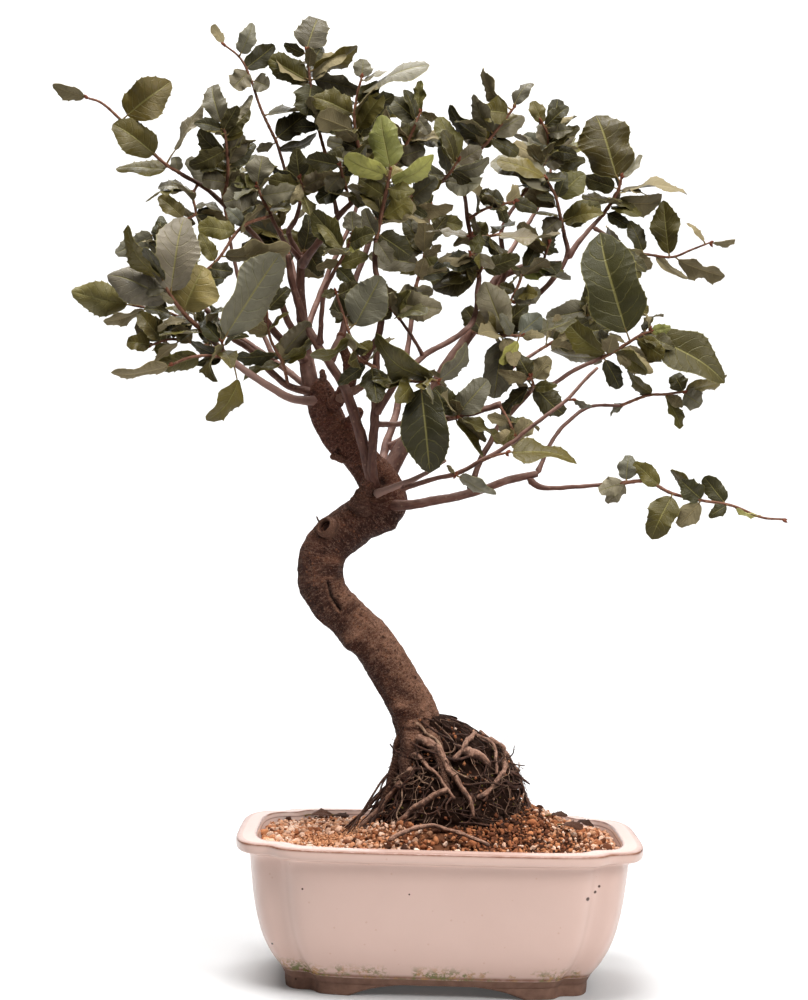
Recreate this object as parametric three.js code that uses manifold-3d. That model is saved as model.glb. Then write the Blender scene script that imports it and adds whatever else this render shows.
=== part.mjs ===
// A cork oak bonsai in its glazed pot. Millimetres, +Z up, the viewer stands on the -Y side.
import * as THREE from 'three';
import { mergeVertices } from 'three/addons/utils/BufferGeometryUtils.js';
import Module from 'manifold-3d';

const wasm = await Module();
wasm.setup();
const { Manifold, Mesh: SolidMesh } = wasm;

// The pot, a lobed rectangle on four feet
const POT_LENGTH = 255;
const POT_WIDTH = 196;
const POT_HEIGHT = 93.5;
const POT_SQUARENESS = 4.4;
const POT_NOTCH_DEPTH = 4.5;
const POT_NOTCH_SPREAD = 9;
const POT_OUTLINE_POINTS = 32;
const FOOT_HEIGHT = 7.4;
const FLOOR_TOP = 14;
const WALL_FOOT_INSET = 31.5;
const FOOT_INSET = 32.1;
const FOOT_BAND = 15;
const FOOT_SINK = 1.2;
// Spread of a foot round its corner, in radians: at the table, half way up, and in the wall
const FOOT_SPREADS = [[0, 0.5], [4.4, 0.62], [FOOT_HEIGHT + FOOT_SINK, 0.8]];
const DRAIN_SIDES = 12;
const DRAIN_RADIUS = 7;
const DRAIN_OFFSET = 52;

// Fits between neighbouring pieces
const CLEARANCE = 0.3;
const TOUCH_SEARCH = 4;
const SHARED_VOLUME = 0.6;
const SMALLEST_DETAIL = 0.2;

// The mesh laid over each drainage hole
const SCREEN_SIDE = 26;
const SCREEN_THICKNESS = 0.8;
const SCREEN_CELLS = 2;
const SCREEN_BAR = 1.6;

// The soil, with its gravel as relief, and the mound under the tree
const SOIL_LEVEL = 88.5;
const MOUND_HEIGHT = 24;
const MOUND_CENTRE_X = 20;
const MOUND_REACH_X = 66;
const MOUND_REACH_Y = 50;
const MOUND_STEEPNESS_X = 3.5;
const MOUND_STEEPNESS_Y = 2.5;
const GRAVEL_CELL = 11;
const GRAVEL_RELIEF = 1.5;
const GRAVEL_JITTER = 0.3;

// Leaves
const LEAF_THICKNESS = 0.7;
const PETIOLE_HALF_WIDTH = 0.55;
const PETIOLE_SHOWN = 5;
const LEAF_ROOT_DEPTH = 1.5;
const NATURAL_LEAF_SLENDERNESS = 0.5;
const LEAF_LEAN = 0.5;
const LEAF_LEAN_MIDDLE = 0.55;
const LEAF_ROLL = 0.3;
const LEAF_BOW = 0.16;
const LEAF_BOW_MIDDLE = 0.35;
const LEAF_TWIST = 1.1;
const LEAF_TWIST_START = 0.3;
const LEAF_FOLD = 0.22;
const SMALL_LEAF = 24;
const LARGE_LEAF = 36;
// Rows across a blade: share of its length, then the places across, in half widths
const LEAF_ROWS = {
  small: [[0.4, [-1.1, 1.1]]],
  medium: [[0.3, [-1, 1]], [0.64, [-0.84, 0, 0.84]]],
  large: [[0.15, [-0.74, 0.74]], [0.34, [-1, 0, 1]], [0.5, [-0.82, 0, 0.82]], [0.7, [-0.74, 0, 0.74]]],
};
const TIP_DEPTH_TRIES = [0, -5, 5, -10, 10, -16, 16, -24, 24, -34, 34, -46, 46];
// Leaves of the far shoots
const FAR_LEAF_TURN = 2.4;
const FAR_LEAF_TURN_CHANGE = 0.8;
const FAR_LEAF_LENGTH = 20;
const FAR_LEAF_LENGTH_CHANGE = 15;
const FAR_LEAF_TONES = ['dark', 'grey', 'olive'];

// Seeds of the random draws
const SEEDS = { soil: 41, rootMass: 7, tree: 19, leaves: 2026 };

// What the viewer sees: the tables below are read off the front view, in the plane of the trunk,
// and each point is then moved along its own line of sight to its real depth
const EYE_DISTANCE = 1469;
const EYE_HEIGHT = 304;
const EYE_X = -27.8;

// The depths in the tables of limbs and shoots are first guesses: the crown is spread by these
// factors, near the trunk's plane and beyond a depth
const NEAR_SPREAD = 1.7;
const FAR_SPREAD = 0.8;
const FAR_DEPTH = 40;

const COLOURS = {
  glaze: '#dcbcb0',
  gravel: '#b48b74',
  bark: '#6f5347',
  screen: '#3b3d3a',
  dark: '#3c3f26',
  olive: '#5f5a30',
  grey: '#6b6f60',
  pale: '#958975',
  young: '#83854a',
};

// Limbs of the tree: radius at the start and at the end, then points (x, z, depth) as seen from the front
const LIMBS = [
  { from: 3.8, to: 1.9, at: [[-48, 306, -2], [-50, 319, -10], [-58, 349, -18], [-67, 373, -22],
    [-78, 391, -20], [-93, 413, -16], [-98, 426, -16], [-104, 445, -18], [-106, 459, -20]] },
  { from: 3.2, to: 1.5, at: [[-46, 308, -3], [-49, 327, -15], [-48, 352, -20], [-48, 374, -24],
    [-48, 391, -26], [-47, 408, -28], [-44, 430, -30], [-50, 452, -31], [-50, 470, -32]] },
  { from: 2.2, to: 1.2, at: [[-48, 358, -21], [-39, 372, -26], [-33, 381, -28], [-17, 397, -18],
    [11, 416, -8], [16, 440, -4], [15, 456, -3], [9, 480, -6], [6, 500, -10], [2, 514, -17]] },
  { from: 1.7, to: 2.1, at: [[-48, 352, -20], [-28, 353, -10], [7, 359, -14], [33, 367, -16]] },
  { from: 5.6, to: 2.2, at: [[-44, 300, 0], [-39, 318, 3], [-31, 336, 8], [-25, 346, 10], [-13, 368, 14],
    [-4, 389, 16], [14, 415, 20], [24, 433, 22], [27, 446, 24], [45, 455, 26], [69, 458, 28]] },
  { from: 2.2, to: 1.2, at: [[24, 433, 22], [33, 452, 18], [30, 478, 12], [42, 500, 12]] },
  { from: 1.3, to: 0.9, at: [[-18, 396, -18], [-23, 405, -24], [-33, 419, -30]] },
  { from: 2.4, to: 1.1, at: [[-48, 305, -3], [-42, 308, -14], [-30, 311, -20], [-17, 319, -26],
    [-2, 330, -30]] },
  { from: 1.6, to: 1.0, at: [[-30, 311, -20], [-9, 318, -28], [6, 322, -32], [20, 330, -36], [37, 340, -38],
    [49, 350, -38], [60, 359, -38], [75, 371, -36], [87, 385, -34], [94, 392, -33]] },
  { from: 3.3, to: 2.3, at: [[-44, 301, 0], [-26, 301, -11], [1, 306, -12], [16, 310, -10], [38, 318, -8],
    [57, 323, -6]] },
  { from: 1.8, to: 1.4, at: [[51, 320, -7], [58, 315, -8], [68, 314, -9], [98, 317, -12]] },
  { from: 1.5, to: 1.1, at: [[57, 323, -6], [61, 333, -2], [65, 343, 2], [75, 356, 6], [90, 367, 10],
    [109, 368, 14]] },
  { from: 2.0, to: 1.3, at: [[14, 310, -10], [20, 330, -7], [27, 343, -4], [32, 354, -2], [45, 368, 0],
    [55, 379, 2], [66, 381, 4], [79, 390, 6], [96, 398, 8]] },
  { from: 2.4, to: 1.4, at: [[14, 415, 20], [40, 427, 24], [56, 439, 28], [72, 461, 30], [70, 478, 29]] },
  { from: 2.0, to: 1.3, at: [[72, 461, 30], [82, 475, 32], [94, 489, 34]] },
  { from: 1.3, to: 1.0, at: [[88, 482, 33], [97, 477, 34], [109, 467, 34]] },
  { from: 2.7, to: 1.2, at: [[-98, 452, 4], [-88, 466, -10], [-75, 484, -14], [-62, 500, -17],
    [-62, 525, -20]] },
  { from: 1.4, to: 1.0, at: [[-75, 484, -14], [-80, 505, -14], [-84, 524, -16]] },
  { from: 1.6, to: 1.0, at: [[-62, 500, -17], [-38, 498, -16], [-10, 508, -18], [3, 516, -20],
    [12, 526, -22]] },
  { from: 2.7, to: 1.7, at: [[-82, 366, 0], [-101, 367, -14], [-117, 375, -20], [-134, 386, -24],
    [-144, 394, -26], [-155, 405, -28]] },
  { from: 2.6, to: 1.5, at: [[-82, 370, 0], [-103, 375, -4], [-115, 384, -6], [-128, 397, -8],
    [-143, 407, -10], [-158, 423, -10]] },
  { from: 5.0, to: 2.8, at: [[-82, 364, 0], [-89, 374, 2], [-93, 391, 4], [-94, 407, 5], [-97, 426, 5],
    [-98, 459, 4]] },
  { from: 2.4, to: 1.3, at: [[-95, 404, 5], [-103, 413, 3], [-110, 429, 1], [-121, 462, -4],
    [-146, 488, -8], [-160, 500, -10], [-176, 509, -12]] },
  { from: 1.9, to: 1.0, at: [[-98, 456, 4], [-106, 473, 0], [-102, 481, -5], [-99, 496, -9],
    [-107, 507, -12], [-115, 530, -14]] },
  { from: 2.6, to: 2.3, at: [[-92, 390, 4], [-113, 409, -6], [-128, 429, -12]] },
  { from: 1.8, to: 1.2, at: [[-84, 401, -18], [-84, 415, -22], [-82, 436, -26], [-76, 450, -28]] },
  { from: 2.6, to: 1.3, at: [[-78, 391, -20], [-70, 410, -14], [-67, 427, -10], [-62, 446, -6],
    [-56, 463, -2], [-50, 485, 2], [-45, 510, 4]] },
  { from: 1.6, to: 1.1, at: [[-98, 456, 4], [-111, 471, -11], [-119, 487, -16]] },
  { from: 4.4, to: 3.6, at: [[-68, 345, 0], [-57, 362, -8]] },
  { from: 3.2, to: 1.4, at: [[-84, 364, 0], [-90, 390, 26], [-96, 425, 50], [-104, 455, 70]] },
  { from: 3.4, to: 1.4, at: [[-44, 300, 2], [-42, 330, 28], [-34, 362, 50], [-28, 400, 70],
    [-24, 440, 86]] },
  { from: 2.2, to: 1.2, at: [[-40, 337, 32], [-8, 356, 58], [24, 380, 78], [56, 402, 92]] },
  { from: 2.0, to: 1.1, at: [[-93, 412, 39], [-80, 448, 68], [-66, 482, 84], [-58, 512, 90]] },
  { from: 1.9, to: 1.1, at: [[26, 444, 23], [38, 468, 50], [52, 492, 70], [60, 514, 78]] },
  { from: 2.4, to: 1.2, at: [[-84, 369, 0], [-112, 390, 30], [-142, 410, 52], [-170, 434, 66]] },
  { from: 1.7, to: 1.0, at: [[-112, 390, 30], [-136, 440, 54], [-146, 480, 60]] },
];

const TRUNK = [[-13, 157, 0, 15.6], [-22, 176, -1, 14.9], [-41, 206, -3, 13.6], [-56, 223, -3, 13.4],
  [-70, 235, -2, 13.8], [-78, 247, -1, 15], [-80, 258, 0, 15], [-79, 267, 1, 14.6], [-73, 277, 2, 15],
  [-65, 283, 2, 15.5], [-55, 290, 2, 15.8], [-44, 296, 1, 15.2], [-40, 303, 0, 14.8], [-44, 312, 0, 14.6],
  [-54, 324, 0, 13.6], [-63, 334, 0, 13.2], [-73, 343, 0, 12.8], [-78, 354, 0, 11.6], [-82, 366, 0, 9.6],
  [-84, 378, 0, 7]];

const TRUNK_SIDES = 12;
const TWIG_SIDES = 3;
const ROOT_SIDES = 3;

// The mat of fine roots and old soil under the trunk: height, centre x, half length, half width
const ROOT_MASS = [[52, 8, 28, 24], [74, 8, 42, 36], [92, 7, 52, 42], [104, 9, 50, 41], [116, 11, 43, 38],
  [128, 11.5, 40, 34], [141, 8, 34, 29], [151, 4, 30, 24], [159, -4, 22, 18], [167, -12, 14, 14]];
const ROOT_MASS_SIDES = 11;
const ROOT_MASS_ROUGHNESS = 1.6;

// Roots that lie over the mat, as seen from the front: radius at the start and the end, then (x, z)
const FRONT_ROOTS = [
  { from: 2.9, to: 1.2, at: [[-16, 153], [-3, 146], [2, 139], [5, 132], [10, 127], [19, 113], [22, 102]] },
  { from: 1.9, to: 1.5, at: [[8, 138], [12, 144], [17, 151], [22, 156]] },
  { from: 2.9, to: 2.8, at: [[14, 146], [19, 143], [26, 140], [32, 135]] },
  { from: 1.8, to: 1.6, at: [[30, 153], [36, 150], [40, 146], [41, 139], [40, 132], [36, 125], [31, 119],
    [24, 114]] },
  { from: 1.3, to: 1.2, at: [[22, 155], [31, 151], [35, 145], [36, 138], [36, 130]] },
  { from: 1.3, to: 1.1, at: [[-24, 138], [-17, 142], [-12, 138], [-4, 131], [2, 123], [10, 113]] },
  { from: 2.2, to: 1.9, at: [[-18, 133], [-28, 119], [-38, 106], [-48, 95], [-54, 86]] },
  { from: 1.9, to: 1.7, at: [[6, 120], [-4, 115], [-17, 106], [-26, 97], [-31, 88]] },
];
// Roots that run down the sides and the back of the mat
const ROUND_ROOTS = 6;
const ROUND_ROOT_RADIUS = 2.4;
const ROUND_ROOT_TAPER = 0.2;
const ROUND_ROOT_POINTS = 6;
const ROUND_ROOT_TOP = 156;
const ROUND_ROOT_STEP = 13;
const ROUND_ROOT_SPREAD = 0.96;
const ROUND_ROOT_START_CHANGE = 0.2;
const ROUND_ROOT_WANDER = 0.34;

// A root that arches out over the gravel in front of the mat: points (x, z, depth)
const ARCH_ROOT = { from: 1.6, to: 1.2, at: [[-32, 86, -68], [-23, 91, -62], [-11, 95, -56], [1, 95, -54],
  [12, 92, -60], [24, 88, -66], [33, 84, -70]] };

// Leafy shoots. Each twig is given like a limb. A leaf is its foot and its tip as seen from the front,
// its seen width and its tone.
const SHOOTS = {
  left_branch: { from: 1.2, to: 0.7,
    at: [[-176, 509, -12], [-190, 518, -14], [-216, 543, -16], [-228, 553, -16], [-237, 556, -16]],
    leaves: [[-238, 556, -260, 562, 7, 'pale'], [-213, 544, -184, 568, 25, 'olive'],
      [-192, 520, -219, 541, 21, 'olive'], [-184, 512, -218, 515, 10, 'olive'],
      [-181, 522, -163, 557, 10, 'grey'], [-178, 510, -180, 520, 8, 'grey']] },
  upper_left: { from: 1.0, to: 0.6,
    at: [[-115, 530, -14], [-126, 552, -16], [-133, 571, -18], [-140, 584, -18], [-150, 592, -18]],
    leaves: [[-151, 593, -158, 605, 6, 'pale'], [-140, 586, -132, 606, 11, 'grey'],
      [-134, 576, -144, 565, 14, 'grey'], [-131, 570, -121, 566, 12, 'grey'],
      [-137, 577, -118, 593, 13, 'dark'], [-123, 548, -93, 554, 8, 'dark'],
      [-116, 533, -97, 550, 15, 'dark'], [-115, 526, -88, 532, 5, 'dark'],
      [-117, 530, -128, 525, 5, 'grey']] },
  left_crest: { from: 1.1, to: 0.8,
    at: [[-149, 490, -8], [-146, 510, -16], [-148, 532, -20], [-150, 541, -20]],
    leaves: [[-151, 541, -159, 567, 14, 'grey'], [-149, 538, -131, 560, 9, 'grey'],
      [-150, 537, -141, 553, 8, 'dark'], [-150, 538, -167, 543, 9, 'dark'],
      [-148, 530, -143, 545, 16, 'olive'], [-147, 521, -167, 536, 11, 'dark'],
      [-148, 525, -170, 513, 12, 'dark'], [-146, 516, -138, 536, 14, 'grey'],
      [-146, 514, -129, 531, 12, 'dark'], [-147, 508, -162, 521, 12, 'olive'],
      [-147, 504, -162, 506, 12, 'grey'], [-147, 500, -132, 510, 10, 'dark']] },
  crest: { from: 1.1, to: 0.7, at: [[-84, 524, -16], [-90, 545, -18], [-94, 566, -20], [-96, 578, -20],
    [-98, 590, -20]],
    leaves: [[-98, 590, -91, 613, 21, 'grey'], [-98, 588, -112, 594, 6, 'dark'],
      [-96, 580, -87, 594, 11, 'dark'], [-96, 571, -124, 586, 16, 'olive'],
      [-95, 577, -63, 590, 8, 'olive'], [-94, 572, -62, 565, 12, 'grey'], [-94, 570, -96, 549, 19, 'dark'],
      [-91, 556, -66, 557, 10, 'dark'], [-89, 541, -105, 541, 8, 'dark']] },
  top_middle: { from: 1.1, to: 0.7, at: [[-62, 525, -20], [-66, 545, -26], [-65, 560, -26], [-62, 574, -26]],
    leaves: [[-62, 573, -61, 586, 12, 'grey'], [-61, 571, -46, 578, 4, 'grey'],
      [-66, 550, -92, 562, 18, 'olive'], [-65, 552, -41, 563, 9, 'dark'], [-63, 562, -20, 585, 7, 'grey'],
      [-65, 540, -91, 544, 12, 'dark'], [-63, 535, -56, 548, 9, 'dark'], [-63, 528, -73, 532, 8, 'dark'],
      [-62, 527, -44, 537, 9, 'dark']] },
  top_right_middle: { from: 1.1, to: 0.8, at: [[-45, 510, 4], [-34, 528, 0], [-27, 544, -4], [-24, 552, -4]],
    leaves: [[-26, 547, -43, 562, 16, 'dark'], [-31, 532, -31, 550, 12, 'olive'],
      [-31, 536, -49, 551, 6, 'pale'], [-26, 550, -18, 539, 8, 'grey'], [-25, 552, -26, 573, 8, 'olive'],
      [-24, 552, -12, 549, 5, 'pale'], [-37, 523, -20, 529, 13, 'grey'],
      [-40, 518, -52, 526, 10, 'dark']] },
  young_middle: { from: 1.4, to: 0.9,
    at: [[-50, 470, -32], [-47, 487, -35], [-44, 503, -38], [-42, 515, -40]],
    leaves: [[-42, 515, -50, 549, 19, 'young'], [-43, 511, -72, 521, 12, 'young'],
      [-43, 507, -13, 522, 8, 'young'], [-45, 498, -62, 509, 13, 'olive'],
      [-47, 487, -60, 503, 10, 'olive'], [-46, 484, -29, 497, 16, 'olive'], [-48, 480, -17, 486, 8, 'pale'],
      [-49, 474, -27, 460, 15, 'dark'], [-50, 472, -58, 490, 9, 'grey'],
      [-50, 470, -40, 455, 10, 'grey']] },
  middle_left: { from: 1.1, to: 0.8, at: [[-67, 494, -16], [-72, 508, -24], [-74, 517, -26]],
    leaves: [[-74, 517, -96, 521, 12, 'dark'], [-73, 512, -83, 500, 12, 'grey'],
      [-71, 505, -89, 494, 12, 'dark'], [-69, 500, -56, 493, 10, 'dark'],
      [-73, 515, -57, 529, 10, 'dark']] },
  left_inner: { from: 1.0, to: 0.7, at: [[-100, 493, -9], [-98, 502, -18], [-100, 508, -22]],
    leaves: [[-100, 508, -103, 527, 13, 'dark'], [-100, 506, -121, 514, 9, 'dark'],
      [-98, 502, -82, 511, 12, 'grey']] },
  left_middle: { from: 1.1, to: 0.8, at: [[-119, 487, -16], [-124, 495, -20], [-127, 503, -22]],
    leaves: [[-125, 496, -101, 501, 12, 'grey'], [-127, 503, -124, 522, 16, 'grey'],
      [-126, 500, -148, 491, 18, 'grey'], [-127, 502, -141, 506, 10, 'olive'],
      [-121, 490, -134, 480, 10, 'grey']] },
  left_hanging: { from: 1.1, to: 0.8,
    at: [[-117, 484, -15], [-136, 476, -26], [-150, 456, -30], [-158, 448, -32]],
    leaves: [[-139, 473, -164, 476, 13, 'olive'], [-153, 453, -163, 471, 8, 'olive'],
      [-156, 449, -141, 447, 10, 'dark'], [-149, 457, -104, 461, 9, 'pale'],
      [-134, 477, -146, 488, 9, 'grey']] },
  left_large: { from: 1.6, to: 0.9,
    at: [[-155, 405, -28], [-170, 418, -32], [-180, 430, -36], [-186, 441, -38]],
    leaves: [[-172, 420, -160, 450, 30, 'olive'], [-181, 431, -175, 482, 27, 'grey'],
      [-180, 428, -221, 447, 25, 'grey'], [-186, 441, -213, 472, 8, 'olive'],
      [-185, 440, -198, 460, 6, 'dark']] },
  left_low: { from: 1.1, to: 0.8,
    at: [[-147, 397, -26], [-165, 401, -22], [-180, 403, -20], [-192, 399, -18]],
    leaves: [[-192, 399, -208, 401, 12, 'olive'], [-187, 401, -183, 411, 8, 'olive'],
      [-190, 400, -180, 392, 8, 'olive'], [-184, 403, -203, 413, 14, 'grey'],
      [-178, 403, -180, 418, 7, 'dark'], [-166, 401, -178, 412, 10, 'pale']] },
  left_far: { from: 1.0, to: 0.8,
    at: [[-143, 407, -10], [-160, 411, -14], [-182, 420, -15], [-204, 424, -14]],
    leaves: [[-206, 424, -244, 432, 19, 'olive'], [-196, 422, -222, 411, 4, 'pale'],
      [-182, 420, -200, 438, 10, 'grey']] },
  left_top_small: { from: 1.0, to: 0.7,
    at: [[-165, 503, -10], [-168, 495, -14], [-166, 484, -17], [-172, 480, -18]],
    leaves: [[-173, 480, -190, 494, 10, 'olive'], [-166, 483, -152, 485, 9, 'dark'],
      [-168, 497, -190, 503, 6, 'grey'], [-167, 488, -149, 489, 5, 'grey']] },
  left_drooping: { from: 1.0, to: 0.8,
    at: [[-140, 391, -26], [-152, 393, -33], [-166, 392, -37], [-178, 387, -38]],
    leaves: [[-179, 386, -216, 376, 8, 'pale'], [-160, 392, -187, 384, 10, 'olive'],
      [-148, 393, -168, 400, 8, 'dark'], [-146, 392, -164, 389, 7, 'dark'],
      [-135, 380, -152, 350, 12, 'olive']] },
  left_front: { from: 1.0, to: 0.8, at: [[-146, 396, -26], [-147, 402, -34]],
    leaves: [[-147, 403, -113, 460, 20, 'grey'], [-147, 402, -161, 416, 10, 'dark']] },
  left_centre: { from: 1.1, to: 0.8,
    at: [[-104, 376, -4], [-108, 390, -14], [-116, 405, -18], [-119, 424, -20]],
    leaves: [[-117, 407, -134, 420, 11, 'pale'], [-119, 423, -105, 438, 11, 'dark'],
      [-119, 424, -132, 434, 10, 'olive'], [-111, 395, -138, 391, 8, 'dark'],
      [-109, 392, -87, 401, 5, 'olive'], [-108, 389, -134, 384, 6, 'olive']] },
  behind_fork: { from: 1.0, to: 0.8, at: [[-98, 458, 4], [-94, 464, 10]],
    leaves: [[-94, 464, -110, 471, 11, 'olive'], [-94, 462, -84, 447, 12, 'dark']] },
  centre_left: { from: 1.1, to: 0.8, at: [[-76, 450, -28], [-70, 461, -33], [-65, 474, -36]],
    leaves: [[-65, 474, -66, 488, 12, 'grey'], [-71, 463, -91, 487, 15, 'olive'],
      [-69, 464, -60, 469, 9, 'young'], [-73, 456, -88, 451, 5, 'pale'], [-75, 452, -63, 441, 9, 'dark']] },
  centre_grey: { from: 1.2, to: 0.8, at: [[-48, 388, -26], [-60, 395, -36], [-65, 408, -40], [-70, 422, -40],
    [-75, 436, -40]],
    leaves: [[-63, 413, -46, 447, 24, 'grey'], [-69, 420, -78, 423, 4, 'grey'],
      [-60, 397, -51, 405, 8, 'olive'], [-64, 407, -87, 391, 6, 'olive'], [-74, 434, -60, 441, 10, 'dark'],
      [-75, 436, -84, 433, 6, 'dark']] },
  centre_wide: { from: 1.1, to: 0.8, at: [[-33, 419, -30], [-38, 425, -33], [-42, 430, -34]],
    leaves: [[-42, 431, -7, 427, 17, 'grey'], [-41, 430, -13, 440, 10, 'grey'],
      [-38, 425, -50, 420, 8, 'dark']] },
  centre_low: { from: 1.1, to: 0.8, at: [[-33, 381, -28], [-20, 380, -36], [-8, 381, -38]],
    leaves: [[-19, 379, -11, 322, 29, 'dark'], [-9, 382, -51, 402, 11, 'olive'],
      [-24, 381, -50, 382, 8, 'olive'], [-8, 381, 14, 402, 11, 'grey']] },
  under_fork: { from: 1.0, to: 0.8, at: [[-4, 357, -12], [5, 358, -21]],
    leaves: [[5, 359, 24, 382, 17, 'grey'], [4, 359, -10, 377, 16, 'dark'], [6, 358, 36, 346, 8, 'olive'],
      [3, 357, 21, 332, 7, 'olive']] },
  low_right_leaf: { from: 0.9, to: 0.7, at: [[21, 330.5, -36], [30, 334, -41], [37, 336, -42]],
    leaves: [[38, 336, 82, 336, 15, 'olive']] },
  low_curled: { from: 0.9, to: 0.7, at: [[5, 321.5, -32], [5, 321, -37]],
    leaves: [[6, 321, 30, 307, 7, 'grey'], [4, 322, -1, 327, 3, 'pale']] },
  right_inner: { from: 1.1, to: 0.8, at: [[51, 375, 1], [53, 380, -8], [51, 385, -12]],
    leaves: [[53, 379, 73, 361, 15, 'dark'], [51, 379, 30, 361, 9, 'dark'], [52, 384, 63, 398, 14, 'pale'],
      [51, 385, 43, 398, 11, 'dark'], [50, 383, 32, 386, 7, 'pale']] },
  pale_cluster: { from: 0.9, to: 0.8, at: [[32, 366, -16], [38, 356, -20], [42, 348, -21]],
    leaves: [[38, 356, 24, 359, 7, 'pale'], [42, 348, 53, 356, 12, 'pale'],
      [41, 349, 30, 343, 9, 'pale']] },
  centre_fan: { from: 1.2, to: 0.8, at: [[13, 413, 19], [24, 411, 2], [34, 411, -10], [45, 411, -12]],
    leaves: [[33, 410, 28, 370, 19, 'grey'], [34, 412, 20, 445, 21, 'grey'], [39, 411, 31, 425, 7, 'grey'],
      [43, 412, 57, 425, 14, 'grey'], [45, 410, 58, 413, 6, 'pale'], [43, 408, 31, 393, 8, 'young'],
      [20, 412, 8, 428, 13, 'dark'], [26, 412, 30, 422, 8, 'dark'], [45, 412, 78, 421, 6, 'dark']] },
  right_upper_low: { from: 1.1, to: 0.8, at: [[45, 455, 26], [42, 444, 14], [37, 433, 8]],
    leaves: [[38, 433, 56, 440, 12, 'grey'], [40, 440, 30, 443, 7, 'dark'], [44, 449, 60, 455, 10, 'young'],
      [45, 453, 54, 473, 10, 'dark']] },
  middle_dark: { from: 1.1, to: 0.8, at: [[15.4, 448, -3.5], [18, 456, -10], [11, 463, -14]],
    leaves: [[17, 456, -14, 458, 11, 'dark'], [16, 452, -8, 446, 8, 'olive'],
      [15, 449, -13, 438, 15, 'dark'], [12, 463, 18, 475, 9, 'olive'], [12, 462, 26, 455, 8, 'grey']] },
  middle_level: { from: 1.0, to: 0.8, at: [[30.3, 476, 12], [20, 474, 0], [10, 474, -6]],
    leaves: [[10, 474, -18, 479, 7, 'grey'], [26, 475, 68, 476, 8, 'grey'], [22, 475, 11, 482, 10, 'olive'],
      [16, 474, 30, 463, 8, 'dark']] },
  tan_leaf: { from: 0.9, to: 0.7, at: [[-29, 501, -16.5], [-27, 492, -20]],
    leaves: [[-26, 491, -1, 492, 8, 'pale'], [-27, 492, -18, 486, 5, 'dark']] },
  right_dark: { from: 1.0, to: 0.8, at: [[8.8, 485, -7], [20, 492, -12], [38, 497, -14]],
    leaves: [[32, 496, 15, 501, 11, 'dark'], [37, 497, 53, 492, 9, 'dark'],
      [28, 494, 33, 483, 7, 'dark']] },
  right_grey: { from: 1.3, to: 0.8, at: [[70, 478, 29], [67, 490, 18], [64, 501, 12], [58, 512, 8]],
    leaves: [[68, 487, 57, 478, 12, 'grey'], [68, 485, 93, 496, 15, 'olive'],
      [65, 500, 82, 517, 18, 'olive'], [62, 503, 23, 525, 18, 'grey'], [58, 512, 26, 523, 12, 'olive']] },
  right_crest: { from: 1.0, to: 0.7,
    at: [[42, 500, 12], [52, 515, 18], [58, 526, 18], [58, 540, 14], [54, 548, 12]],
    leaves: [[56, 522, 43, 541, 9, 'grey'], [58, 531, 77, 528, 9, 'dark'], [58, 537, 72, 539, 8, 'dark'],
      [56, 521, 70, 529, 13, 'grey'], [58, 533, 53, 547, 9, 'grey'], [55, 547, 48, 562, 10, 'olive'],
      [56, 545, 70, 559, 10, 'dark'], [57, 544, 74, 554, 8, 'pale'], [58, 541, 73, 544, 9, 'grey']] },
  right_of_middle: { from: 1.0, to: 0.7, at: [[12, 526, -22], [20, 535, -26], [28, 546, -28], [36, 557, -28]],
    leaves: [[33, 553, 16, 555, 17, 'olive'], [23, 539, 43, 552, 13, 'grey'], [36, 558, 46, 575, 8, 'grey'],
      [34, 556, 15, 581, 5, 'pale'], [23, 540, 7, 562, 10, 'grey'], [20, 536, -7, 555, 9, 'dark'],
      [21, 537, 40, 529, 9, 'dark'], [17, 532, 4, 539, 9, 'grey']] },
  middle_upper: { from: 1.0, to: 0.8, at: [[-10, 508, -18], [-4, 514, -26], [1, 522, -28]],
    leaves: [[1, 521, -9, 541, 13, 'dark'], [0, 522, -12, 550, 14, 'olive'], [0, 520, 16, 531, 11, 'grey'],
      [-3, 515, 22, 521, 8, 'grey'], [-6, 512, -30, 513, 8, 'olive'], [-8, 510, -25, 503, 8, 'olive'],
      [-3, 515, 10, 507, 6, 'dark']] },
  upper_right: { from: 1.4, to: 0.9, at: [[94, 489, 34], [103, 503, 30], [106, 514, 28]],
    leaves: [[104, 511, 90, 555, 34, 'olive'], [106, 513, 119, 528, 7, 'grey'],
      [104, 505, 148, 510, 8, 'pale'], [102, 500, 134, 499, 10, 'pale'], [99, 495, 118, 493, 7, 'olive'],
      [103, 507, 79, 515, 11, 'dark'], [100, 499, 81, 502, 8, 'dark'], [97, 491, 111, 483, 9, 'dark']] },
  right_tip: { from: 1.0, to: 0.6,
    at: [[109, 467, 34], [126, 465, 32], [140, 464, 28], [152, 469, 26], [164, 474, 24]],
    leaves: [[138, 464, 133, 500, 16, 'olive'], [128, 465, 150, 450, 9, 'pale'],
      [142, 463, 174, 453, 9, 'pale'], [160, 474, 151, 488, 4, 'pale'], [165, 474, 180, 474, 3, 'pale'],
      [121, 466, 112, 487, 11, 'dark']] },
  right_large: { from: 1.3, to: 0.8, at: [[96, 398, 8], [108, 405, 6], [120, 413, 4], [127, 416, 3]],
    leaves: [[113, 411, 93, 475, 38, 'olive'], [127, 415, 177, 391, 27, 'olive'],
      [127, 416, 140, 419, 7, 'young'], [126, 416, 124, 428, 3, 'pale'], [111, 408, 102, 416, 4, 'pale'],
      [100, 400, 73, 420, 14, 'olive'], [102, 402, 94, 416, 6, 'grey'], [98, 399, 64, 401, 6, 'olive'],
      [106, 403, 135, 398, 9, 'pale'], [104, 402, 127, 390, 10, 'olive'],
      [98, 398, 109, 379, 11, 'dark']] },
  right_overlay: { from: 0.9, to: 0.8, at: [[99, 475, 34], [104, 466, 24], [103, 456, 16]],
    leaves: [[103, 456, 121, 453, 15, 'olive'], [104, 464, 118, 462, 9, 'dark'],
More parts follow.
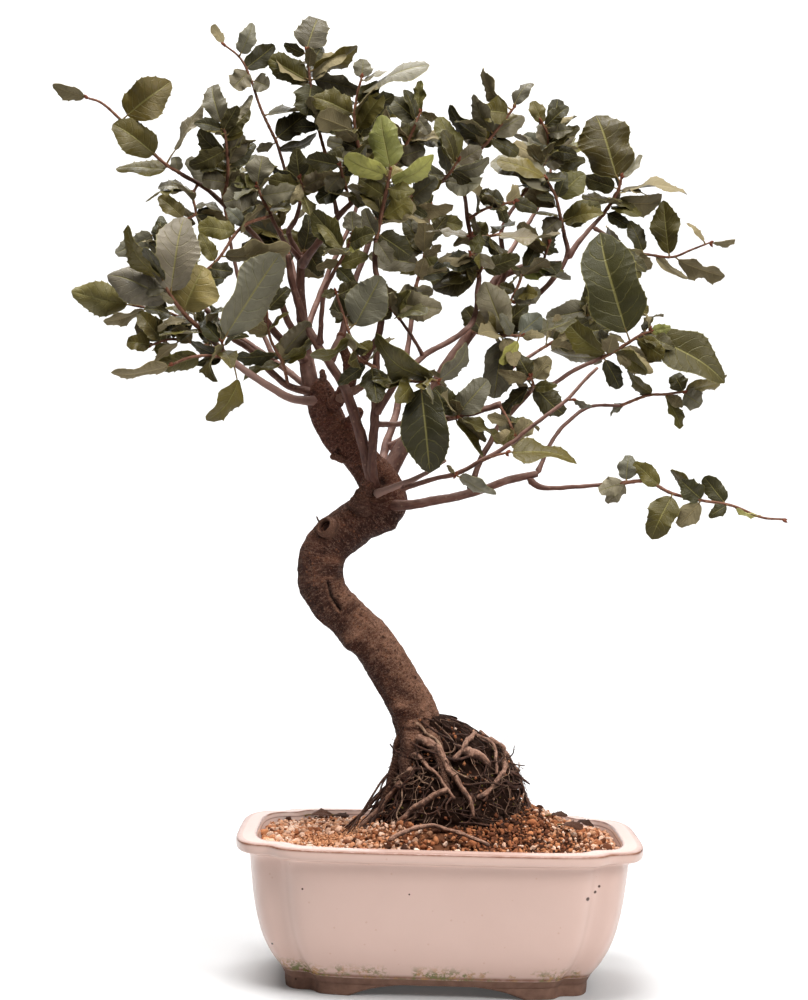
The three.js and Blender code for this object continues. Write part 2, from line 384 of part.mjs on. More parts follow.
      [102, 459, 88, 461, 9, 'dark']] },
  right_low: { from: 1.1, to: 0.8, at: [[109, 368, 14], [126, 375, 14], [137, 376, 12], [149, 378, 10]],
    leaves: [[149, 378, 143, 389, 12, 'dark'], [149, 379, 178, 386, 10, 'olive'],
      [149, 377, 161, 370, 14, 'grey'], [137, 376, 150, 369, 7, 'pale'], [138, 375, 150, 355, 7, 'olive'],
      [112, 369, 101, 363, 5, 'grey'], [130, 376, 112, 390, 7, 'olive']] },
  right_spur: { from: 0.9, to: 0.7, at: [[75.5, 371, -36], [79, 371, -38]],
    leaves: [[79, 371, 90, 365, 4, 'grey']] },
  right_stub: { from: 0.9, to: 0.7, at: [[57, 457, 27], [59, 465, 22], [61, 471, 20]],
    leaves: [[60, 468, 67, 465, 4, 'dark'], [58, 460, 72, 449, 5, 'olive']] },
  right_low_tip: { from: 1.4, to: 0.7, at: [[98, 317, -12], [114, 319, -14], [128, 320, -15], [143, 313, -16],
    [161, 309, -18], [182, 306, -18], [201, 299, -18], [215, 298, -18]],
    leaves: [[113, 319, 97, 313, 11, 'grey'], [114, 318, 102, 305, 8, 'grey'],
      [114, 320, 115, 336, 12, 'grey'], [136, 317, 119, 332, 11, 'olive'],
      [144, 312, 131, 285, 18, 'olive'], [162, 308, 148, 292, 13, 'pale'], [163, 309, 149, 321, 14, 'dark'],
      [178, 307, 164, 324, 13, 'dark'], [160, 310, 143, 328, 8, 'olive'], [179, 306, 168, 299, 8, 'dark'],
      [184, 305, 201, 300, 4, 'young']] },
};

// Shoots on the far side, filled by rule: twig and count of leaves
const BACK_SHOOTS = {
  back_left: { from: 1.3, to: 0.8, at: [[-104, 455, 70], [-112, 476, 84], [-122, 498, 92]], count: 6 },
  back_middle: { from: 1.3, to: 0.8, at: [[-24, 440, 86], [-18, 466, 100], [-16, 492, 108]], count: 7 },
  back_right: { from: 1.1, to: 0.8, at: [[56, 402, 92], [80, 418, 104], [98, 436, 110]], count: 6 },
  back_top: { from: 1.0, to: 0.8, at: [[-58, 512, 90], [-56, 534, 94], [-50, 552, 92]], count: 6 },
  back_right_top: { from: 1.0, to: 0.8, at: [[60, 514, 78], [62, 530, 84], [60, 542, 86]], count: 5 },
  back_left_low: { from: 1.1, to: 0.8, at: [[-170, 434, 66], [-184, 450, 74], [-192, 470, 78]], count: 5 },
  back_left_top: { from: 0.9, to: 0.7, at: [[-146, 480, 60], [-150, 504, 66], [-146, 526, 68]], count: 5 },
};

// Small seeded random numbers, so that the tree is the same each time
function seededRandom(seed) {
  let state = seed >>> 0;
  return () => {
    state = (Math.imul(state, 1664525) + 1013904223) >>> 0;
    return state / 4294967296;
  };
}

// A point read off the front view, moved along its line of sight to its depth
function seenPoint(x, z, depth) {
  const scale = (EYE_DISTANCE + depth) / EYE_DISTANCE;
  return new THREE.Vector3(EYE_X + (x - EYE_X) * scale, depth, EYE_HEIGHT + (z - EYE_HEIGHT) * scale);
}

// A row of a table with its depths spread
function spreadRow(row) {
  const at = row.at.map(([x, z, depth]) => {
    const near = Math.min(depth, FAR_DEPTH);
    return [x, z, near * NEAR_SPREAD + (depth - near) * FAR_SPREAD];
  });
  return { ...row, at };
}

function solidFromTriangles(points, triangles) {
  const geometry = new THREE.BufferGeometry();
  const positions = triangles.flatMap((corner) => points[corner].toArray());
  geometry.setAttribute('position', new THREE.Float32BufferAttribute(positions, 3));
  const merged = mergeVertices(geometry, 1e-4);
  return Manifold.ofMesh(new SolidMesh({
    numProp: 3,
    vertProperties: new Float32Array(merged.attributes.position.array),
    triVerts: new Uint32Array(merged.index.array),
  }));
}

// A closed body through rings of points, each end filled by a fan from the ring's middle
function loft(rings) {
  const count = rings[0].length;
  const points = rings.flat();
  const triangles = [];
  for (let ring = 0; ring + 1 < rings.length; ring += 1) {
    for (let i = 0; i < count; i += 1) {
      const a = ring * count + i;
      const b = ring * count + (i + 1) % count;
      triangles.push(a, b, b + count, a, b + count, a + count);
    }
  }
  const endFan = (ring, facesForward) => {
    const middle = ring.reduce((sum, p) => sum.add(p), new THREE.Vector3()).divideScalar(count);
    points.push(middle);
    const start = rings.indexOf(ring) * count;
    for (let i = 0; i < count; i += 1) {
      const pair = [start + i, start + (i + 1) % count];
      triangles.push(points.length - 1, ...(facesForward ? pair : pair.reverse()));
    }
  };
  endFan(rings[0], false);
  endFan(rings[rings.length - 1], true);
  return solidFromTriangles(points, triangles);
}

// A tapered round limb along a smooth path
function tube(path, radii, sides) {
  const rings = [];
  const tangents = path.map((point, i) => {
    const before = path[Math.max(i - 1, 0)];
    const after = path[Math.min(i + 1, path.length - 1)];
    return after.clone().sub(before).normalize();
  });
  let across = new THREE.Vector3(0, 1, 0).cross(tangents[0]);
  if (across.lengthSq() < 0.01) across = new THREE.Vector3(1, 0, 0).cross(tangents[0]);
  path.forEach((point, i) => {
    across.addScaledVector(tangents[i], -across.dot(tangents[i])).normalize();
    const up = tangents[i].clone().cross(across);
    const ring = [];
    for (let k = 0; k < sides; k += 1) {
      const angle = (2 * Math.PI * k) / sides;
      ring.push(point.clone()
        .addScaledVector(across, radii[i] * Math.cos(angle))
        .addScaledVector(up, radii[i] * Math.sin(angle)));
    }
    rings.push(ring);
  });
  return loft(rings);
}

// Thick limbs have more sides than thin ones
function limbSides(radius) {
  if (radius > 3.5) return 6;
  return radius > 2.3 ? 4 : 3;
}

// A limb or a twig, from its row in the tables
function limb(row, sides, growth = 0) {
  const path = row.at.map(([x, z, depth]) => seenPoint(x, z, depth));
  const radii = path.map((_, i) => row.from + ((row.to - row.from) * i) / (path.length - 1) + growth);
  return tube(path, radii, sides);
}

function box(low, high) {
  const points = [];
  for (const z of [low.z, high.z]) {
    points.push([low.x, low.y, z], [high.x, low.y, z], [high.x, high.y, z], [low.x, high.y, z]);
  }
  const faces = [[0, 3, 2, 1], [4, 5, 6, 7], [0, 1, 5, 4], [1, 2, 6, 5], [2, 3, 7, 6], [3, 0, 4, 7]];
  const triangles = faces.flatMap(([a, b, c, d]) => [a, b, c, a, c, d]);
  return solidFromTriangles(points.map((p) => new THREE.Vector3(...p)), triangles);
}

function largestPart(solid) {
  return solid.decompose().reduce((best, piece) => (piece.volume() > best.volume() ? piece : best));
}

// The pot's outline at an inset from the rim: a superellipse with a soft notch at each corner
function potPoint(angle, inset, z) {
  const halfLength = POT_LENGTH / 2 - inset;
  const halfWidth = POT_WIDTH / 2 - inset;
  const cos = Math.cos(angle);
  const sin = Math.sin(angle);
  const power = 2 / POT_SQUARENESS;
  const toCorner = (((angle * 180) / Math.PI) % 90) - 45;
  const notch = POT_NOTCH_DEPTH * Math.exp(-((toCorner / POT_NOTCH_SPREAD) ** 2));
  return new THREE.Vector3(
    Math.sign(cos) * (halfLength * Math.abs(cos) ** power - notch),
    Math.sign(sin) * (halfWidth * Math.abs(sin) ** power - notch),
    z,
  );
}

function potRing(inset, z) {
  const ring = [];
  for (let i = 0; i < POT_OUTLINE_POINTS; i += 1) {
    ring.push(potPoint((2 * Math.PI * i) / POT_OUTLINE_POINTS, inset, z));
  }
  return ring;
}

// Height and inset of the wall, from the foot up the outside and over the rim
const OUTSIDE = [[FOOT_HEIGHT, WALL_FOOT_INSET], [12.4, 29], [19.7, 23.1], [34, 16.2], [53, 11.8],
  [74, 9.3], [83.5, 8.6], [86.2, 1], [87.4, 0], [92.4, 0.4]];
// and from the rim's inner edge down to the floor
const INSIDE = [[POT_HEIGHT, 12.2], [91.6, 13.2], [53, 18.3], [26, 25.5], [16.5, 32], [FLOOR_TOP, 37]];

function foot(quarter) {
  const corner = (quarter + 0.5) * (Math.PI / 2);
  const level = ([z, spread]) => {
    const outer = [];
    const inner = [];
    for (let i = -2; i <= 2; i += 1) {
      const angle = corner + (i * spread) / 2;
      outer.push(potPoint(angle, FOOT_INSET, z));
      inner.push(potPoint(angle, WALL_FOOT_INSET + FOOT_BAND, z));
    }
    return [...outer, ...inner.reverse()];
  };
  return loft(FOOT_SPREADS.map(level));
}

function drainHole(x) {
  const path = [FOOT_HEIGHT - 2, FLOOR_TOP + 2].map((z) => new THREE.Vector3(x, 0, z));
  return tube(path, [DRAIN_RADIUS, DRAIN_RADIUS], DRAIN_SIDES);
}

function buildPot() {
  let pot = loft([...OUTSIDE, ...INSIDE].map(([z, inset]) => potRing(inset, z)));
  for (let quarter = 0; quarter < 4; quarter += 1) pot = pot.add(foot(quarter));
  for (const side of [-1, 1]) pot = pot.subtract(drainHole(side * DRAIN_OFFSET));
  return pot;
}

// A square of mesh over a drainage hole
function buildScreen(x) {
  const half = SCREEN_SIDE / 2;
  const bottom = FLOOR_TOP + CLEARANCE;
  const top = bottom + SCREEN_THICKNESS;
  let screen = box(new THREE.Vector3(x - half, -half, bottom), new THREE.Vector3(x + half, half, top));
  const pitch = (SCREEN_SIDE - SCREEN_BAR) / SCREEN_CELLS;
  for (let i = 0; i < SCREEN_CELLS; i += 1) {
    for (let j = 0; j < SCREEN_CELLS; j += 1) {
      const corner = SCREEN_BAR - half;
      const low = new THREE.Vector3(x + corner + i * pitch, corner + j * pitch, bottom - 1);
      const high = low.clone().add(new THREE.Vector3(pitch - SCREEN_BAR, pitch - SCREEN_BAR, 3));
      screen = screen.subtract(box(low, high));
    }
  }
  return screen;
}

function soilHeight(x, y) {
  const alongX = Math.exp(-((Math.abs(x - MOUND_CENTRE_X) / MOUND_REACH_X) ** MOUND_STEEPNESS_X));
  const alongY = Math.exp(-((Math.abs(y) / MOUND_REACH_Y) ** MOUND_STEEPNESS_Y));
  return SOIL_LEVEL + MOUND_HEIGHT * alongX * alongY;
}

// Soil and gravel: a rough field of heights, cut to the inside of the pot
function buildSoil(screens, grownTree) {
  const random = seededRandom(SEEDS.soil);
  const columns = Math.ceil(POT_LENGTH / GRAVEL_CELL);
  const rows = Math.ceil(POT_WIDTH / GRAVEL_CELL);
  const top = [];
  const bottom = [];
  for (let row = 0; row <= rows; row += 1) {
    for (let column = 0; column <= columns; column += 1) {
      const shift = (row % 2) / 2;
      const x = (column + shift - columns / 2 + (random() - 0.5) * GRAVEL_JITTER) * GRAVEL_CELL;
      const y = (row - rows / 2 + (random() - 0.5) * GRAVEL_JITTER) * GRAVEL_CELL;
      const z = soilHeight(x, y) + (random() - 0.5) * 2 * GRAVEL_RELIEF;
      top.push(new THREE.Vector3(x, y, z));
      bottom.push(new THREE.Vector3(x, y, FLOOR_TOP - 1));
    }
  }
  const width = columns + 1;
  const triangles = [];
  for (let row = 0; row < rows; row += 1) {
    for (let column = 0; column < columns; column += 1) {
      const a = row * width + column;
      const [b, c, d] = [a + 1, a + width, a + width + 1];
      const pair = row % 2 ? [[a, b, d], [a, d, c]] : [[a, b, c], [b, d, c]];
      pair.forEach((corners) => {
        triangles.push(...corners, ...corners.map((k) => k + top.length).reverse());
      });
    }
  }
  const rim = [];
  for (let column = 0; column < columns; column += 1) rim.push(column);
  for (let row = 0; row < rows; row += 1) rim.push(row * width + columns);
  for (let column = columns; column > 0; column -= 1) rim.push(rows * width + column);
  for (let row = rows; row > 0; row -= 1) rim.push(row * width);
  rim.forEach((from, i) => {
    const to = rim[(i + 1) % rim.length];
    triangles.push(from, from + top.length, to + top.length, from, to + top.length, to);
  });
  const field = solidFromTriangles([...top, ...bottom], triangles);
  const wallFit = INSIDE.map(([z, inset]) => potRing(inset + CLEARANCE, z + CLEARANCE)).reverse();
  wallFit.push(potRing(INSIDE[0][1] + 4, POT_HEIGHT + 2 * MOUND_HEIGHT));
  let soil = field.intersect(loft(wallFit)).subtract(grownTree);
  screens.forEach((screen) => {
    const { min, max } = screen.boundingBox();
    const low = new THREE.Vector3(...min).addScalar(-CLEARANCE).setZ(FLOOR_TOP - 2);
    soil = soil.subtract(box(low, new THREE.Vector3(...max).addScalar(CLEARANCE)));
  });
  return largestPart(soil);
}

// Centre and half sizes of the mat of roots at a height
function rootMassAt(z) {
  const last = ROOT_MASS.length - 1;
  let i = ROOT_MASS.findIndex((row) => row[0] > z) - 1;
  if (z >= ROOT_MASS[last][0]) i = last - 1;
  if (i < 0) i = 0;
  const [low, high] = [ROOT_MASS[i], ROOT_MASS[i + 1]];
  const part = THREE.MathUtils.clamp((z - low[0]) / (high[0] - low[0]), 0, 1);
  return low.slice(1).map((value, k) => value + (high[k + 1] - value) * part);
}

function rootMass(growth) {
  const random = seededRandom(SEEDS.rootMass);
  const rings = ROOT_MASS.map(([z, centre, halfLength, halfWidth]) => {
    const ring = [];
    for (let i = 0; i < ROOT_MASS_SIDES; i += 1) {
      const angle = (2 * Math.PI * i) / ROOT_MASS_SIDES;
      const rough = (random() - 0.5) * 2 * ROOT_MASS_ROUGHNESS + growth;
      ring.push(new THREE.Vector3(
        centre + (halfLength + rough) * Math.cos(angle),
        (halfWidth + rough) * Math.sin(angle),
        z,
      ));
    }
    return ring;
  });
  return loft(rings);
}

// The depth of the mat's front at a seen point
function rootMassFront(x, z) {
  const [centre, halfLength, halfWidth] = rootMassAt(z);
  const part = THREE.MathUtils.clamp((x - centre) / halfLength, -0.96, 0.96);
  return -halfWidth * Math.sqrt(1 - part * part);
}

function roundRoot(index, random) {
  const share = (1 - ROUND_ROOT_SPREAD) / 2 + (ROUND_ROOT_SPREAD * (index + 0.5)) / ROUND_ROOTS;
  let angle = Math.PI * share + (random() - 0.5) * ROUND_ROOT_START_CHANGE;
  const path = [];
  for (let step = 0; step < ROUND_ROOT_POINTS; step += 1) {
    const z = ROUND_ROOT_TOP - step * ROUND_ROOT_STEP;
    const [centre, halfLength, halfWidth] = rootMassAt(z);
    path.push(new THREE.Vector3(centre + halfLength * Math.cos(angle), halfWidth * Math.sin(angle), z));
    angle += (random() - 0.5) * ROUND_ROOT_WANDER;
  }
  return path;
}

function buildTree(growth) {
  const random = seededRandom(SEEDS.tree);
  const trunkPath = TRUNK.map(([x, z, depth]) => seenPoint(x, z, depth));
  const pieces = [tube(trunkPath, TRUNK.map((row) => row[3] + growth), TRUNK_SIDES), rootMass(growth)];
  LIMBS.forEach((row) => pieces.push(limb(spreadRow(row), limbSides(row.from), growth)));
  FRONT_ROOTS.forEach(({ from, to, at }) => {
    const over = at.map(([x, z]) => [x, z, rootMassFront(x, z)]);
    pieces.push(limb({ from, to, at: over }, ROOT_SIDES, growth));
  });
  pieces.push(limb(ARCH_ROOT, ROOT_SIDES, growth));
  for (let i = 0; i < ROUND_ROOTS; i += 1) {
    const path = roundRoot(i, random);
    const radii = path.map((_, k) => ROUND_ROOT_RADIUS - ROUND_ROOT_TAPER * k + growth);
    pieces.push(tube(path, radii, ROOT_SIDES));
  }
  return largestPart(Manifold.union(pieces).simplify(SMALLEST_DETAIL));
}

// One leaf: its frame, and the point at a share of its length and of its half width
function leafFrame([footX, footZ, tipX, tipZ, seenWidth], footDepth, tipShift, draws) {
  const seenLength = Math.hypot(tipX - footX, tipZ - footZ);
  const [lean, roll, bow, twist, side] = draws;
  const tipDepth = footDepth + (lean - LEAF_LEAN_MIDDLE) * LEAF_LEAN * seenLength + tipShift;
  const start = seenPoint(footX, footZ, footDepth);
  const end = seenPoint(tipX, tipZ, tipDepth);
  const along = end.clone().sub(start);
  const length = along.length();
  along.normalize();
  const width = Math.max(seenWidth, NATURAL_LEAF_SLENDERNESS * seenLength);
  const turnedAway = Math.acos(Math.min(1, seenWidth / width));
  const turn = (side < 0.5 ? -turnedAway : turnedAway) + (roll - 0.5) * LEAF_ROLL;
  const level = along.clone().cross(new THREE.Vector3(0, -1, 0)).normalize();
  const facing = level.clone().cross(along).normalize();
  const across = level.clone().multiplyScalar(Math.cos(turn)).addScaledVector(facing, Math.sin(turn));
  const normal = across.clone().cross(along).normalize();
  return { start, along, across, normal, length, width, seenLength,
    bow: (bow - LEAF_BOW_MIDDLE) * LEAF_BOW, twist: (twist - 0.5) * LEAF_TWIST };
}

function leafPoint(leaf, share, sideShare, lift) {
  const turn = leaf.twist * (share - LEAF_TWIST_START);
  const [cos, sin] = [Math.cos(turn), Math.sin(turn)];
  const across = leaf.across.clone().multiplyScalar(cos).addScaledVector(leaf.normal, sin);
  const normal = leaf.normal.clone().multiplyScalar(cos).addScaledVector(leaf.across, -sin);
  const reach = (sideShare * leaf.width) / 2;
  return leaf.start.clone()
    .addScaledVector(leaf.along, share * leaf.length)
    .addScaledVector(leaf.normal, leaf.bow * leaf.length * 4 * share * (1 - share))
    .addScaledVector(across, reach)
    .addScaledVector(normal, LEAF_FOLD * Math.abs(reach) + lift);
}

function leafSize(length) {
  if (length < SMALL_LEAF) return 'small';
  return length < LARGE_LEAF ? 'medium' : 'large';
}

// Triangles between two rows of points
function stitch(first, second) {
  const triangles = [];
  let [i, j] = [0, 0];
  while (i + 1 < first.length || j + 1 < second.length) {
    const next = (i + 1) / first.length <= (j + 1) / second.length;
    if (j + 1 >= second.length || (i + 1 < first.length && next)) {
      triangles.push([first[i], first[i + 1], second[j]]);
      i += 1;
    } else {
      triangles.push([first[i], second[j + 1], second[j]]);
      j += 1;
    }
  }
  return triangles;
}

// A thin closed blade that runs to a point at its root and at its tip: rows of points on both faces,
// split into triangles alike
function leafSolid(leaf, root) {
  const size = leafSize(leaf.seenLength);
  const half = LEAF_THICKNESS / 2;
  const stalk = leaf.start.distanceTo(root);
  const places = [...LEAF_ROWS[size]];
  if (stalk > PETIOLE_SHOWN) {
    const wide = (2 * PETIOLE_HALF_WIDTH) / leaf.width;
    places.unshift([0.02, [-wide, wide]]);
  }
  const points = [root, leafPoint(leaf, 1, 0, 0)];
  const faces = [-half, half].map((lift) => {
    const rows = [[0]];
    places.forEach(([share, sides]) => {
      rows.push(sides.map((side) => points.push(leafPoint(leaf, share, side, lift)) - 1));
    });
    rows.push([1]);
    return rows;
  });
  const [under, over] = faces;
  const triangles = [];
  for (let i = 0; i + 1 < over.length; i += 1) {
    stitch(over[i], over[i + 1]).forEach(([a, b, c]) => triangles.push(a, b, c));
    stitch(under[i], under[i + 1]).forEach(([a, b, c]) => triangles.push(c, b, a));
    const sides = [(row) => row[0], (row) => row[row.length - 1]];
    sides.forEach((end, k) => {
      const wall = [end(over[i]), end(over[i + 1]), end(under[i + 1]), end(under[i])];
      if (k === 1) wall.reverse();
      const [a, b, c, d] = wall;
      if (b !== c) triangles.push(a, b, c);
      if (a !== d) triangles.push(a, c, d);
    });
  }
  const solid = solidFromTriangles(points, triangles);
  return solid.volume() > 0 ? solid : solidFromTriangles(points, triangles.reverse());
}

// The point of a twig's middle line nearest to a leaf's foot, a little short of the twig's end
function rootOnTwig(twig, point) {
  const last = twig.length - 1;
  const back = twig[last - 1].clone().sub(twig[last]).setLength(LEAF_ROOT_DEPTH);
  const line = [...twig.slice(0, last), twig[last].clone().add(back)];
  let best = null;
  for (let i = 0; i < last; i += 1) {
    const part = new THREE.Line3(line[i], line[i + 1]);
    const candidate = part.closestPointToPoint(point, true, new THREE.Vector3());
    if (!best || candidate.distanceTo(point) < best.distanceTo(point)) best = candidate;
  }
  return best;
}

function boxesMeet(a, b, gap) {
  return [0, 1, 2].every((k) => a.min[k] - gap < b.max[k] && b.min[k] - gap < a.max[k]);
}

function isClear(solid, others) {
  const bounds = solid.boundingBox();
  return others.every((other) => !boxesMeet(bounds, other.bounds, CLEARANCE)
    || solid.minGap(other.solid, TOUCH_SEARCH) >= CLEARANCE);
}

// The depth of the twig where a leaf is seen to leave it
function twigDepth(row, x, z) {
  const flat = row.at.map(([px, pz, depth]) => new THREE.Vector3(px, pz, depth));
  let best = { gap: Infinity, depth: 0 };
  for (let i = 0; i + 1 < flat.length; i += 1) {
    const step = flat[i + 1].clone().sub(flat[i]);
    const away = new THREE.Vector2(x - flat[i].x, z - flat[i].y);
    const along = (away.x * step.x + away.y * step.y) / (step.x ** 2 + step.y ** 2);
    const share = THREE.MathUtils.clamp(along, 0, 1);
    const gap = Math.hypot(away.x - share * step.x, away.y - share * step.y);
    if (gap < best.gap) best = { gap, depth: flat[i].z + share * step.z };
  }
  return best.depth;
}

// Leaves of a far shoot: they leave the twig in turn, round it, and droop a little
function leavesByRule(row, random) {
  const leaves = [];
  for (let i = 0; i < row.count; i += 1) {
    const share = (i + 1) / row.count;
    const place = share * (row.at.length - 1);
    const k = Math.min(Math.floor(place), row.at.length - 2);
    const part = place - k;
    const x = row.at[k][0] + (row.at[k + 1][0] - row.at[k][0]) * part;
    const z = row.at[k][1] + (row.at[k + 1][1] - row.at[k][1]) * part;
    const angle = i * FAR_LEAF_TURN + random() * FAR_LEAF_TURN_CHANGE;
    const length = FAR_LEAF_LENGTH + FAR_LEAF_LENGTH_CHANGE * random();
    const tone = FAR_LEAF_TONES[i % FAR_LEAF_TONES.length];
    const tip = [x + length * Math.cos(angle), z + length * Math.sin(angle)];
    leaves.push([x, z, ...tip, length * NATURAL_LEAF_SLENDERNESS, tone]);
  }
  return leaves;
}

// A twig and its leaves. A blade that would touch another shoot, or cut through a blade of its own,
// is swung nearer to the viewer or further off, and is left out if nothing helps.
function buildShoot(row, stem, leaves, random, grownTree, others) {
  const twig = row.at.map(([x, z, depth]) => seenPoint(x, z, depth));
  const blades = [];
  leaves.forEach((entry) => {
    const draws = Array.from({ length: 5 }, random);
    const footDepth = twigDepth(row, entry[0], entry[1]);
    for (const tipShift of TIP_DEPTH_TRIES) {
      const leaf = leafFrame(entry, footDepth, tipShift, draws);
      const blade = leafSolid(leaf, rootOnTwig(twig, leaf.start));
      const cuts = blades.some((other) => blade.intersect(other).volume() > SHARED_VOLUME);
      if (!cuts && isClear(blade, others)) {
        blades.push(blade);
        break;
      }
    }
  });
  return largestPart(Manifold.union([stem, ...blades]).subtract(grownTree));
}

function meshOf({ name, solid, colour, roughness }) {
  const { vertProperties, triVerts } = solid.getMesh();
  const geometry = new THREE.BufferGeometry();
  geometry.setAttribute('position', new THREE.Float32BufferAttribute(vertProperties, 3));
  geometry.setIndex(Array.from(triVerts));
  geometry.computeVertexNormals();
  const material = new THREE.MeshStandardMaterial({ color: colour, roughness, metalness: 0 });
  const mesh = new THREE.Mesh(geometry, material);
  mesh.name = name;
  return mesh;
}

const tree = buildTree(0);
const grownTree = buildTree(CLEARANCE);
const screens = {
  drainage_screen_left: buildScreen(-DRAIN_OFFSET),
  drainage_screen_right: buildScreen(DRAIN_OFFSET),
};

const soil = buildSoil(Object.values(screens), grownTree);

const pieces = [
  { name: 'pot', solid: buildPot(), colour: COLOURS.glaze, roughness: 0.28 },
  { name: 'soil', solid: soil, colour: COLOURS.gravel, roughness: 0.95 },
  { name: 'tree', solid: tree, colour: COLOURS.bark, roughness: 0.85 },
];
Object.entries(screens).forEach(([name, solid]) => {
  pieces.push({ name, solid, colour: COLOURS.screen, roughness: 0.6 });
});

const bounded = (solid) => ({ solid, bounds: solid.boundingBox() });
const random = seededRandom(SEEDS.leaves);
const shoots = Object.entries({ ...SHOOTS, ...BACK_SHOOTS }).map(([name, closeRow]) => {
  const row = spreadRow(closeRow);
  const stem = limb(row, TWIG_SIDES);
  return { name, row, stem, standing: bounded(stem) };
});
shoots.forEach((shoot) => {
  const { name, row, stem } = shoot;
  const leaves = row.leaves ?? leavesByRule(row, random);
  const others = shoots.filter((other) => other !== shoot).map((other) => other.standing);
  const solid = buildShoot(row, stem, leaves, random, grownTree, [bounded(grownTree), ...others]);
  shoot.standing = bounded(solid);
  pieces.push({ name: `shoot_${name}`, solid, colour: COLOURS[leaves[0][5]], roughness: 0.5 });
});

// The origin is the middle of the bottom of the whole object's box
const whole = new THREE.Box3();
pieces.forEach(({ solid }) => {
  const { min, max } = solid.boundingBox();
  whole.expandByPoint(new THREE.Vector3(...min));
  whole.expandByPoint(new THREE.Vector3(...max));
});
const origin = whole.getCenter(new THREE.Vector3()).setZ(whole.min.z);

const bonsai = new THREE.Group();
bonsai.name = 'cork_oak_bonsai';
bonsai.position.copy(origin).negate();
pieces.forEach((piece) => bonsai.add(meshOf(piece)));

export default bonsai;
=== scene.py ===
# The looks of a cork oak bonsai in its glazed pot. The tables are in millimetres, as read off the front
# view; everything in the scene is in metres.
import math

import bmesh
import bpy
import numpy as np
from mathutils import Matrix, Vector, noise


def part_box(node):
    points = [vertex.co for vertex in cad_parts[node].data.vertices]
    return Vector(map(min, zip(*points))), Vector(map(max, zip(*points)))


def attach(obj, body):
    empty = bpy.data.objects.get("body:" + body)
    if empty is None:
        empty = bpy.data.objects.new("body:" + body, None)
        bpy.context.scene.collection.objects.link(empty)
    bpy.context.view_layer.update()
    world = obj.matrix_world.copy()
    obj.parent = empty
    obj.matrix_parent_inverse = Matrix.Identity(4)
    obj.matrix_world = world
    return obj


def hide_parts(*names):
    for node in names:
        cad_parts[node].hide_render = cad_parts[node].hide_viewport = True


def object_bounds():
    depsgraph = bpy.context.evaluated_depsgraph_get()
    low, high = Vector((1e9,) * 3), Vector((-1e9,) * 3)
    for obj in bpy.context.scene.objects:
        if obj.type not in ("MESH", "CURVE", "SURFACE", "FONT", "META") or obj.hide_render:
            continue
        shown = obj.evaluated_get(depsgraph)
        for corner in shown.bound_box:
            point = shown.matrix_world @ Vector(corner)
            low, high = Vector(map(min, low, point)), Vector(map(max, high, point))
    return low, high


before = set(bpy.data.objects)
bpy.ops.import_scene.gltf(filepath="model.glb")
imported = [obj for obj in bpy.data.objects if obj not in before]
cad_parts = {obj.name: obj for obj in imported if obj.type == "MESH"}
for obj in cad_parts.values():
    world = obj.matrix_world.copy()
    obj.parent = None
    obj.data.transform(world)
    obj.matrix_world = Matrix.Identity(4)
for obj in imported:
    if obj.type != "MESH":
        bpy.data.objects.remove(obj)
cad_low, cad_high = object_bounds()

MM = 0.001

# The middle of the pot's underside, where the tables have x and y zero
pot_low, pot_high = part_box("pot")
POT_MIDDLE = np.array([(pot_low[0] + pot_high[0]) / 2, (pot_low[1] + pot_high[1]) / 2, pot_low[2]])

# The eye that the tables were read from, in front of the pot's middle
EYE_DISTANCE = 1469
EYE_HEIGHT = 304
EYE_X = -27.8
EYE_ROLL = math.radians(1.5)
LENS = 82.6
SENSOR = 36
SEEN_NEAREST, SEEN_FARTHEST = 0.01, 20

# The crown's spread in depth
NEAR_SPREAD = 1.7
FAR_SPREAD = 0.8
FAR_DEPTH = 40

# The solid model's own random numbers
RANDOM_FACTOR, RANDOM_STEP, RANDOM_RANGE = 1664525, 1013904223, 4294967296
LEAF_SEED = 2026
TREE_SEED = 19
SOIL_SEED = 41

# Noise: how far a seed shifts it, and the first seed of each part's unevenness
NOISE_SHIFT = (17.3, 5.1, 9.7)
WRINKLE_NOISE, BARK_NOISE, SCAR_NOISE, LIMB_NOISE, DEAD_WOOD_NOISE = 2, 3, 55, 100, 200
CORE_NOISE, STUB_NOISE, THICK_ROOT_NOISE, ARCH_NOISE, ROUND_ROOT_NOISE, FLARE_NOISE = 11, 31, 40, 60, 70, 90
SOIL_NOISE = 21

# The trunk: x, z, depth and radius
TRUNK = [[-13, 157, 0, 15.2], [-22, 176, -1, 14.5], [-41, 206, -3, 13.6], [-56, 223, -3, 13.4],
    [-70, 235, -2, 13.6], [-78, 247, -1, 14.6], [-80, 258, 0, 14.7], [-79, 267, 1, 14.4],
    [-73, 277, 2, 14.6], [-65, 283.5, 2, 14.5], [-55, 291, 2, 14.3], [-44, 296.5, 1, 14.2],
    [-40, 303, 0, 14.4], [-42.5, 312, 0, 13.4], [-51.5, 324.5, 0, 11.4], [-60.5, 335, 0, 10.8],
    [-71, 344, 0, 11], [-77.5, 354, 0, 10.8], [-82, 366, 0, 9.6], [-82.5, 373, 0, 8.2],
    [-82.5, 378, 0, 5.4], [-82.5, 380.5, 0, 2]]

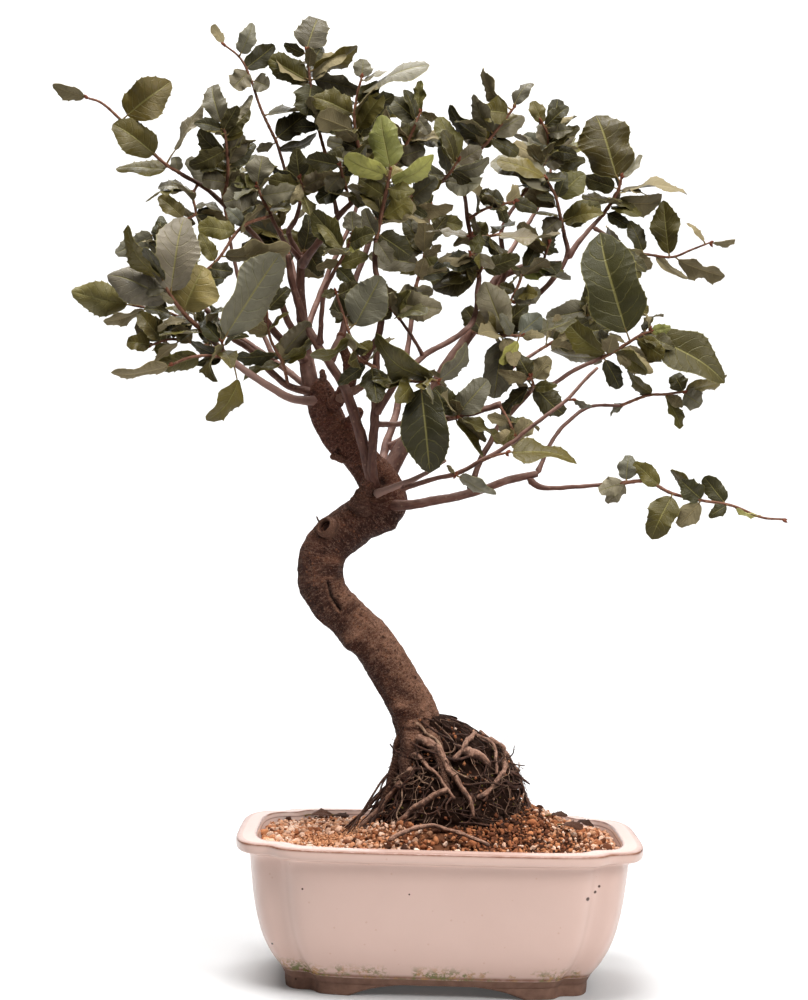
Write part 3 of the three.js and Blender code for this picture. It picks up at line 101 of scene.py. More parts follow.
# Branches: their radii at both ends, and points with x, z and depth
LIMBS = [
    {"from": 3.8, "to": 1.9, "at": [[-48, 306, -2], [-50, 319, -10], [-58, 349, -18], [-67, 373, -22],
        [-78, 391, -20], [-93, 413, -16], [-98, 426, -16], [-104, 445, -18], [-106, 459, -20]]},
    {"from": 3.2, "to": 1.5, "at": [[-46, 308, -3], [-49, 327, -15], [-48, 352, -20], [-48, 374, -24],
        [-48, 391, -26], [-47, 408, -28], [-44, 430, -30], [-50, 452, -31], [-50, 470, -32]]},
    {"from": 2.2, "to": 1.2, "at": [[-48, 358, -21], [-39, 372, -26], [-33, 381, -28], [-17, 397, -18],
        [11, 416, -8], [16, 440, -4], [15, 456, -3], [9, 480, -6], [6, 500, -10], [2, 514, -17]]},
    {"from": 1.7, "to": 2.1, "at": [[-48, 352, -20], [-28, 353, -10], [7, 359, -14], [33, 367, -16]]},
    {"from": 5.6, "to": 2.2, "at": [[-44, 300, 0], [-39, 318, 3], [-31, 336, 8], [-25, 346, 10],
        [-13, 368, 14], [-4, 389, 16], [14, 415, 20], [24, 433, 22], [27, 446, 24], [45, 455, 26],
        [69, 458, 28]]},
    {"from": 2.2, "to": 1.2, "at": [[24, 433, 22], [33, 452, 18], [30, 478, 12], [42, 500, 12]]},
    {"from": 1.3, "to": 0.9, "at": [[-18, 396, -18], [-23, 405, -24], [-33, 419, -30]]},
    {"from": 2.8, "to": 1.1, "pale": 0.6, "collar": 0.35, "at": [[-47, 307, -9], [-42, 309, -11],
        [-33, 312.5, -15], [-17, 320, -22], [-2, 330, -30]]},
    {"from": 1.6, "to": 1.0, "at": [[-30, 311, -20], [-9, 318, -28], [6, 322, -32], [20, 330, -36],
        [37, 340, -38], [49, 350, -38], [60, 359, -38], [75, 371, -36], [87, 385, -34], [94, 392, -33]]},
    {"from": 3.3, "to": 2.3, "at": [[-44, 301, 0], [-26, 301, -11], [1, 306, -12], [16, 310, -10],
        [38, 318, -8], [57, 323, -6]]},
    {"from": 1.8, "to": 1.4, "at": [[51, 320, -7], [58, 315, -8], [68, 314, -9], [98, 317, -12]]},
    {"from": 1.5, "to": 1.1, "at": [[57, 323, -6], [61, 333, -2], [65, 343, 2], [75, 356, 6], [90, 367, 10],
        [109, 368, 14]]},
    {"from": 2.0, "to": 1.3, "at": [[14, 310, -10], [20, 330, -7], [27, 343, -4], [32, 354, -2],
        [45, 368, 0], [55, 379, 2], [66, 381, 4], [79, 390, 6], [96, 398, 8]]},
    {"from": 2.4, "to": 1.4, "at": [[14, 415, 20], [40, 427, 24], [56, 439, 28], [72, 461, 30],
        [70, 478, 29]]},
    {"from": 2.0, "to": 1.3, "at": [[72, 461, 30], [82, 475, 32], [94, 489, 34]]},
    {"from": 1.3, "to": 1.0, "at": [[88, 482, 33], [97, 477, 34], [109, 467, 34]]},
    {"from": 2.7, "to": 1.2, "at": [[-98, 452, 4], [-88, 466, -10], [-75, 484, -14], [-62, 500, -17],
        [-62, 525, -20]]},
    {"from": 1.4, "to": 1.0, "at": [[-75, 484, -14], [-80, 505, -14], [-84, 524, -16]]},
    {"from": 1.6, "to": 1.0, "at": [[-62, 500, -17], [-38, 498, -16], [-10, 508, -18], [3, 516, -20],
        [12, 526, -22]]},
    {"from": 2.9, "to": 1.7, "pale": 0.4, "at": [[-82, 366, 0], [-101, 367, -14], [-117, 375, -20],
        [-134, 386, -24], [-144, 394, -26], [-155, 405, -28]]},
    {"from": 2.6, "to": 1.5, "at": [[-82, 370, 0], [-103, 375, -4], [-115, 384, -6], [-128, 397, -8],
        [-143, 407, -10], [-158, 423, -10]]},
    {"from": 5.0, "to": 2.8, "at": [[-82, 364, 0], [-89, 374, 2], [-93, 391, 4], [-94, 407, 5],
        [-97, 426, 5], [-98, 459, 4]]},
    {"from": 2.4, "to": 1.3, "at": [[-95, 404, 5], [-103, 413, 3], [-110, 429, 1], [-121, 462, -4],
        [-146, 488, -8], [-160, 500, -10], [-176, 509, -12]]},
    {"from": 1.9, "to": 1.0, "at": [[-98, 456, 4], [-106, 473, 0], [-102, 481, -5], [-99, 496, -9],
        [-107, 507, -12], [-115, 530, -14]]},
    {"from": 2.6, "to": 2.3, "at": [[-92, 390, 4], [-113, 409, -6], [-128, 429, -12]]},
    {"from": 1.8, "to": 1.2, "at": [[-84, 401, -18], [-84, 415, -22], [-82, 436, -26], [-76, 450, -28]]},
    {"from": 2.6, "to": 1.3, "at": [[-78, 391, -20], [-70, 410, -14], [-67, 427, -10], [-62, 446, -6],
        [-56, 463, -2], [-50, 485, 2], [-45, 510, 4]]},
    {"from": 1.6, "to": 1.1, "at": [[-98, 456, 4], [-111, 471, -11], [-119, 487, -16]]},
    {"from": 4.4, "to": 3.2, "stub": True, "at": [[-68, 345, 0], [-57, 362, -8]]},
    {"from": 3.2, "to": 1.4, "at": [[-84, 364, 0], [-90, 390, 26], [-96, 425, 50], [-104, 455, 70]]},
    {"from": 3.4, "to": 1.4, "at": [[-44, 300, 2], [-42, 330, 28], [-34, 362, 50], [-28, 400, 70],
        [-24, 440, 86]]},
    {"from": 2.2, "to": 1.2, "at": [[-40, 337, 32], [-8, 356, 58], [24, 380, 78], [56, 402, 92]]},
    {"from": 2.0, "to": 1.1, "at": [[-93, 412, 39], [-80, 448, 68], [-66, 482, 84], [-58, 512, 90]]},
    {"from": 1.9, "to": 1.1, "at": [[26, 444, 23], [38, 468, 50], [52, 492, 70], [60, 514, 78]]},
    {"from": 2.4, "to": 1.2, "at": [[-84, 369, 0], [-112, 390, 30], [-142, 410, 52], [-170, 434, 66]]},
    {"from": 1.7, "to": 1.0, "at": [[-112, 390, 30], [-136, 440, 54], [-146, 480, 60]]},
]

# Stumps, spurs and swellings in the trunk's own bark, with how far they are bleached
DEAD_WOOD = [
    {"from": 5.0, "to": 2.6, "bleach": 0, "at": [[-77, 362, -6], [-69, 371, -14], [-64.5, 380, -20],
        [-66, 392, -23], [-71, 403, -24], [-70, 411, -24]]},
    {"from": 3.2, "to": 1.8, "bleach": 0, "at": [[-65, 384, -20], [-58, 391, -26], [-52, 399, -34],
        [-47, 408, -44]]},
    {"from": 3.0, "to": 1.9, "bleach": 0.6, "at": [[-72, 366, -12], [-67, 371, -18], [-61, 373.6, -23],
        [-55, 378, -25], [-53.6, 384, -25]]},
    {"from": 2.9, "to": 1.8, "bleach": 0.3, "at": [[-82, 374, -2], [-81.5, 381, -4], [-82.5, 386.5, -5]]},
    {"from": 2.2, "to": 2.5, "bleach": 0.2, "at": [[-66, 328, -6], [-71, 330, -8], [-76, 330.5, -9]]},
    {"from": 0.9, "to": 0.4, "bleach": 0, "at": [[-79, 286, -6], [-82, 289, -7], [-83.5, 292.5, -7]]},
    {"from": 8.0, "to": 4.2, "bleach": 0.1, "at": [[-56, 293, -7], [-53.5, 302, -10], [-51, 310, -12],
        [-50, 319, -16]]},
]

# The mat of roots: height, then its centre and half sizes along and across
ROOT_MASS = [[52, 8, 28, 24], [74, 8, 42, 36], [92, 7, 52, 42], [104, 9, 50, 41], [116, 11, 43, 38],
    [128, 11.5, 40, 34], [141, 8, 34, 29], [151, 4, 30, 24], [159, -4, 22, 18], [167, -12, 14, 14]]

# Roots on the front of the mat, seen: x and z. The first are the trunk's own bark.
ROOT_FLARE = [
    {"from": 13, "to": 4.4, "at": [[-15, 168], [-17, 155], [-19, 142], [-21, 130], [-22, 122]]},
    {"from": 5, "to": 2.2, "at": [[-21, 158], [-26, 146], [-29, 132], [-33, 118], [-38, 106]]},
    {"from": 5, "to": 2.2, "at": [[-9, 158], [-4, 150], [-1, 141], [2, 130], [4, 118]]},
]

FRONT_ROOTS = [
    {"from": 2.9, "to": 1.2, "at": [[-16, 153], [-3, 146], [2, 139], [5, 132], [10, 127], [19, 113],
        [22, 102]]},
    {"from": 1.9, "to": 1.5, "at": [[8, 138], [12, 144], [17, 151], [22, 156]]},
    {"from": 2.9, "to": 2.8, "at": [[14, 146], [19, 143], [26, 140], [32, 135]]},
    {"from": 1.8, "to": 1.6, "at": [[30, 153], [36, 150], [40, 146], [41, 139], [40, 132], [36, 125],
        [31, 119], [24, 114]]},
    {"from": 1.3, "to": 1.2, "at": [[22, 155], [31, 151], [35, 145], [36, 138], [36, 130]]},
    {"from": 1.3, "to": 1.1, "at": [[-24, 138], [-17, 142], [-12, 138], [-4, 131], [2, 123], [10, 113]]},
    {"from": 2.2, "to": 1.9, "at": [[-18, 133], [-28, 119], [-38, 106], [-48, 95], [-54, 86]]},
    {"from": 1.9, "to": 1.7, "at": [[6, 120], [-4, 115], [-17, 106], [-26, 97], [-31, 88]]},
]

# A root that arches over the soil
ARCH_ROOT = {"from": 1.6, "to": 1.2, "at": [[-32, 86, -68], [-23, 91, -62], [-11, 95, -56], [1, 95, -54],
    [12, 92, -60], [24, 88, -66], [33, 84, -70]]}

# Shoots: a twig, and for each leaf its foot's x and z, its tip's x and z, its seen width and its tone
SHOOTS = {
    "left_branch": {"from": 1.2, "to": 0.7, "at": [[-176, 509, -12], [-190, 518, -14], [-216, 543, -16],
        [-228, 553, -16], [-237, 556, -16]],
        "leaves": [[-238, 556, -260, 562, 7, "pale"], [-213, 544, -184, 568, 25, "olive"],
        [-192, 520, -219, 541, 21, "olive"], [-184, 512, -218, 515, 10, "olive"],
        [-181, 522, -163, 557, 10, "grey"], [-178, 510, -180, 520, 8, "grey"]]},
    "upper_left": {"from": 1.0, "to": 0.6, "at": [[-115, 530, -14], [-126, 552, -16], [-133, 571, -18],
        [-140, 584, -18], [-150, 592, -18]],
        "leaves": [[-151, 593, -158, 605, 6, "pale"], [-140, 586, -132, 606, 11, "grey"],
        [-134, 576, -144, 565, 14, "grey"], [-131, 570, -121, 566, 12, "grey"],
        [-137, 577, -118, 593, 13, "dark"], [-123, 548, -93, 554, 8, "dark"],
        [-116, 533, -97, 550, 15, "dark"], [-115, 526, -88, 532, 5, "dark"],
        [-117, 530, -128, 525, 5, "grey"]]},
    "left_crest": {"from": 1.1, "to": 0.8, "at": [[-149, 490, -8], [-146, 510, -16], [-148, 532, -20],
        [-150, 541, -20]],
        "leaves": [[-151, 541, -159, 567, 14, "grey"], [-149, 538, -131, 560, 9, "grey"],
        [-150, 537, -141, 553, 8, "dark"], [-150, 538, -167, 543, 9, "dark"],
        [-148, 530, -143, 545, 16, "olive"], [-147, 521, -167, 536, 11, "dark"],
        [-148, 525, -170, 513, 12, "dark"], [-146, 516, -138, 536, 14, "grey"],
        [-146, 514, -129, 531, 12, "dark"], [-147, 508, -162, 521, 12, "olive"],
        [-147, 504, -162, 506, 12, "grey"], [-147, 500, -132, 510, 10, "dark"]]},
    "crest": {"from": 1.1, "to": 0.7, "at": [[-84, 524, -16], [-90, 545, -18], [-94, 566, -20],
        [-96, 578, -20], [-98, 590, -20]],
        "leaves": [[-98, 590, -91, 613, 21, "dim"], [-98, 588, -112, 594, 6, "dark"],
        [-96, 580, -87, 594, 11, "dark"], [-96, 571, -124, 586, 16, "olive"],
        [-95, 577, -63, 590, 8, "olive"], [-94, 572, -62, 565, 12, "grey"],
        [-94, 570, -96, 549, 19, "dark"], [-91, 556, -66, 557, 10, "dark"],
        [-89, 541, -105, 541, 8, "dark"]]},
    "top_middle": {"from": 1.1, "to": 0.7, "at": [[-62, 525, -20], [-66, 545, -26], [-65, 560, -26],
        [-62, 574, -26]],
        "leaves": [[-62, 573, -61, 586, 12, "grey"], [-61, 571, -46, 578, 4, "grey"],
        [-66, 550, -92, 562, 18, "olive"], [-65, 552, -41, 563, 9, "dark"], [-63, 562, -20, 585, 7, "grey"],
        [-65, 540, -91, 544, 12, "dark"], [-63, 535, -56, 548, 9, "dark"], [-63, 528, -73, 532, 8, "dark"],
        [-62, 527, -44, 537, 9, "dark"]]},
    "top_right_middle": {"from": 1.1, "to": 0.8, "at": [[-45, 510, 4], [-34, 528, 0], [-27, 544, -4],
        [-24, 552, -4]],
        "leaves": [[-26, 547, -43, 562, 16, "dark"], [-31, 532, -31, 550, 12, "olive"],
        [-31, 536, -49, 551, 6, "pale"], [-26, 550, -18, 539, 8, "grey"], [-25, 552, -26, 573, 8, "olive"],
        [-24, 552, -12, 549, 5, "pale"], [-37, 523, -20, 529, 13, "grey"],
        [-40, 518, -52, 526, 10, "dark"]]},
    "young_middle": {"from": 1.4, "to": 0.9, "at": [[-50, 470, -32], [-47, 487, -35], [-44, 503, -38],
        [-42, 515, -40]],
        "leaves": [[-42, 515, -50, 549, 19, "young"], [-43, 511, -72, 521, 12, "young"],
        [-43, 507, -13, 522, 8, "young"], [-45, 498, -62, 509, 13, "olive"],
        [-47, 487, -60, 503, 10, "olive"], [-46, 484, -29, 497, 16, "olive"],
        [-48, 480, -17, 486, 8, "pale"], [-49, 474, -27, 460, 15, "dark"], [-50, 472, -58, 490, 9, "grey"],
        [-50, 470, -40, 455, 10, "grey"]]},
    "middle_left": {"from": 1.1, "to": 0.8, "at": [[-67, 494, -16], [-72, 508, -24], [-74, 517, -26]],
        "leaves": [[-74, 517, -96, 521, 12, "dark"], [-73, 512, -83, 500, 12, "grey"],
        [-71, 505, -89, 494, 12, "dark"], [-69, 500, -56, 493, 10, "dark"],
        [-73, 515, -57, 529, 10, "dark"]]},
    "left_inner": {"from": 1.0, "to": 0.7, "at": [[-100, 493, -9], [-98, 502, -18], [-100, 508, -22]],
        "leaves": [[-100, 508, -103, 527, 13, "dark"], [-100, 506, -121, 514, 9, "dark"],
        [-98, 502, -82, 511, 12, "grey"]]},
    "left_middle": {"from": 1.1, "to": 0.8, "at": [[-119, 487, -16], [-124, 495, -20], [-127, 503, -22]],
        "leaves": [[-125, 496, -101, 501, 12, "grey"], [-127, 503, -124, 522, 16, "grey"],
        [-126, 500, -148, 491, 18, "grey"], [-127, 502, -141, 506, 10, "olive"],
        [-121, 490, -134, 480, 10, "grey"]]},
    "left_hanging": {"from": 1.1, "to": 0.8, "at": [[-117, 484, -15], [-136, 476, -26], [-150, 456, -30],
        [-158, 448, -32]],
        "leaves": [[-139, 473, -164, 476, 13, "olive"], [-153, 453, -163, 471, 8, "olive"],
        [-156, 449, -141, 447, 10, "dark"], [-149, 457, -104, 461, 9, "pale"],
        [-134, 477, -146, 488, 9, "grey"]]},
    "left_large": {"from": 1.6, "to": 0.9, "at": [[-155, 405, -28], [-170, 418, -32], [-180, 430, -36],
        [-186, 441, -38]],
        "leaves": [[-172, 420, -160, 450, 30, "bright"], [-181, 431, -175, 482, 27, "silver"],
        [-180, 428, -221, 447, 25, "silver"], [-186, 441, -213, 472, 8, "olive"],
        [-185, 440, -198, 460, 6, "dark"]]},
    "left_low": {"from": 1.1, "to": 0.8, "at": [[-147, 397, -26], [-165, 401, -22], [-180, 403, -20],
        [-192, 399, -18]],
        "leaves": [[-192, 399, -208, 401, 12, "olive"], [-187, 401, -183, 411, 8, "olive"],
        [-190, 400, -180, 392, 8, "olive"], [-184, 403, -203, 413, 14, "grey"],
        [-178, 403, -180, 418, 7, "dark"], [-166, 401, -178, 412, 10, "pale"]]},
    "left_far": {"from": 1.0, "to": 0.8, "at": [[-143, 407, -10], [-160, 411, -14], [-182, 420, -15],
        [-204, 424, -14]],
        "leaves": [[-206, 424, -244, 432, 19, "bright"], [-196, 422, -222, 411, 4, "pale"],
        [-182, 420, -200, 438, 10, "grey"]]},
    "left_top_small": {"from": 1.0, "to": 0.7, "at": [[-165, 503, -10], [-168, 495, -14], [-166, 484, -17],
        [-172, 480, -18]],
        "leaves": [[-173, 480, -190, 494, 10, "olive"], [-166, 483, -152, 485, 9, "dark"],
        [-168, 497, -190, 503, 6, "grey"], [-167, 488, -149, 489, 5, "grey"]]},
    "left_drooping": {"from": 1.0, "to": 0.8, "at": [[-140, 391, -26], [-152, 393, -33], [-166, 392, -37],
        [-178, 387, -38]],
        "leaves": [[-179, 386, -216, 376, 8, "pale"], [-160, 392, -187, 384, 10, "olive"],
        [-148, 393, -168, 400, 8, "dark"], [-146, 392, -164, 389, 7, "dark"],
        [-135, 380, -152, 350, 12, "olive"]]},
    "left_front": {"from": 1.0, "to": 0.8, "at": [[-146, 396, -26], [-147, 402, -34]],
        "leaves": [[-147, 403, -113, 460, 20, "grey"], [-147, 402, -161, 416, 10, "dark"]]},
    "left_centre": {"from": 1.1, "to": 0.8, "at": [[-104, 376, -4], [-108, 390, -14], [-116, 405, -18],
        [-119, 424, -20]],
        "leaves": [[-117, 407, -134, 420, 11, "pale"], [-119, 423, -105, 438, 11, "dark"],
        [-119, 424, -132, 434, 10, "olive"], [-111, 395, -138, 391, 8, "dark"],
        [-109, 392, -87, 401, 5, "olive"], [-108, 389, -134, 384, 6, "olive"]]},
    "behind_fork": {"from": 1.0, "to": 0.8, "at": [[-98, 458, 4], [-94, 464, 10]],
        "leaves": [[-94, 464, -110, 471, 11, "olive"], [-94, 462, -84, 447, 12, "dark"]]},
    "centre_left": {"from": 1.1, "to": 0.8, "at": [[-76, 450, -28], [-70, 461, -33], [-65, 474, -36]],
        "leaves": [[-65, 474, -66, 488, 12, "grey"], [-71, 463, -91, 487, 15, "olive"],
        [-69, 464, -60, 469, 9, "young"], [-73, 456, -88, 451, 5, "pale"],
        [-75, 452, -63, 441, 9, "dark"]]},
    "centre_grey": {"from": 1.2, "to": 0.8, "at": [[-48, 388, -26], [-60, 395, -36], [-65, 408, -40],
        [-70, 422, -40], [-75, 436, -40]],
        "leaves": [[-63, 413, -46, 447, 24, "grey"], [-69, 420, -78, 423, 4, "grey"],
        [-60, 397, -51, 405, 8, "olive"], [-64, 407, -87, 391, 6, "olive"],
        [-74, 434, -60, 441, 10, "dark"], [-75, 436, -84, 433, 6, "dark"]]},
    "centre_wide": {"from": 1.1, "to": 0.8, "at": [[-33, 419, -30], [-38, 425, -33], [-42, 430, -34]],
        "leaves": [[-42, 431, -7, 427, 17, "grey"], [-41, 430, -13, 440, 10, "grey"],
        [-38, 425, -50, 420, 8, "dark"]]},
    "centre_low": {"from": 1.1, "to": 0.8, "at": [[-33, 381, -28], [-20, 380, -36], [-8, 381, -38]],
        "leaves": [[-19, 379, -11, 322, 29, "dark"], [-9, 382, -51, 402, 11, "olive"],
        [-24, 381, -50, 382, 8, "olive"], [-8, 381, 14, 402, 11, "grey"]]},
    "under_fork": {"from": 1.0, "to": 0.8, "at": [[-4, 357, -12], [5, 358, -21]],
        "leaves": [[5, 359, 24, 382, 17, "grey"], [4, 359, -10, 377, 16, "dark"],
        [6, 358, 36, 346, 8, "olive"], [3, 357, 21, 332, 7, "olive"]]},
    "low_right_leaf": {"from": 0.9, "to": 0.7, "at": [[21, 330.5, -36], [30, 334, -41], [37, 336, -42]],
        "leaves": [[38, 336, 82, 336, 15, "olive"]]},
    "low_curled": {"from": 0.9, "to": 0.7, "at": [[5, 321.5, -32], [5, 321, -37]],
        "leaves": [[6, 321, 30, 307, 7, "grey"], [4, 322, -1, 327, 3, "pale"]]},
    "right_inner": {"from": 1.1, "to": 0.8, "at": [[51, 375, 1], [53, 380, -8], [51, 385, -12]],
        "leaves": [[53, 379, 73, 361, 15, "dark"], [51, 379, 30, 361, 9, "dark"],
        [52, 384, 63, 398, 14, "pale"], [51, 385, 43, 398, 11, "dark"], [50, 383, 32, 386, 7, "pale"]]},
    "pale_cluster": {"from": 0.9, "to": 0.8, "at": [[32, 366, -16], [38, 356, -20], [42, 348, -21]],
        "leaves": [[38, 356, 24, 359, 7, "pale"], [42, 348, 53, 356, 12, "pale"],
        [41, 349, 30, 343, 9, "pale"]]},
    "centre_fan": {"from": 1.2, "to": 0.8, "at": [[13, 413, 19], [24, 411, 2], [34, 411, -10],
        [45, 411, -12]],
        "leaves": [[33, 410, 28, 370, 19, "grey"], [34, 412, 20, 445, 21, "grey"],
        [39, 411, 31, 425, 7, "grey"], [43, 412, 57, 425, 14, "grey"], [45, 410, 58, 413, 6, "pale"],
        [43, 408, 31, 393, 8, "young"], [20, 412, 8, 428, 13, "dark"], [26, 412, 30, 422, 8, "dark"],
        [45, 412, 78, 421, 6, "dark"]]},
    "right_upper_low": {"from": 1.1, "to": 0.8, "at": [[45, 455, 26], [42, 444, 14], [37, 433, 8]],
        "leaves": [[38, 433, 56, 440, 12, "grey"], [40, 440, 30, 443, 7, "dark"],
        [44, 449, 60, 455, 10, "young"], [45, 453, 54, 473, 10, "dark"]]},
    "middle_dark": {"from": 1.1, "to": 0.8, "at": [[15.4, 448, -3.5], [18, 456, -10], [11, 463, -14]],
        "leaves": [[17, 456, -14, 458, 11, "dark"], [16, 452, -8, 446, 8, "olive"],
        [15, 449, -13, 438, 15, "dark"], [12, 463, 18, 475, 9, "olive"], [12, 462, 26, 455, 8, "grey"]]},
    "middle_level": {"from": 1.0, "to": 0.8, "at": [[30.3, 476, 12], [20, 474, 0], [10, 474, -6]],
        "leaves": [[10, 474, -18, 479, 7, "grey"], [26, 475, 68, 476, 8, "grey"],
        [22, 475, 11, 482, 10, "olive"], [16, 474, 30, 463, 8, "dark"]]},
    "tan_leaf": {"from": 0.9, "to": 0.7, "at": [[-29, 501, -16.5], [-27, 492, -20]],
        "leaves": [[-26, 491, -1, 492, 8, "pale"], [-27, 492, -18, 486, 5, "dark"]]},
    "right_dark": {"from": 1.0, "to": 0.8, "at": [[8.8, 485, -7], [20, 492, -12], [38, 497, -14]],
        "leaves": [[32, 496, 15, 501, 11, "dark"], [37, 497, 53, 492, 9, "dark"],
        [28, 494, 33, 483, 7, "dark"]]},
    "right_grey": {"from": 1.3, "to": 0.8, "at": [[70, 478, 29], [67, 490, 18], [64, 501, 12],
        [58, 512, 8]],
        "leaves": [[68, 487, 57, 478, 12, "grey"], [68, 485, 93, 496, 15, "olive"],
        [65, 500, 82, 517, 18, "olive"], [62, 503, 23, 525, 18, "grey"], [58, 512, 26, 523, 12, "olive"]]},
    "right_crest": {"from": 1.0, "to": 0.7, "at": [[42, 500, 12], [52, 515, 18], [58, 526, 18],
        [58, 540, 14], [54, 548, 12]],
        "leaves": [[56, 522, 43, 541, 9, "grey"], [58, 531, 77, 528, 9, "dark"],
        [58, 537, 72, 539, 8, "dark"], [56, 521, 70, 529, 13, "grey"], [58, 533, 53, 547, 9, "grey"],
        [55, 547, 48, 562, 10, "olive"], [56, 545, 70, 559, 10, "dark"], [57, 544, 74, 554, 8, "pale"],
        [58, 541, 73, 544, 9, "grey"]]},
    "right_of_middle": {"from": 1.0, "to": 0.7, "at": [[12, 526, -22], [20, 535, -26], [28, 546, -28],
        [36, 557, -28]],
        "leaves": [[33, 553, 16, 555, 17, "olive"], [23, 539, 43, 552, 13, "grey"],
        [36, 558, 46, 575, 8, "grey"], [34, 556, 15, 581, 5, "pale"], [23, 540, 7, 562, 10, "grey"],
        [20, 536, -7, 555, 9, "dark"], [21, 537, 40, 529, 9, "dark"], [17, 532, 4, 539, 9, "grey"]]},
    "middle_upper": {"from": 1.0, "to": 0.8, "at": [[-10, 508, -18], [-4, 514, -26], [1, 522, -28]],
        "leaves": [[1, 521, -9, 541, 13, "dark"], [0, 522, -12, 550, 14, "olive"],
        [0, 520, 16, 531, 11, "grey"], [-3, 515, 22, 521, 8, "grey"], [-6, 512, -30, 513, 8, "olive"],
        [-8, 510, -25, 503, 8, "olive"], [-3, 515, 10, 507, 6, "dark"]]},
    "upper_right": {"from": 1.4, "to": 0.9, "at": [[94, 489, 34], [103, 503, 30], [106, 514, 28]],
        "leaves": [[104, 511, 90, 555, 34, "deep"], [106, 513, 119, 528, 7, "grey"],
        [104, 505, 148, 510, 8, "pale"], [102, 500, 134, 499, 10, "pale"], [99, 495, 118, 493, 7, "olive"],
        [103, 507, 79, 515, 11, "dark"], [100, 499, 81, 502, 8, "dark"], [97, 491, 111, 483, 9, "dark"]]},
    "right_tip": {"from": 1.0, "to": 0.6, "at": [[109, 467, 34], [126, 465, 32], [140, 464, 28],
        [152, 469, 26], [164, 474, 24]],
        "leaves": [[138, 464, 133, 500, 16, "olive"], [128, 465, 150, 450, 9, "pale"],
        [142, 463, 174, 453, 9, "pale"], [160, 474, 151, 488, 4, "pale"], [165, 474, 180, 474, 3, "pale"],
        [121, 466, 112, 487, 11, "dark"]]},
    "right_large": {"from": 1.3, "to": 0.8, "at": [[96, 398, 8], [108, 405, 6], [120, 413, 4],
        [127, 416, 3]],
        "leaves": [[113, 411, 93, 475, 38, "deep"], [127, 415, 177, 391, 27, "deep"],
        [127, 416, 140, 419, 7, "young"], [126, 416, 124, 428, 3, "pale"], [111, 408, 102, 416, 4, "pale"],
        [100, 400, 73, 420, 14, "olive"], [102, 402, 94, 416, 6, "grey"], [98, 399, 64, 401, 6, "olive"],
        [106, 403, 135, 398, 9, "pale"], [104, 402, 127, 390, 10, "olive"],
        [98, 398, 109, 379, 11, "dark"]]},
    "right_overlay": {"from": 0.9, "to": 0.8, "at": [[99, 475, 34], [104, 466, 24], [103, 456, 16]],
        "leaves": [[103, 456, 121, 453, 15, "olive"], [104, 464, 118, 462, 9, "dark"],
        [102, 459, 88, 461, 9, "dark"]]},
    "right_low": {"from": 1.1, "to": 0.8, "at": [[109, 368, 14], [126, 375, 14], [137, 376, 12],
        [149, 378, 10]],
        "leaves": [[149, 378, 143, 389, 12, "dark"], [149, 379, 178, 386, 10, "olive"],
        [149, 377, 161, 370, 14, "grey"], [137, 376, 150, 369, 7, "pale"], [138, 375, 150, 355, 7, "olive"],
        [112, 369, 101, 363, 5, "grey"], [130, 376, 112, 390, 7, "olive"]]},
    "right_spur": {"from": 0.9, "to": 0.7, "at": [[75.5, 371, -36], [79, 371, -38]],
        "leaves": [[79, 371, 90, 365, 4, "grey"]]},
    "right_stub": {"from": 0.9, "to": 0.7, "at": [[57, 457, 27], [59, 465, 22], [61, 471, 20]],
        "leaves": [[60, 468, 67, 465, 4, "dark"], [58, 460, 72, 449, 5, "olive"]]},
    "right_low_tip": {"from": 1.4, "to": 0.7, "at": [[98, 317, -12], [114, 319, -14], [128, 320, -15],
        [143, 313, -16], [161, 309, -18], [182, 306, -18], [201, 299, -18], [215, 298, -18]],
        "leaves": [[113, 319, 97, 313, 11, "grey"], [114, 318, 102, 305, 8, "grey"],
        [114, 320, 115, 336, 12, "grey"], [136, 317, 119, 332, 11, "olive"],
        [144, 312, 131, 285, 18, "olive"], [162, 308, 148, 292, 13, "pale"],
        [163, 309, 149, 321, 14, "dark"], [178, 307, 164, 324, 13, "dark"],
        [160, 310, 143, 328, 8, "olive"], [179, 306, 168, 299, 8, "dark"],
        [184, 305, 201, 300, 4, "young"]]},
}

# Shoots on the far side, with a number of leaves that follow a rule
BACK_SHOOTS = {
    "back_left": {"from": 1.3, "to": 0.8, "at": [[-104, 455, 70], [-112, 476, 84], [-122, 498, 92]],
        "count": 6},
    "back_middle": {"from": 1.3, "to": 0.8, "at": [[-24, 440, 86], [-18, 466, 100], [-16, 492, 108]],
        "count": 7},
    "back_right": {"from": 1.1, "to": 0.8, "at": [[56, 402, 92], [80, 418, 104], [98, 436, 110]],
        "count": 6},
    "back_top": {"from": 1.0, "to": 0.8, "at": [[-58, 512, 90], [-56, 534, 94], [-50, 552, 92]],
        "count": 6},
    "back_right_top": {"from": 1.0, "to": 0.8, "at": [[60, 514, 78], [62, 530, 84], [60, 542, 86]],
        "count": 5},
    "back_left_low": {"from": 1.1, "to": 0.8, "at": [[-170, 434, 66], [-184, 450, 74], [-192, 470, 78]],
        "count": 5},
    "back_left_top": {"from": 0.9, "to": 0.7, "at": [[-146, 480, 60], [-150, 504, 66], [-146, 526, 68]],
        "count": 5},
}


# Points and numbers

def placed(points):
    """Points of the tables' space, in the scene."""
    return np.asarray(points, float) * MM + POT_MIDDLE


def seeded_random(seed):
    """The same random numbers as in the solid model."""
    state = seed
    while True:
        state = (state * RANDOM_FACTOR + RANDOM_STEP) % RANDOM_RANGE
        yield state / RANDOM_RANGE


def pick(choices, random):
    return choices[int(random.uniform(0, len(choices)))]


def unit(vector):
    return vector / np.linalg.norm(vector, axis=-1, keepdims=True)


def ease(value, low, high):
    """0 below low, 1 above high and smooth between them."""
    share = np.clip((value - low) / (high - low), 0, 1)
    return share * share * (3 - 2 * share)


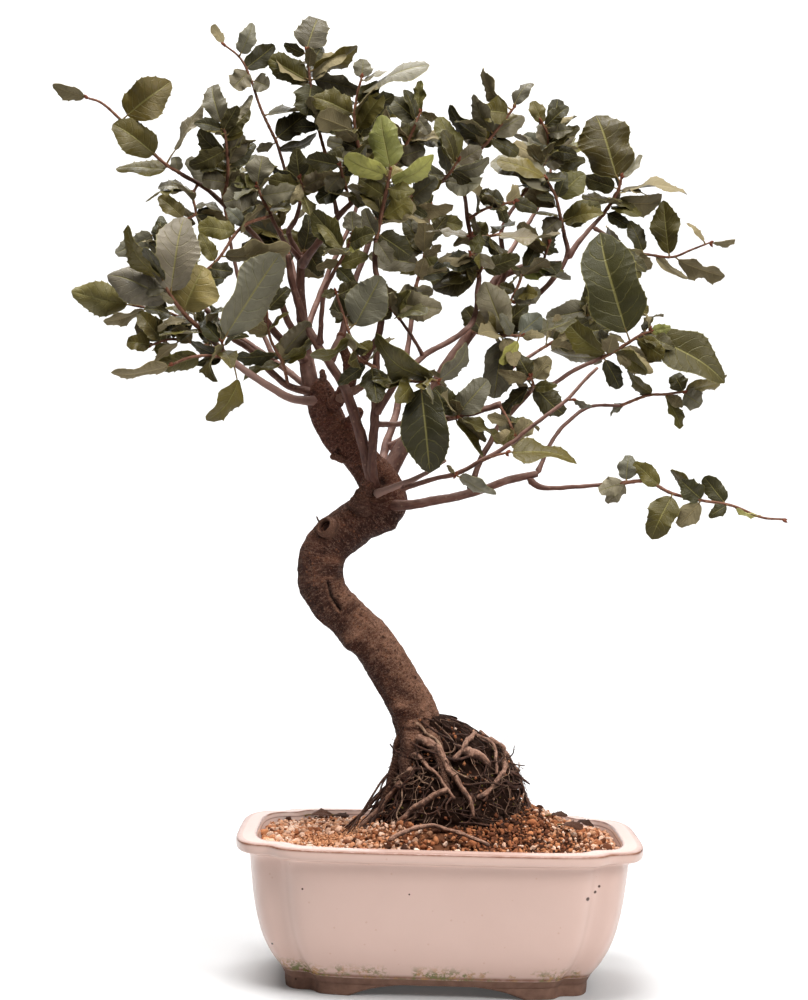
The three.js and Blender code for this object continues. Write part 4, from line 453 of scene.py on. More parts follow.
def hill(value, middle, breadth):
    """1 in the middle and less to both sides."""
    return np.exp(-(((value - middle) / breadth) ** 2))


def circle(count):
    """Evenly spaced angles round a circle."""
    return 2 * np.pi * np.arange(count) / count


def rough(points, size, seed):
    """Smooth noise from -1 to 1 at points in millimetres, with lumps of about that size."""
    shift = Vector([seed * way for way in NOISE_SHIFT])
    flat = np.asarray(points).reshape(-1, 3) / size
    values = np.array([noise.noise(Vector(p) + shift) for p in flat])
    return values.reshape(np.asarray(points).shape[:-1])


def lumpy(points, lumps, seed, base=0):
    """Noise of several sizes on a base: each row of lumps has a size and a height."""
    return sum((height * rough(points, size, seed + i) for i, (size, height) in enumerate(lumps)), base)


def strayed(path, seed):
    """How far noise leads each point of a path astray, in three directions."""
    return np.stack([rough(path, LIMB_BEND, seed + k) for k in range(3)], axis=-1)


def seen_point(x, z, depth):
    """A point read off the front view, moved along its line of sight to its depth."""
    scale = (EYE_DISTANCE + depth) / EYE_DISTANCE
    return np.array([EYE_X + (x - EYE_X) * scale, depth, EYE_HEIGHT + (z - EYE_HEIGHT) * scale])


def seen_path(row):
    return np.array([seen_point(*point) for point in row["at"]])


def spread_row(row):
    """A row of a table with its depths spread as in the solid model."""
    at = []
    for x, z, depth in row["at"]:
        near = min(depth, FAR_DEPTH)
        at.append([x, z, near * NEAR_SPREAD + (depth - near) * FAR_SPREAD])
    return {**row, "at": at}


def tapered(row, shares):
    """The radii of a row's twig, branch or root at shares of its length."""
    return row["from"] + (row["to"] - row["from"]) * shares


def smooth_path(points, values, gap):
    """A smooth curve through points, with a point about every gap, and the values that go with it."""
    points = np.asarray(points, float)
    values = np.asarray(values, float)
    ends = np.vstack([2 * points[0] - points[1], points, 2 * points[-1] - points[-2]])
    path, kept = [], []
    for i in range(len(points) - 1):
        a, b, c, d = ends[i:i + 4]
        count = max(1, round(np.linalg.norm(c - b) / gap))
        for t in np.arange(count) / count:
            path.append(0.5 * (2 * b + (c - a) * t + (2 * a - 5 * b + 4 * c - d) * t**2
                               + (3 * b - a - 3 * c + d) * t**3))
            kept.append(values[i] + (values[i + 1] - values[i]) * t)
    path.append(points[-1])
    kept.append(values[-1])
    return np.array(path), np.array(kept)


def smooth_line(points, gap):
    """A smooth curve through points, and the share of its length at each of its own points."""
    return smooth_path(points, np.linspace(0, 1, len(points)), gap)


# Meshes

class Mesh:
    """Many small surfaces gathered in one object. Each point has a place on its surface and a tint."""

    def __init__(self):
        self.points, self.places, self.tints = [], [], []
        self.faces, self.slots = [], []
        self.count = 0

    def add(self, points, faces, place=None, tint=(1, 1, 1, 1), slot=0):
        points = np.asarray(points, float).reshape(-1, 3)
        self.points.append(points)
        self.places.append(points * MM if place is None else np.asarray(place).reshape(-1, 3))
        tint = np.asarray(tint, float)
        self.tints.append(tint if tint.ndim == 2 else np.tile(tint, (len(points), 1)))
        for group in faces:
            self.faces.append(group + self.count)
            self.slots.append(np.full(len(group), slot))
        self.count += len(points)

    def build(self, name, materials):
        mesh = bpy.data.meshes.new(name)
        mesh.vertices.add(self.count)
        mesh.vertices.foreach_set("co", placed(np.concatenate(self.points)).ravel())
        corners = np.concatenate([group.ravel() for group in self.faces])
        sizes = np.concatenate([np.full(len(group), group.shape[1]) for group in self.faces])
        mesh.loops.add(len(corners))
        mesh.loops.foreach_set("vertex_index", corners)
        mesh.polygons.add(len(sizes))
        mesh.polygons.foreach_set("loop_start", np.cumsum(sizes) - sizes)
        mesh.update(calc_edges=True)
        mesh.polygons.foreach_set("material_index", np.concatenate(self.slots))
        mesh.polygons.foreach_set("use_smooth", np.ones(len(sizes), bool))
        place = mesh.attributes.new("place", "FLOAT_VECTOR", "POINT")
        place.data.foreach_set("vector", np.concatenate(self.places).ravel())
        tint = mesh.attributes.new("tint", "FLOAT_COLOR", "POINT")
        tint.data.foreach_set("color", np.concatenate(self.tints).ravel())
        for material in materials:
            mesh.materials.append(material)
        return linked(bpy.data.objects.new(name, mesh))


def linked(made):
    bpy.context.scene.collection.objects.link(made)
    return made


def grid_faces(rows, columns, closed=False):
    """Quads of a grid of points, joined round its columns if it is closed."""
    across = columns if closed else columns - 1
    row, column = np.meshgrid(np.arange(rows - 1), np.arange(across), indexing="ij")
    a = (row * columns + column).ravel()
    b = (row * columns + (column + 1) % columns).ravel()
    return np.stack([a, b, b + columns, a + columns], axis=1)


def fan_faces(ring, middle):
    return np.stack([ring, np.roll(ring, -1), np.full(len(ring), middle)], axis=1)


def capped(grid):
    """Points and faces of rings joined in a row, with a fan round a middle point at both ends."""
    rings, sides = grid.shape[:2]
    points = np.vstack([grid.reshape(-1, 3), grid[0].mean(0), grid[-1].mean(0)])
    first = np.arange(sides)[::-1]
    last = np.arange(sides) + (rings - 1) * sides
    return points, [grid_faces(rings, sides, closed=True), fan_faces(first, rings * sides),
                    fan_faces(last, rings * sides + 1)]


def path_frames(path):
    """Two directions across a path at each of its points, which don't spin."""
    tangents = unit(np.gradient(path, axis=0))
    first = np.cross([0, 1, 0], tangents[0])
    if np.linalg.norm(first) < 0.1:
        first = np.cross([1, 0, 0], tangents[0])
    across = [unit(first)]
    for tangent in tangents[1:]:
        across.append(unit(across[-1] - tangent * np.dot(across[-1], tangent)))
    return np.array(across), np.cross(tangents, across)


def tube_grid(path, radii, sides):
    """Points and outward directions of a round tube, ring by ring."""
    across, up = path_frames(path)
    angles = circle(sides)
    out = across[:, None] * np.cos(angles)[:, None] + up[:, None] * np.sin(angles)[:, None]
    return path[:, None] + out * np.broadcast_to(radii, len(path))[:, None, None], out


def add_tube(mesh, grid, tint, slot=0):
    """A closed tube. A point's place is its angle, as if the tube were straight, and its way along."""
    rings, sides = grid.shape[:2]
    middles = grid.mean(1)
    along = np.concatenate([[0], np.cumsum(np.linalg.norm(np.diff(middles, axis=0), axis=1))])
    radius = np.linalg.norm(grid - middles[:, None], axis=2).mean()
    angles = circle(sides)
    place = np.column_stack([np.tile(radius * np.cos(angles), rings), np.tile(radius * np.sin(angles), rings),
                             np.repeat(along, sides)])
    place = np.vstack([place, [0, 0, 0], [0, 0, along[-1]]]) * MM
    points, faces = capped(grid)
    mesh.add(points, faces, place=place, tint=tint, slot=slot)


def add_plain_tube(mesh, path, radii, sides, tint, slot=0):
    grid, _ = tube_grid(path, radii, sides)
    add_tube(mesh, grid, tint, slot)


# Materials

def rgb(red, green, blue):
    """A colour given as an sRGB triple out of 255, in linear light."""
    linear = [((c / 255 + 0.055) / 1.055) ** 2.4 for c in (red, green, blue)]
    return (*linear, 1.0)


def tinted(colour, share=1):
    """A tint of that colour, with the share of it that covers the material's own colour."""
    return [*colour[:3], share]


class Value:
    """A number or colour that the nodes of a material work out. Sums with it add nodes."""

    def __init__(self, socket):
        self.socket = socket
        self.tree = socket.id_data

    def __add__(self, other):
        return calc("ADD", self, other)

    def __sub__(self, other):
        return calc("SUBTRACT", self, other)

    def __mul__(self, other):
        return calc("MULTIPLY", self, other)

    def __truediv__(self, other):
        return calc("DIVIDE", self, other)

    def __abs__(self):
        return calc("ABSOLUTE", self)

    def times_plus(self, factor, other):
        return calc("MULTIPLY_ADD", self, factor, other)

    def step(self, low, high):
        """0 below low, 1 above high and smooth between them. Works downwards too."""
        inputs = {0: self, 1: low, 2: high}
        return result(self.tree, "ShaderNodeMapRange", inputs, interpolation_type="SMOOTHSTEP")

    def band(self, middle, reach):
        """1 where the number is the middle one, 0 beyond its reach."""
        return abs(self - middle).step(reach, 0.0)

    def parts(self, kind="ShaderNodeSeparateXYZ"):
        """The three numbers of a place or colour."""
        return [Value(socket) for socket in node(self.tree, kind, {0: self}).outputs]


def node(tree, kind, inputs=None, **settings):
    made = tree.nodes.new(kind)
    for key, value in settings.items():
        setattr(made, key, value)
    for key, value in (inputs or {}).items():
        if isinstance(value, Value):
            tree.links.new(value.socket, made.inputs[key])
        else:
            made.inputs[key].default_value = value
    return made


def result(tree, kind, inputs=None, output=0, **settings):
    """What a new node works out."""
    return Value(node(tree, kind, inputs, **settings).outputs[output])


def calc(operation, first, *others):
    inputs = dict(enumerate([first, *others]))
    return result(first.tree, "ShaderNodeMath", inputs, operation=operation)


def blend(share, first, second):
    """Mixes two colours."""
    tree = next(given.tree for given in (share, first, second) if isinstance(given, Value))
    return result(tree, "ShaderNodeMix", {0: share, 6: first, 7: second}, 2, data_type="RGBA")


def covered(colour, *covers):
    """A colour with others over it in turn: each cover has its mask, its share and its colour."""
    for mask, share, over in covers:
        colour = blend(mask * share, colour, over)
    return colour


def relief_of(base, *parts):
    """A height with others added to it in turn, each with its share."""
    for part, share in parts:
        base = part.times_plus(share, base)
    return base


def grain(place, size, detail=3.0, roughness=0.55, stretch=(1, 1, 1)):
    """Noise from 0 to 1 with lumps of about that size in millimetres."""
    scale = [1 / (size * MM * s) for s in stretch]
    scaled = result(place.tree, "ShaderNodeMapping", {"Vector": place, "Scale": scale})
    inputs = {"Vector": scaled, "Scale": 1.0, "Detail": detail, "Roughness": roughness}
    return result(place.tree, "ShaderNodeTexNoise", inputs)


def cells(place, size, feature="F1"):
    """Distance to the nearest of points scattered about that far apart, in shares of that."""
    inputs = {"Vector": place, "Scale": 1 / (size * MM)}
    return result(place.tree, "ShaderNodeTexVoronoi", inputs, feature=feature)


SHADER_INPUTS = {"colour": "Base Color", "roughness": "Roughness", "shine": "Specular IOR Level",
                 "glow_colour": "Emission Color", "glow": "Emission Strength"}


class Look:
    """A material in the making: its nodes, the position in the object and the surface's tint."""

    def __init__(self, name):
        self.material = bpy.data.materials.new(name)
        self.material.use_nodes = True
        self.tree = self.material.node_tree
        self.tree.nodes.clear()
        self.position = result(self.tree, "ShaderNodeTexCoord", output="Object")
        tint = node(self.tree, "ShaderNodeAttribute", attribute_name="tint")
        self.tint, self.tinted = Value(tint.outputs["Color"]), Value(tint.outputs["Alpha"])

    def place(self):
        """The place on the surface, as Mesh has it."""
        return result(self.tree, "ShaderNodeAttribute", output="Vector", attribute_name="place")

    def upward(self):
        """How far the surface looks up: -1 under, 1 on top."""
        return result(self.tree, "ShaderNodeNewGeometry", output="Normal").parts()[2]

    def finish(self, relief=None, depth=0, **inputs):
        """Joins the inputs to a shader, with a relief of heights whose unit is the depth in millimetres."""
        inputs = {SHADER_INPUTS[key]: value for key, value in inputs.items()}
        if relief is not None:
            heights = {"Height": relief, "Distance": depth * MM, "Strength": 1.0}
            inputs["Normal"] = result(self.tree, "ShaderNodeBump", heights)
        shader = result(self.tree, "ShaderNodeBsdfPrincipled", inputs)
        node(self.tree, "ShaderNodeOutputMaterial", {0: shader})
        return self.material


VEIN_ROWS = 7.0
VEIN_SLANT = -1.7
# What the two sides of a leaf look like: their patches and veins, and how far veins and rib stand out
LEAF_TOP = {"patches": 0.5, "vein_colour": rgb(142, 134, 76), "veins": 0.4, "vein_lift": -0.8,
            "rib_lift": -1.0}
LEAF_UNDERSIDE = {"patches": 0.35, "vein_colour": rgb(160, 144, 100), "veins": 0.5, "vein_lift": 0.8,
                  "rib_lift": 1.2}
UNDERSIDE_COLOUR = rgb(134, 122, 92)
# Pinholes and chips in the front of the glaze: x, z and radius
PINHOLES = [[-101.7, 29, 0.9], [-87, 6, 0.9], [-83, 67.5, 0.8], [-18.4, 66.7, 0.7],
            [89.9, 65.1, 1.5], [94.8, 68.4, 1.2], [97.3, 71.7, 1.1]]


def leaf_pattern(look):
    """Middle rib, side veins and thin margin of a leaf, each as a mask."""
    across, along, _ = look.place().parts()
    side = abs(across)
    wander = grain(look.position, 9) * 0.6
    slanted = along.times_plus(VEIN_ROWS, wander) + calc("POWER", side, 1.5) * VEIN_SLANT
    veins = calc("FRACT", slanted).band(0.5, 0.08) * side.step(1.0, 0.6)
    return side.step(0.065, 0.02), veins, side.step(0.95, 0.99)


def leaf_material(name, underside):
    look = Look(name)
    rib, veins, margin = leaf_pattern(look)
    patches = grain(look.position, 9, detail=4).step(0.35, 0.7)
    if underside:
        side, shine, roughness = LEAF_UNDERSIDE, 0.15, 0.7
        colour = blend(0.75, look.tint, UNDERSIDE_COLOUR)
        patch_colour = rgb(112, 100, 70)
    else:
        side, shine, roughness = LEAF_TOP, 0.3, patches.times_plus(0.16, 0.42)
        colour = look.tint
        patch_colour = blend(0.5, colour, rgb(30, 30, 12))
    over = side["vein_colour"]
    colour = covered(colour, (patches, side["patches"], patch_colour), (veins, side["veins"] * 0.6, over),
                     (rib, side["veins"] * 1.5, over), (margin, 0.55, over))
    fine = cells(look.position, 1.1, "DISTANCE_TO_EDGE") * 0.8
    relief = relief_of(fine, (veins, side["vein_lift"]), (rib, side["rib_lift"]), (patches, 0.5))
    return look.finish(relief, 0.3, colour=colour, roughness=roughness, shine=shine)


def twig_material():
    """Streaked brown skin with pale spots. The tint's alpha says how much of the tint covers it."""
    look = Look("twig_bark")
    fine = grain(look.place(), 0.9, detail=4, stretch=(1, 1, 5))
    spots = cells(look.position, 2.6).step(0.35, 0.15)
    colour = blend(fine.step(0.3, 0.7), rgb(84, 50, 38), rgb(138, 96, 74))
    colour = covered(colour, (spots, 0.35, rgb(166, 130, 106)))
    colour = blend(look.tinted, colour, look.tint)
    return look.finish(fine, 0.3, colour=colour, roughness=0.7, shine=0.2)


def limb_material():
    """Smooth red-brown bark, faintly streaked lengthwise, with a painted grey highlight where it looks up, as
    if lit from above.
    """
    look = Look("smooth_bark")
    streaks = grain(look.place(), 1.5, detail=4, roughness=0.6, stretch=(1, 1, 5))
    wide = grain(look.position, 9, detail=4)
    spots = cells(look.position, 4.6).step(0.2, 0.1)
    # painted highlight: paler grey where the limb looks up, broken up by wide noise
    painted_limb_highlight = look.upward().times_plus(0.3, wide).step(0.4, 0.95)
    colour = blend(streaks.step(0.25, 0.75), rgb(68, 39, 30), rgb(112, 74, 60))
    colour = covered(colour, (painted_limb_highlight, 0.6, rgb(158, 124, 110)), (spots, 0.4, rgb(160, 122, 100)))
    colour = blend(look.tinted, colour, look.tint)
    return look.finish(streaks, 0.35, colour=colour, roughness=0.65, shine=0.35)


def bark_ground(look, lumps, patches, height):
    """The bark's wide colours: darker from the bend up than low down and darkest at the bend, lifted a little
    above the bend as painted light against the crown's shade; paler low down; and paler where it looks up, as
    painted light from above.
    """
    # painted light: paler where the surface looks up, as if lit from above, mixed with the lumps and patches
    painted_top_light = look.upward().times_plus(0.5, (lumps + patches) * 0.36)
    # above the bend, under the crown, the bark is made lighter as painted light against the crown's shade
    upper = blend(height.step(0.31, 0.35), rgb(62, 33, 23), rgb(104, 60, 45))
    upper = blend(painted_top_light.step(0.25, 0.9), upper, rgb(134, 88, 66))
    lower = blend(painted_top_light.step(0.12, 0.8), rgb(70, 38, 26), rgb(172, 124, 98))
    return blend(height.step(0.30, 0.24), upper, lower)


def bark_material():
    """Old bark: red-brown, with pits, crumbs of cork and wrinkles round the trunk."""
    look = Look("old_bark")
    position = look.position
    lumps = grain(position, 11, detail=3, roughness=0.5)
    patches = grain(position, 4.5, detail=5, roughness=0.7)
    fine = grain(position, 1.3, detail=4, roughness=0.7)
    wrinkles = grain(look.place(), 2.6, detail=4, roughness=0.65, stretch=(2.6, 2.6, 0.5))
    pits = cells(position, 2.2).step(0.36, 0.2)
    crumbs = cells(position, 3.1).step(0.3, 0.18) * lumps.step(0.5, 0.6)
    spots = cells(position, 7).step(0.2, 0.12)
    height = lumps.times_plus(0.05, position.parts()[2])
    colour = covered(
        bark_ground(look, lumps, patches, height),
        (height.step(0.19, 0.16), 0.7, rgb(54, 32, 23)),
        (wrinkles.band(0.47, 0.035), 0.6, rgb(60, 34, 25)),
        (wrinkles.band(0.56, 0.025), 0.4, rgb(188, 152, 132)),
        (fine.step(0.56, 0.66), 0.4, rgb(186, 146, 122)),
        (fine.step(0.46, 0.36), 0.6, rgb(56, 31, 22)),
        (pits, 0.5, rgb(58, 32, 23)),
        (crumbs, 0.6, rgb(150, 94, 64)),
        (spots, 0.7, rgb(54, 30, 22)))
    colour = blend(look.tinted, colour, look.tint)
    relief = relief_of(wrinkles, (fine, 0.9), (patches, 1.2), (pits, -0.4), (crumbs, 0.4), (spots, -0.6))
    return look.finish(relief, 2.2, colour=colour, roughness=0.7, shine=0.18)


def root_material():
    """Roots: the piece's own tint, with brown skin, dark dirt in patches, and painted shade underneath."""
    look = Look("root_bark")
    streaks = grain(look.place(), 1.4, detail=4, roughness=0.65, stretch=(1, 1, 3))
    patches = grain(look.position, 4.5, detail=5, roughness=0.7)
    # dark dirt in patches, and painted shade where the root looks down
    dirt_and_painted_shade = look.upward().times_plus(0.2, patches).step(0.62, 0.42)
    colour = blend(streaks.step(0.6, 0.42), look.tint, blend(0.7, look.tint, rgb(96, 58, 40)))
    colour = covered(colour, (dirt_and_painted_shade, 0.85, rgb(50, 29, 21)))
    return look.finish(relief_of(streaks, (patches, 1.5)), 0.9, colour=colour, roughness=0.65, shine=0.35)


def grit_material(name, roughness, depth, size):
    """Stones, loam and the grit in the roots: the piece's own tint, mottled."""
    look = Look(name)
    fine = grain(look.position, size, detail=4, roughness=0.65)
    shade = blend(0.4, look.tint, rgb(60, 34, 22))
    colour = blend(fine.step(0.5, 0.3), look.tint, shade)
    return look.finish(fine, depth, colour=colour, roughness=roughness, shine=0.15)


def near_spot(x_place, z_place, spot):
    """A dark round spot on the pot, seen from the front."""
    x, z, radius = spot
    middle = placed([x, 0, z])
    along, up = x_place - middle[0], z_place - middle[2]
    away = calc("SQRT", along * along + up * up)
    return away.step(radius * MM, radius * MM * 0.55)


def foot_stain(look, height):
    """Where the foot of the pot's wall is stained, and the stain's colours: tan and moss green."""
    low = height.step(23.0, 14.0) * grain(look.position, 16).step(0.4, 0.56)
    stain = low * grain(look.position, 3.2, detail=4, roughness=0.7).step(0.42, 0.56)
    return stain, blend(grain(look.position, 6).step(0.42, 0.55), rgb(168, 128, 80), rgb(104, 108, 56))


def glaze_material():
    """The tint's red holds thin glaze over an edge, its green bare clay and its blue the inside, which is
    painted paler as painted light on the shaded inner wall.
    """
    look = Look("cream_glaze")
    x, y, z = look.position.parts()
    thin, clay, inside = look.tint.parts("ShaderNodeSeparateColor")
    wide, fine = grain(look.position, 45), grain(look.position, 5)
    dust = look.upward().step(0.5, 0.95)
    specks = cells(look.position, 9).step(0.10, 0.05)
    bare = fine.times_plus(0.5, clay).step(0.65, 0.85)
    stain, stain_colour = foot_stain(look, (z - float(POT_MIDDLE[2])) / MM)
    colour = blend(wide, rgb(202, 171, 159), rgb(212, 182, 170))
    # painted light: the inside is paler than the outside, to brighten the shaded inner wall
    colour = blend(inside, colour, rgb(232, 208, 198))
    colour = covered(colour, (dust, 0.4, rgb(178, 144, 132)), (specks, 0.25, rgb(176, 128, 104)),
                     (thin, fine.times_plus(0.7, 0.5), rgb(112, 62, 34)), (stain, 0.9, stain_colour))
    colour = blend(bare, colour, blend(fine, rgb(86, 58, 46), rgb(136, 102, 84)))
    front = calc("LESS_THAN", y, float(POT_MIDDLE[1]))
    colour = covered(colour, *[(near_spot(x, z, spot), front, rgb(70, 42, 30)) for spot in PINHOLES])
    relief = bare.times_plus(0.9, 0.1) * fine
    return look.finish(relief, 0.5, colour=colour, roughness=bare.times_plus(0.55, 0.27))


def screen_material():
    """Dull green plastic."""
    look = Look("screen_plastic")
    fine = grain(look.position, 0.8)
    return look.finish(fine, 0.05, colour=blend(fine, rgb(34, 44, 36), rgb(52, 62, 50)), roughness=0.6)


def paper_material():
    look = Look("paper_sweep")
    colour = blend(grain(look.position, 300), *[(grey, grey, grey, 1) for grey in SWEEP_PAPER])
    return look.finish(colour=colour, roughness=0.95, shine=0.1, glow_colour=(1, 1, 1, 1), glow=SWEEP_GLOW)


# Leaves, as in the solid model

NATURAL_LEAF_SLENDERNESS = 0.5
LEAF_LEAN = 0.5
LEAF_LEAN_MIDDLE = 0.55
LEAF_ROLL = 0.3
LEAF_BOW = 0.16
LEAF_BOW_MIDDLE = 0.35
LEAF_TWIST = 1.1
LEAF_TWIST_START = 0.3
LEAF_FOLD = 0.22
TIP_DEPTH_TRIES = [0, -5, 5, -10, 10, -16, 16, -24, 24, -34, 34, -46, 46]
FAR_LEAF_TURN = 2.4
FAR_LEAF_TURN_CHANGE = 0.8
FAR_LEAF_LENGTH = 20
FAR_LEAF_LENGTH_CHANGE = 15
FAR_LEAF_TONES = ["dark", "grey", "olive"]
SAME_POINT = 0.05


def twig_depth(row, x, z):
    """The depth of the twig where a leaf is seen to leave it."""
    flat = np.array(row["at"])
    best_gap, best_depth = math.inf, 0
    for first, second in zip(flat, flat[1:]):
        along = second - first
        away = np.array([x, z]) - first[:2]
        share = min(1, max(0, away @ along[:2] / (along[:2] @ along[:2])))
        gap = math.hypot(*(away - share * along[:2]))
        if gap < best_gap:
            best_gap, best_depth = gap, first[2] + share * along[2]
    return best_depth


def leaves_by_rule(row, random):
    """Leaves of a far shoot: they leave the twig in turn, round it, and droop a little."""
    leaves = []
    for i in range(row["count"]):
        place = (i + 1) / row["count"] * (len(row["at"]) - 1)
        k = min(int(place), len(row["at"]) - 2)
        first, second = row["at"][k], row["at"][k + 1]
        x = first[0] + (second[0] - first[0]) * (place - k)
        z = first[1] + (second[1] - first[1]) * (place - k)
        angle = i * FAR_LEAF_TURN + next(random) * FAR_LEAF_TURN_CHANGE
        length = FAR_LEAF_LENGTH + FAR_LEAF_LENGTH_CHANGE * next(random)
        tip = [x + length * math.cos(angle), z + length * math.sin(angle)]
        tone = FAR_LEAF_TONES[i % len(FAR_LEAF_TONES)]
        leaves.append([x, z, *tip, length * NATURAL_LEAF_SLENDERNESS, tone])
    return leaves


def leaf_frame(entry, foot_depth, tip_shift, draws):
    """Where a leaf lies: the same sums as in the solid model."""
    foot_x, foot_z, tip_x, tip_z, seen_width, tone = entry
    lean, roll, bow, twist, side = draws
    seen_length = math.hypot(tip_x - foot_x, tip_z - foot_z)
    tip_depth = foot_depth + (lean - LEAF_LEAN_MIDDLE) * LEAF_LEAN * seen_length + tip_shift
    start = seen_point(foot_x, foot_z, foot_depth)
    along = seen_point(tip_x, tip_z, tip_depth) - start
    length = np.linalg.norm(along)
    along = along / length
    width = max(seen_width, NATURAL_LEAF_SLENDERNESS * seen_length)
    turned_away = math.acos(min(1, seen_width / width))
    turn = (-turned_away if side < 0.5 else turned_away) + (roll - 0.5) * LEAF_ROLL
    level = unit(np.cross(along, [0, -1, 0]))
    facing = unit(np.cross(level, along))
    across = level * math.cos(turn) + facing * math.sin(turn)
    return {"start": start, "along": along, "across": across, "normal": unit(np.cross(across, along)),
            "length": length, "width": width, "tone": tone,
            "bow": (bow - LEAF_BOW_MIDDLE) * LEAF_BOW, "twist": (twist - 0.5) * LEAF_TWIST}


def leaf_points(leaf, share, reach, lift):
    """Points of a leaf at shares of its length, at distances from its middle line and heights over it."""
    turn = leaf["twist"] * (share - LEAF_TWIST_START)
    cos, sin = np.cos(turn)[..., None], np.sin(turn)[..., None]
    across = leaf["across"] * cos + leaf["normal"] * sin
    normal = leaf["normal"] * cos - leaf["across"] * sin
    bowed = leaf["bow"] * leaf["length"] * 4 * share * (1 - share)
    return (leaf["start"] + leaf["along"] * (share * leaf["length"])[..., None]
            + leaf["normal"] * bowed[..., None] + across * reach[..., None]
            + normal * (LEAF_FOLD * np.abs(reach) + lift)[..., None])


def packed_leaf(entry, foot_depth, draws, packed):
    """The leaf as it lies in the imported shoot, or unshifted if the solid model has no room for it."""
    for shift in TIP_DEPTH_TRIES:
        leaf = leaf_frame(entry, foot_depth, shift, draws)
        tip = placed(leaf["start"] + leaf["along"] * leaf["length"])
        if np.linalg.norm(packed - tip, axis=1).min() < SAME_POINT * MM:
            return leaf
    return leaf_frame(entry, foot_depth, 0, draws)


# Leaves and twigs in their fine shape

LEAF_COLUMNS = [-1, -0.74, -0.42, -0.13, 0, 0.13, 0.42, 0.74, 1]
SMALL_LEAF = 27
SMALL_LEAF_COLUMNS = [-1, -0.7, -0.25, 0, 0.25, 0.7, 1]
LEAF_THICKNESS = 0.42
# Shares of the blade's length where its rows before the teeth lie
BLADE_FOOT_ROWS = [0.0, 0.03, 0.08]
TOOTH_PITCH = 5.6
TEETH = (3, 10)
# The edge from one small spine to the next: a shallow bay that swells before the spine
TOOTH_PLACES = [0, 0.14, 0.5, 0.86, 1]
TOOTH_HEIGHTS = [1, 0.15, 0, 0.4, 1]
TOOTH_START = 0.2
TOOTH_END = 0.94
TOOTH_JUT = 0.75
TOOTH_MOST = 0.16
TOOTH_LEAST = 0.35
TOOTH_LIFT = 0.35
TOOTH_SLANT = 0.1
BLADE_FOOT_ROUNDNESS = (0.4, 0.56)
BLADE_TIP_ROUNDNESS = (0.45, 0.72)
# Shallow bites in the edge and waves along it, as depth or height and number along the blade
LEAF_BITES = 0.12
BITE_COUNTS = (1.0, 2.2)
BITES_FROM = 0.3
LEAF_WAVE = 0.1
WAVE_HEIGHTS = (0.4, 1.5)
WAVE_COUNTS = (1.2, 2.4)
WAVE_SHIFT = 2.1
LEAF_ARCH = (-0.05, 0.24)
LEAF_PUFF = 0.03
LEAF_CURL = (-0.2, 0.9)
CURL_FROM = 0.45
LEAF_LIGHT_CHANGE = 0.2
LEAF_WARM_CHANGE = 0.05
STALK_SHARE = 0.06
STALK_RADIUS = 0.55
STALK_TAPER = np.array([1.3, 1, 0.7])
STALK_SAG = 0.4
STALK_OVERLAP = 0.05
STALK_STEP, STALK_SIDES = 1.5, 5
# The middle of a blade's rim, for the material: beside the veins, half way along
RIM_PLACE = [0.99, 0.5, 0]
TWIG_STEP, TWIG_SIDES = 1.6, 7
KNOT_SWELL = 0.35
KNOT_TURN = 2.1
BUDS = 3
BUD_LENGTHS = (2.2, 4.2)
BUD_RADIUS = 0.95
BUD_SPREAD = 0.7
BUD_SINK = 0.5
# A bud's radii follow this part of a sine's arch
BUD_POINTS = 6
BUD_ARCH_START, BUD_ARCH = 0.12, 0.84
BUD_ROUNDNESS = 0.8
# Small leaves between those that were read off the photograph
EXTRA_LEAVES = 3
EXTRA_LEAVES_PER_MM = 0.085
EXTRA_LEAVES_FROM_TO = (0.05, 0.85)
EXTRA_LEAF_ONWARD = (0.1, 1.1)
EXTRA_LEAF_RISE = (-0.2, 0.3)
EXTRA_LEAF_LENGTHS = (16, 33)
EXTRA_LEAF_SHRINK = 0.3
EXTRA_LEAF_STALK = 0.05
# An extra leaf faces roughly up and to the front
EXTRA_LEAF_FACING = np.array([0, -0.6, 0.8])
EXTRA_LEAF_UNEVENNESS = 0.8
FRONT_SHARE = 0.5
EXTRA_LEAF_WIDTHS = (0.42, 0.6)
EXTRA_LEAF_BOWS = (-0.06, 0.1)
EXTRA_LEAF_TWISTS = (-0.5, 0.5)
EXTRA_LEAF_TONES = ["dark", "olive", "dark", "grey", "dark", "olive", "pale"]
FAR_LEAVES_GAIN = 2.2
LEAF_KEPT_IN = 3
# Shoots that stand apart in the photograph, with no more leaves than were read off it
BARE_SHOOTS = {"left_branch", "upper_left", "left_hanging", "left_drooping", "low_right_leaf", "low_curled",
               "right_tip", "right_low", "right_low_tip", "right_spur"}
# The grey tone's grey is partly a painted sheen on a grey-green top; a paler grey and a paler olive are
# copies of grey and olive lifted as painted light; the young tone's yellow-green is lifted further as painted
# light
LEAF_TONES = {"dark": rgb(62, 56, 26), "olive": rgb(94, 84, 36), "grey": rgb(114, 107, 86),
              "pale": rgb(106, 93, 60), "young": rgb(156, 152, 80), "dead": rgb(66, 40, 27),
              "deep": rgb(70, 63, 25), "dim": rgb(88, 82, 64), "silver": rgb(130, 123, 106),
              "bright": rgb(124, 110, 60)}
STALK_TINT = tinted(rgb(122, 104, 62), 0.8)
BUD_TINT = tinted(rgb(108, 56, 36), 0.9)
# Materials of a shoot, in order
TOP, UNDER, TWIG = 0, 1, 2
# A pale leaf shows its underside, and a dead one is brown on both sides
BLADE_SIDES = {"pale": (UNDER, TOP), "dead": (TWIG, TWIG)}


def root_on_twig(twig, point):
    """The nearest point on the middle line of a twig."""
    first, onward = twig[:-1], np.diff(twig, axis=0)
    shares = ((point - first) * onward).sum(1) / (onward**2).sum(1)
    nearest = first + onward * np.clip(shares, 0, 1)[:, None]
    return nearest[np.linalg.norm(nearest - point, axis=1).argmin()]


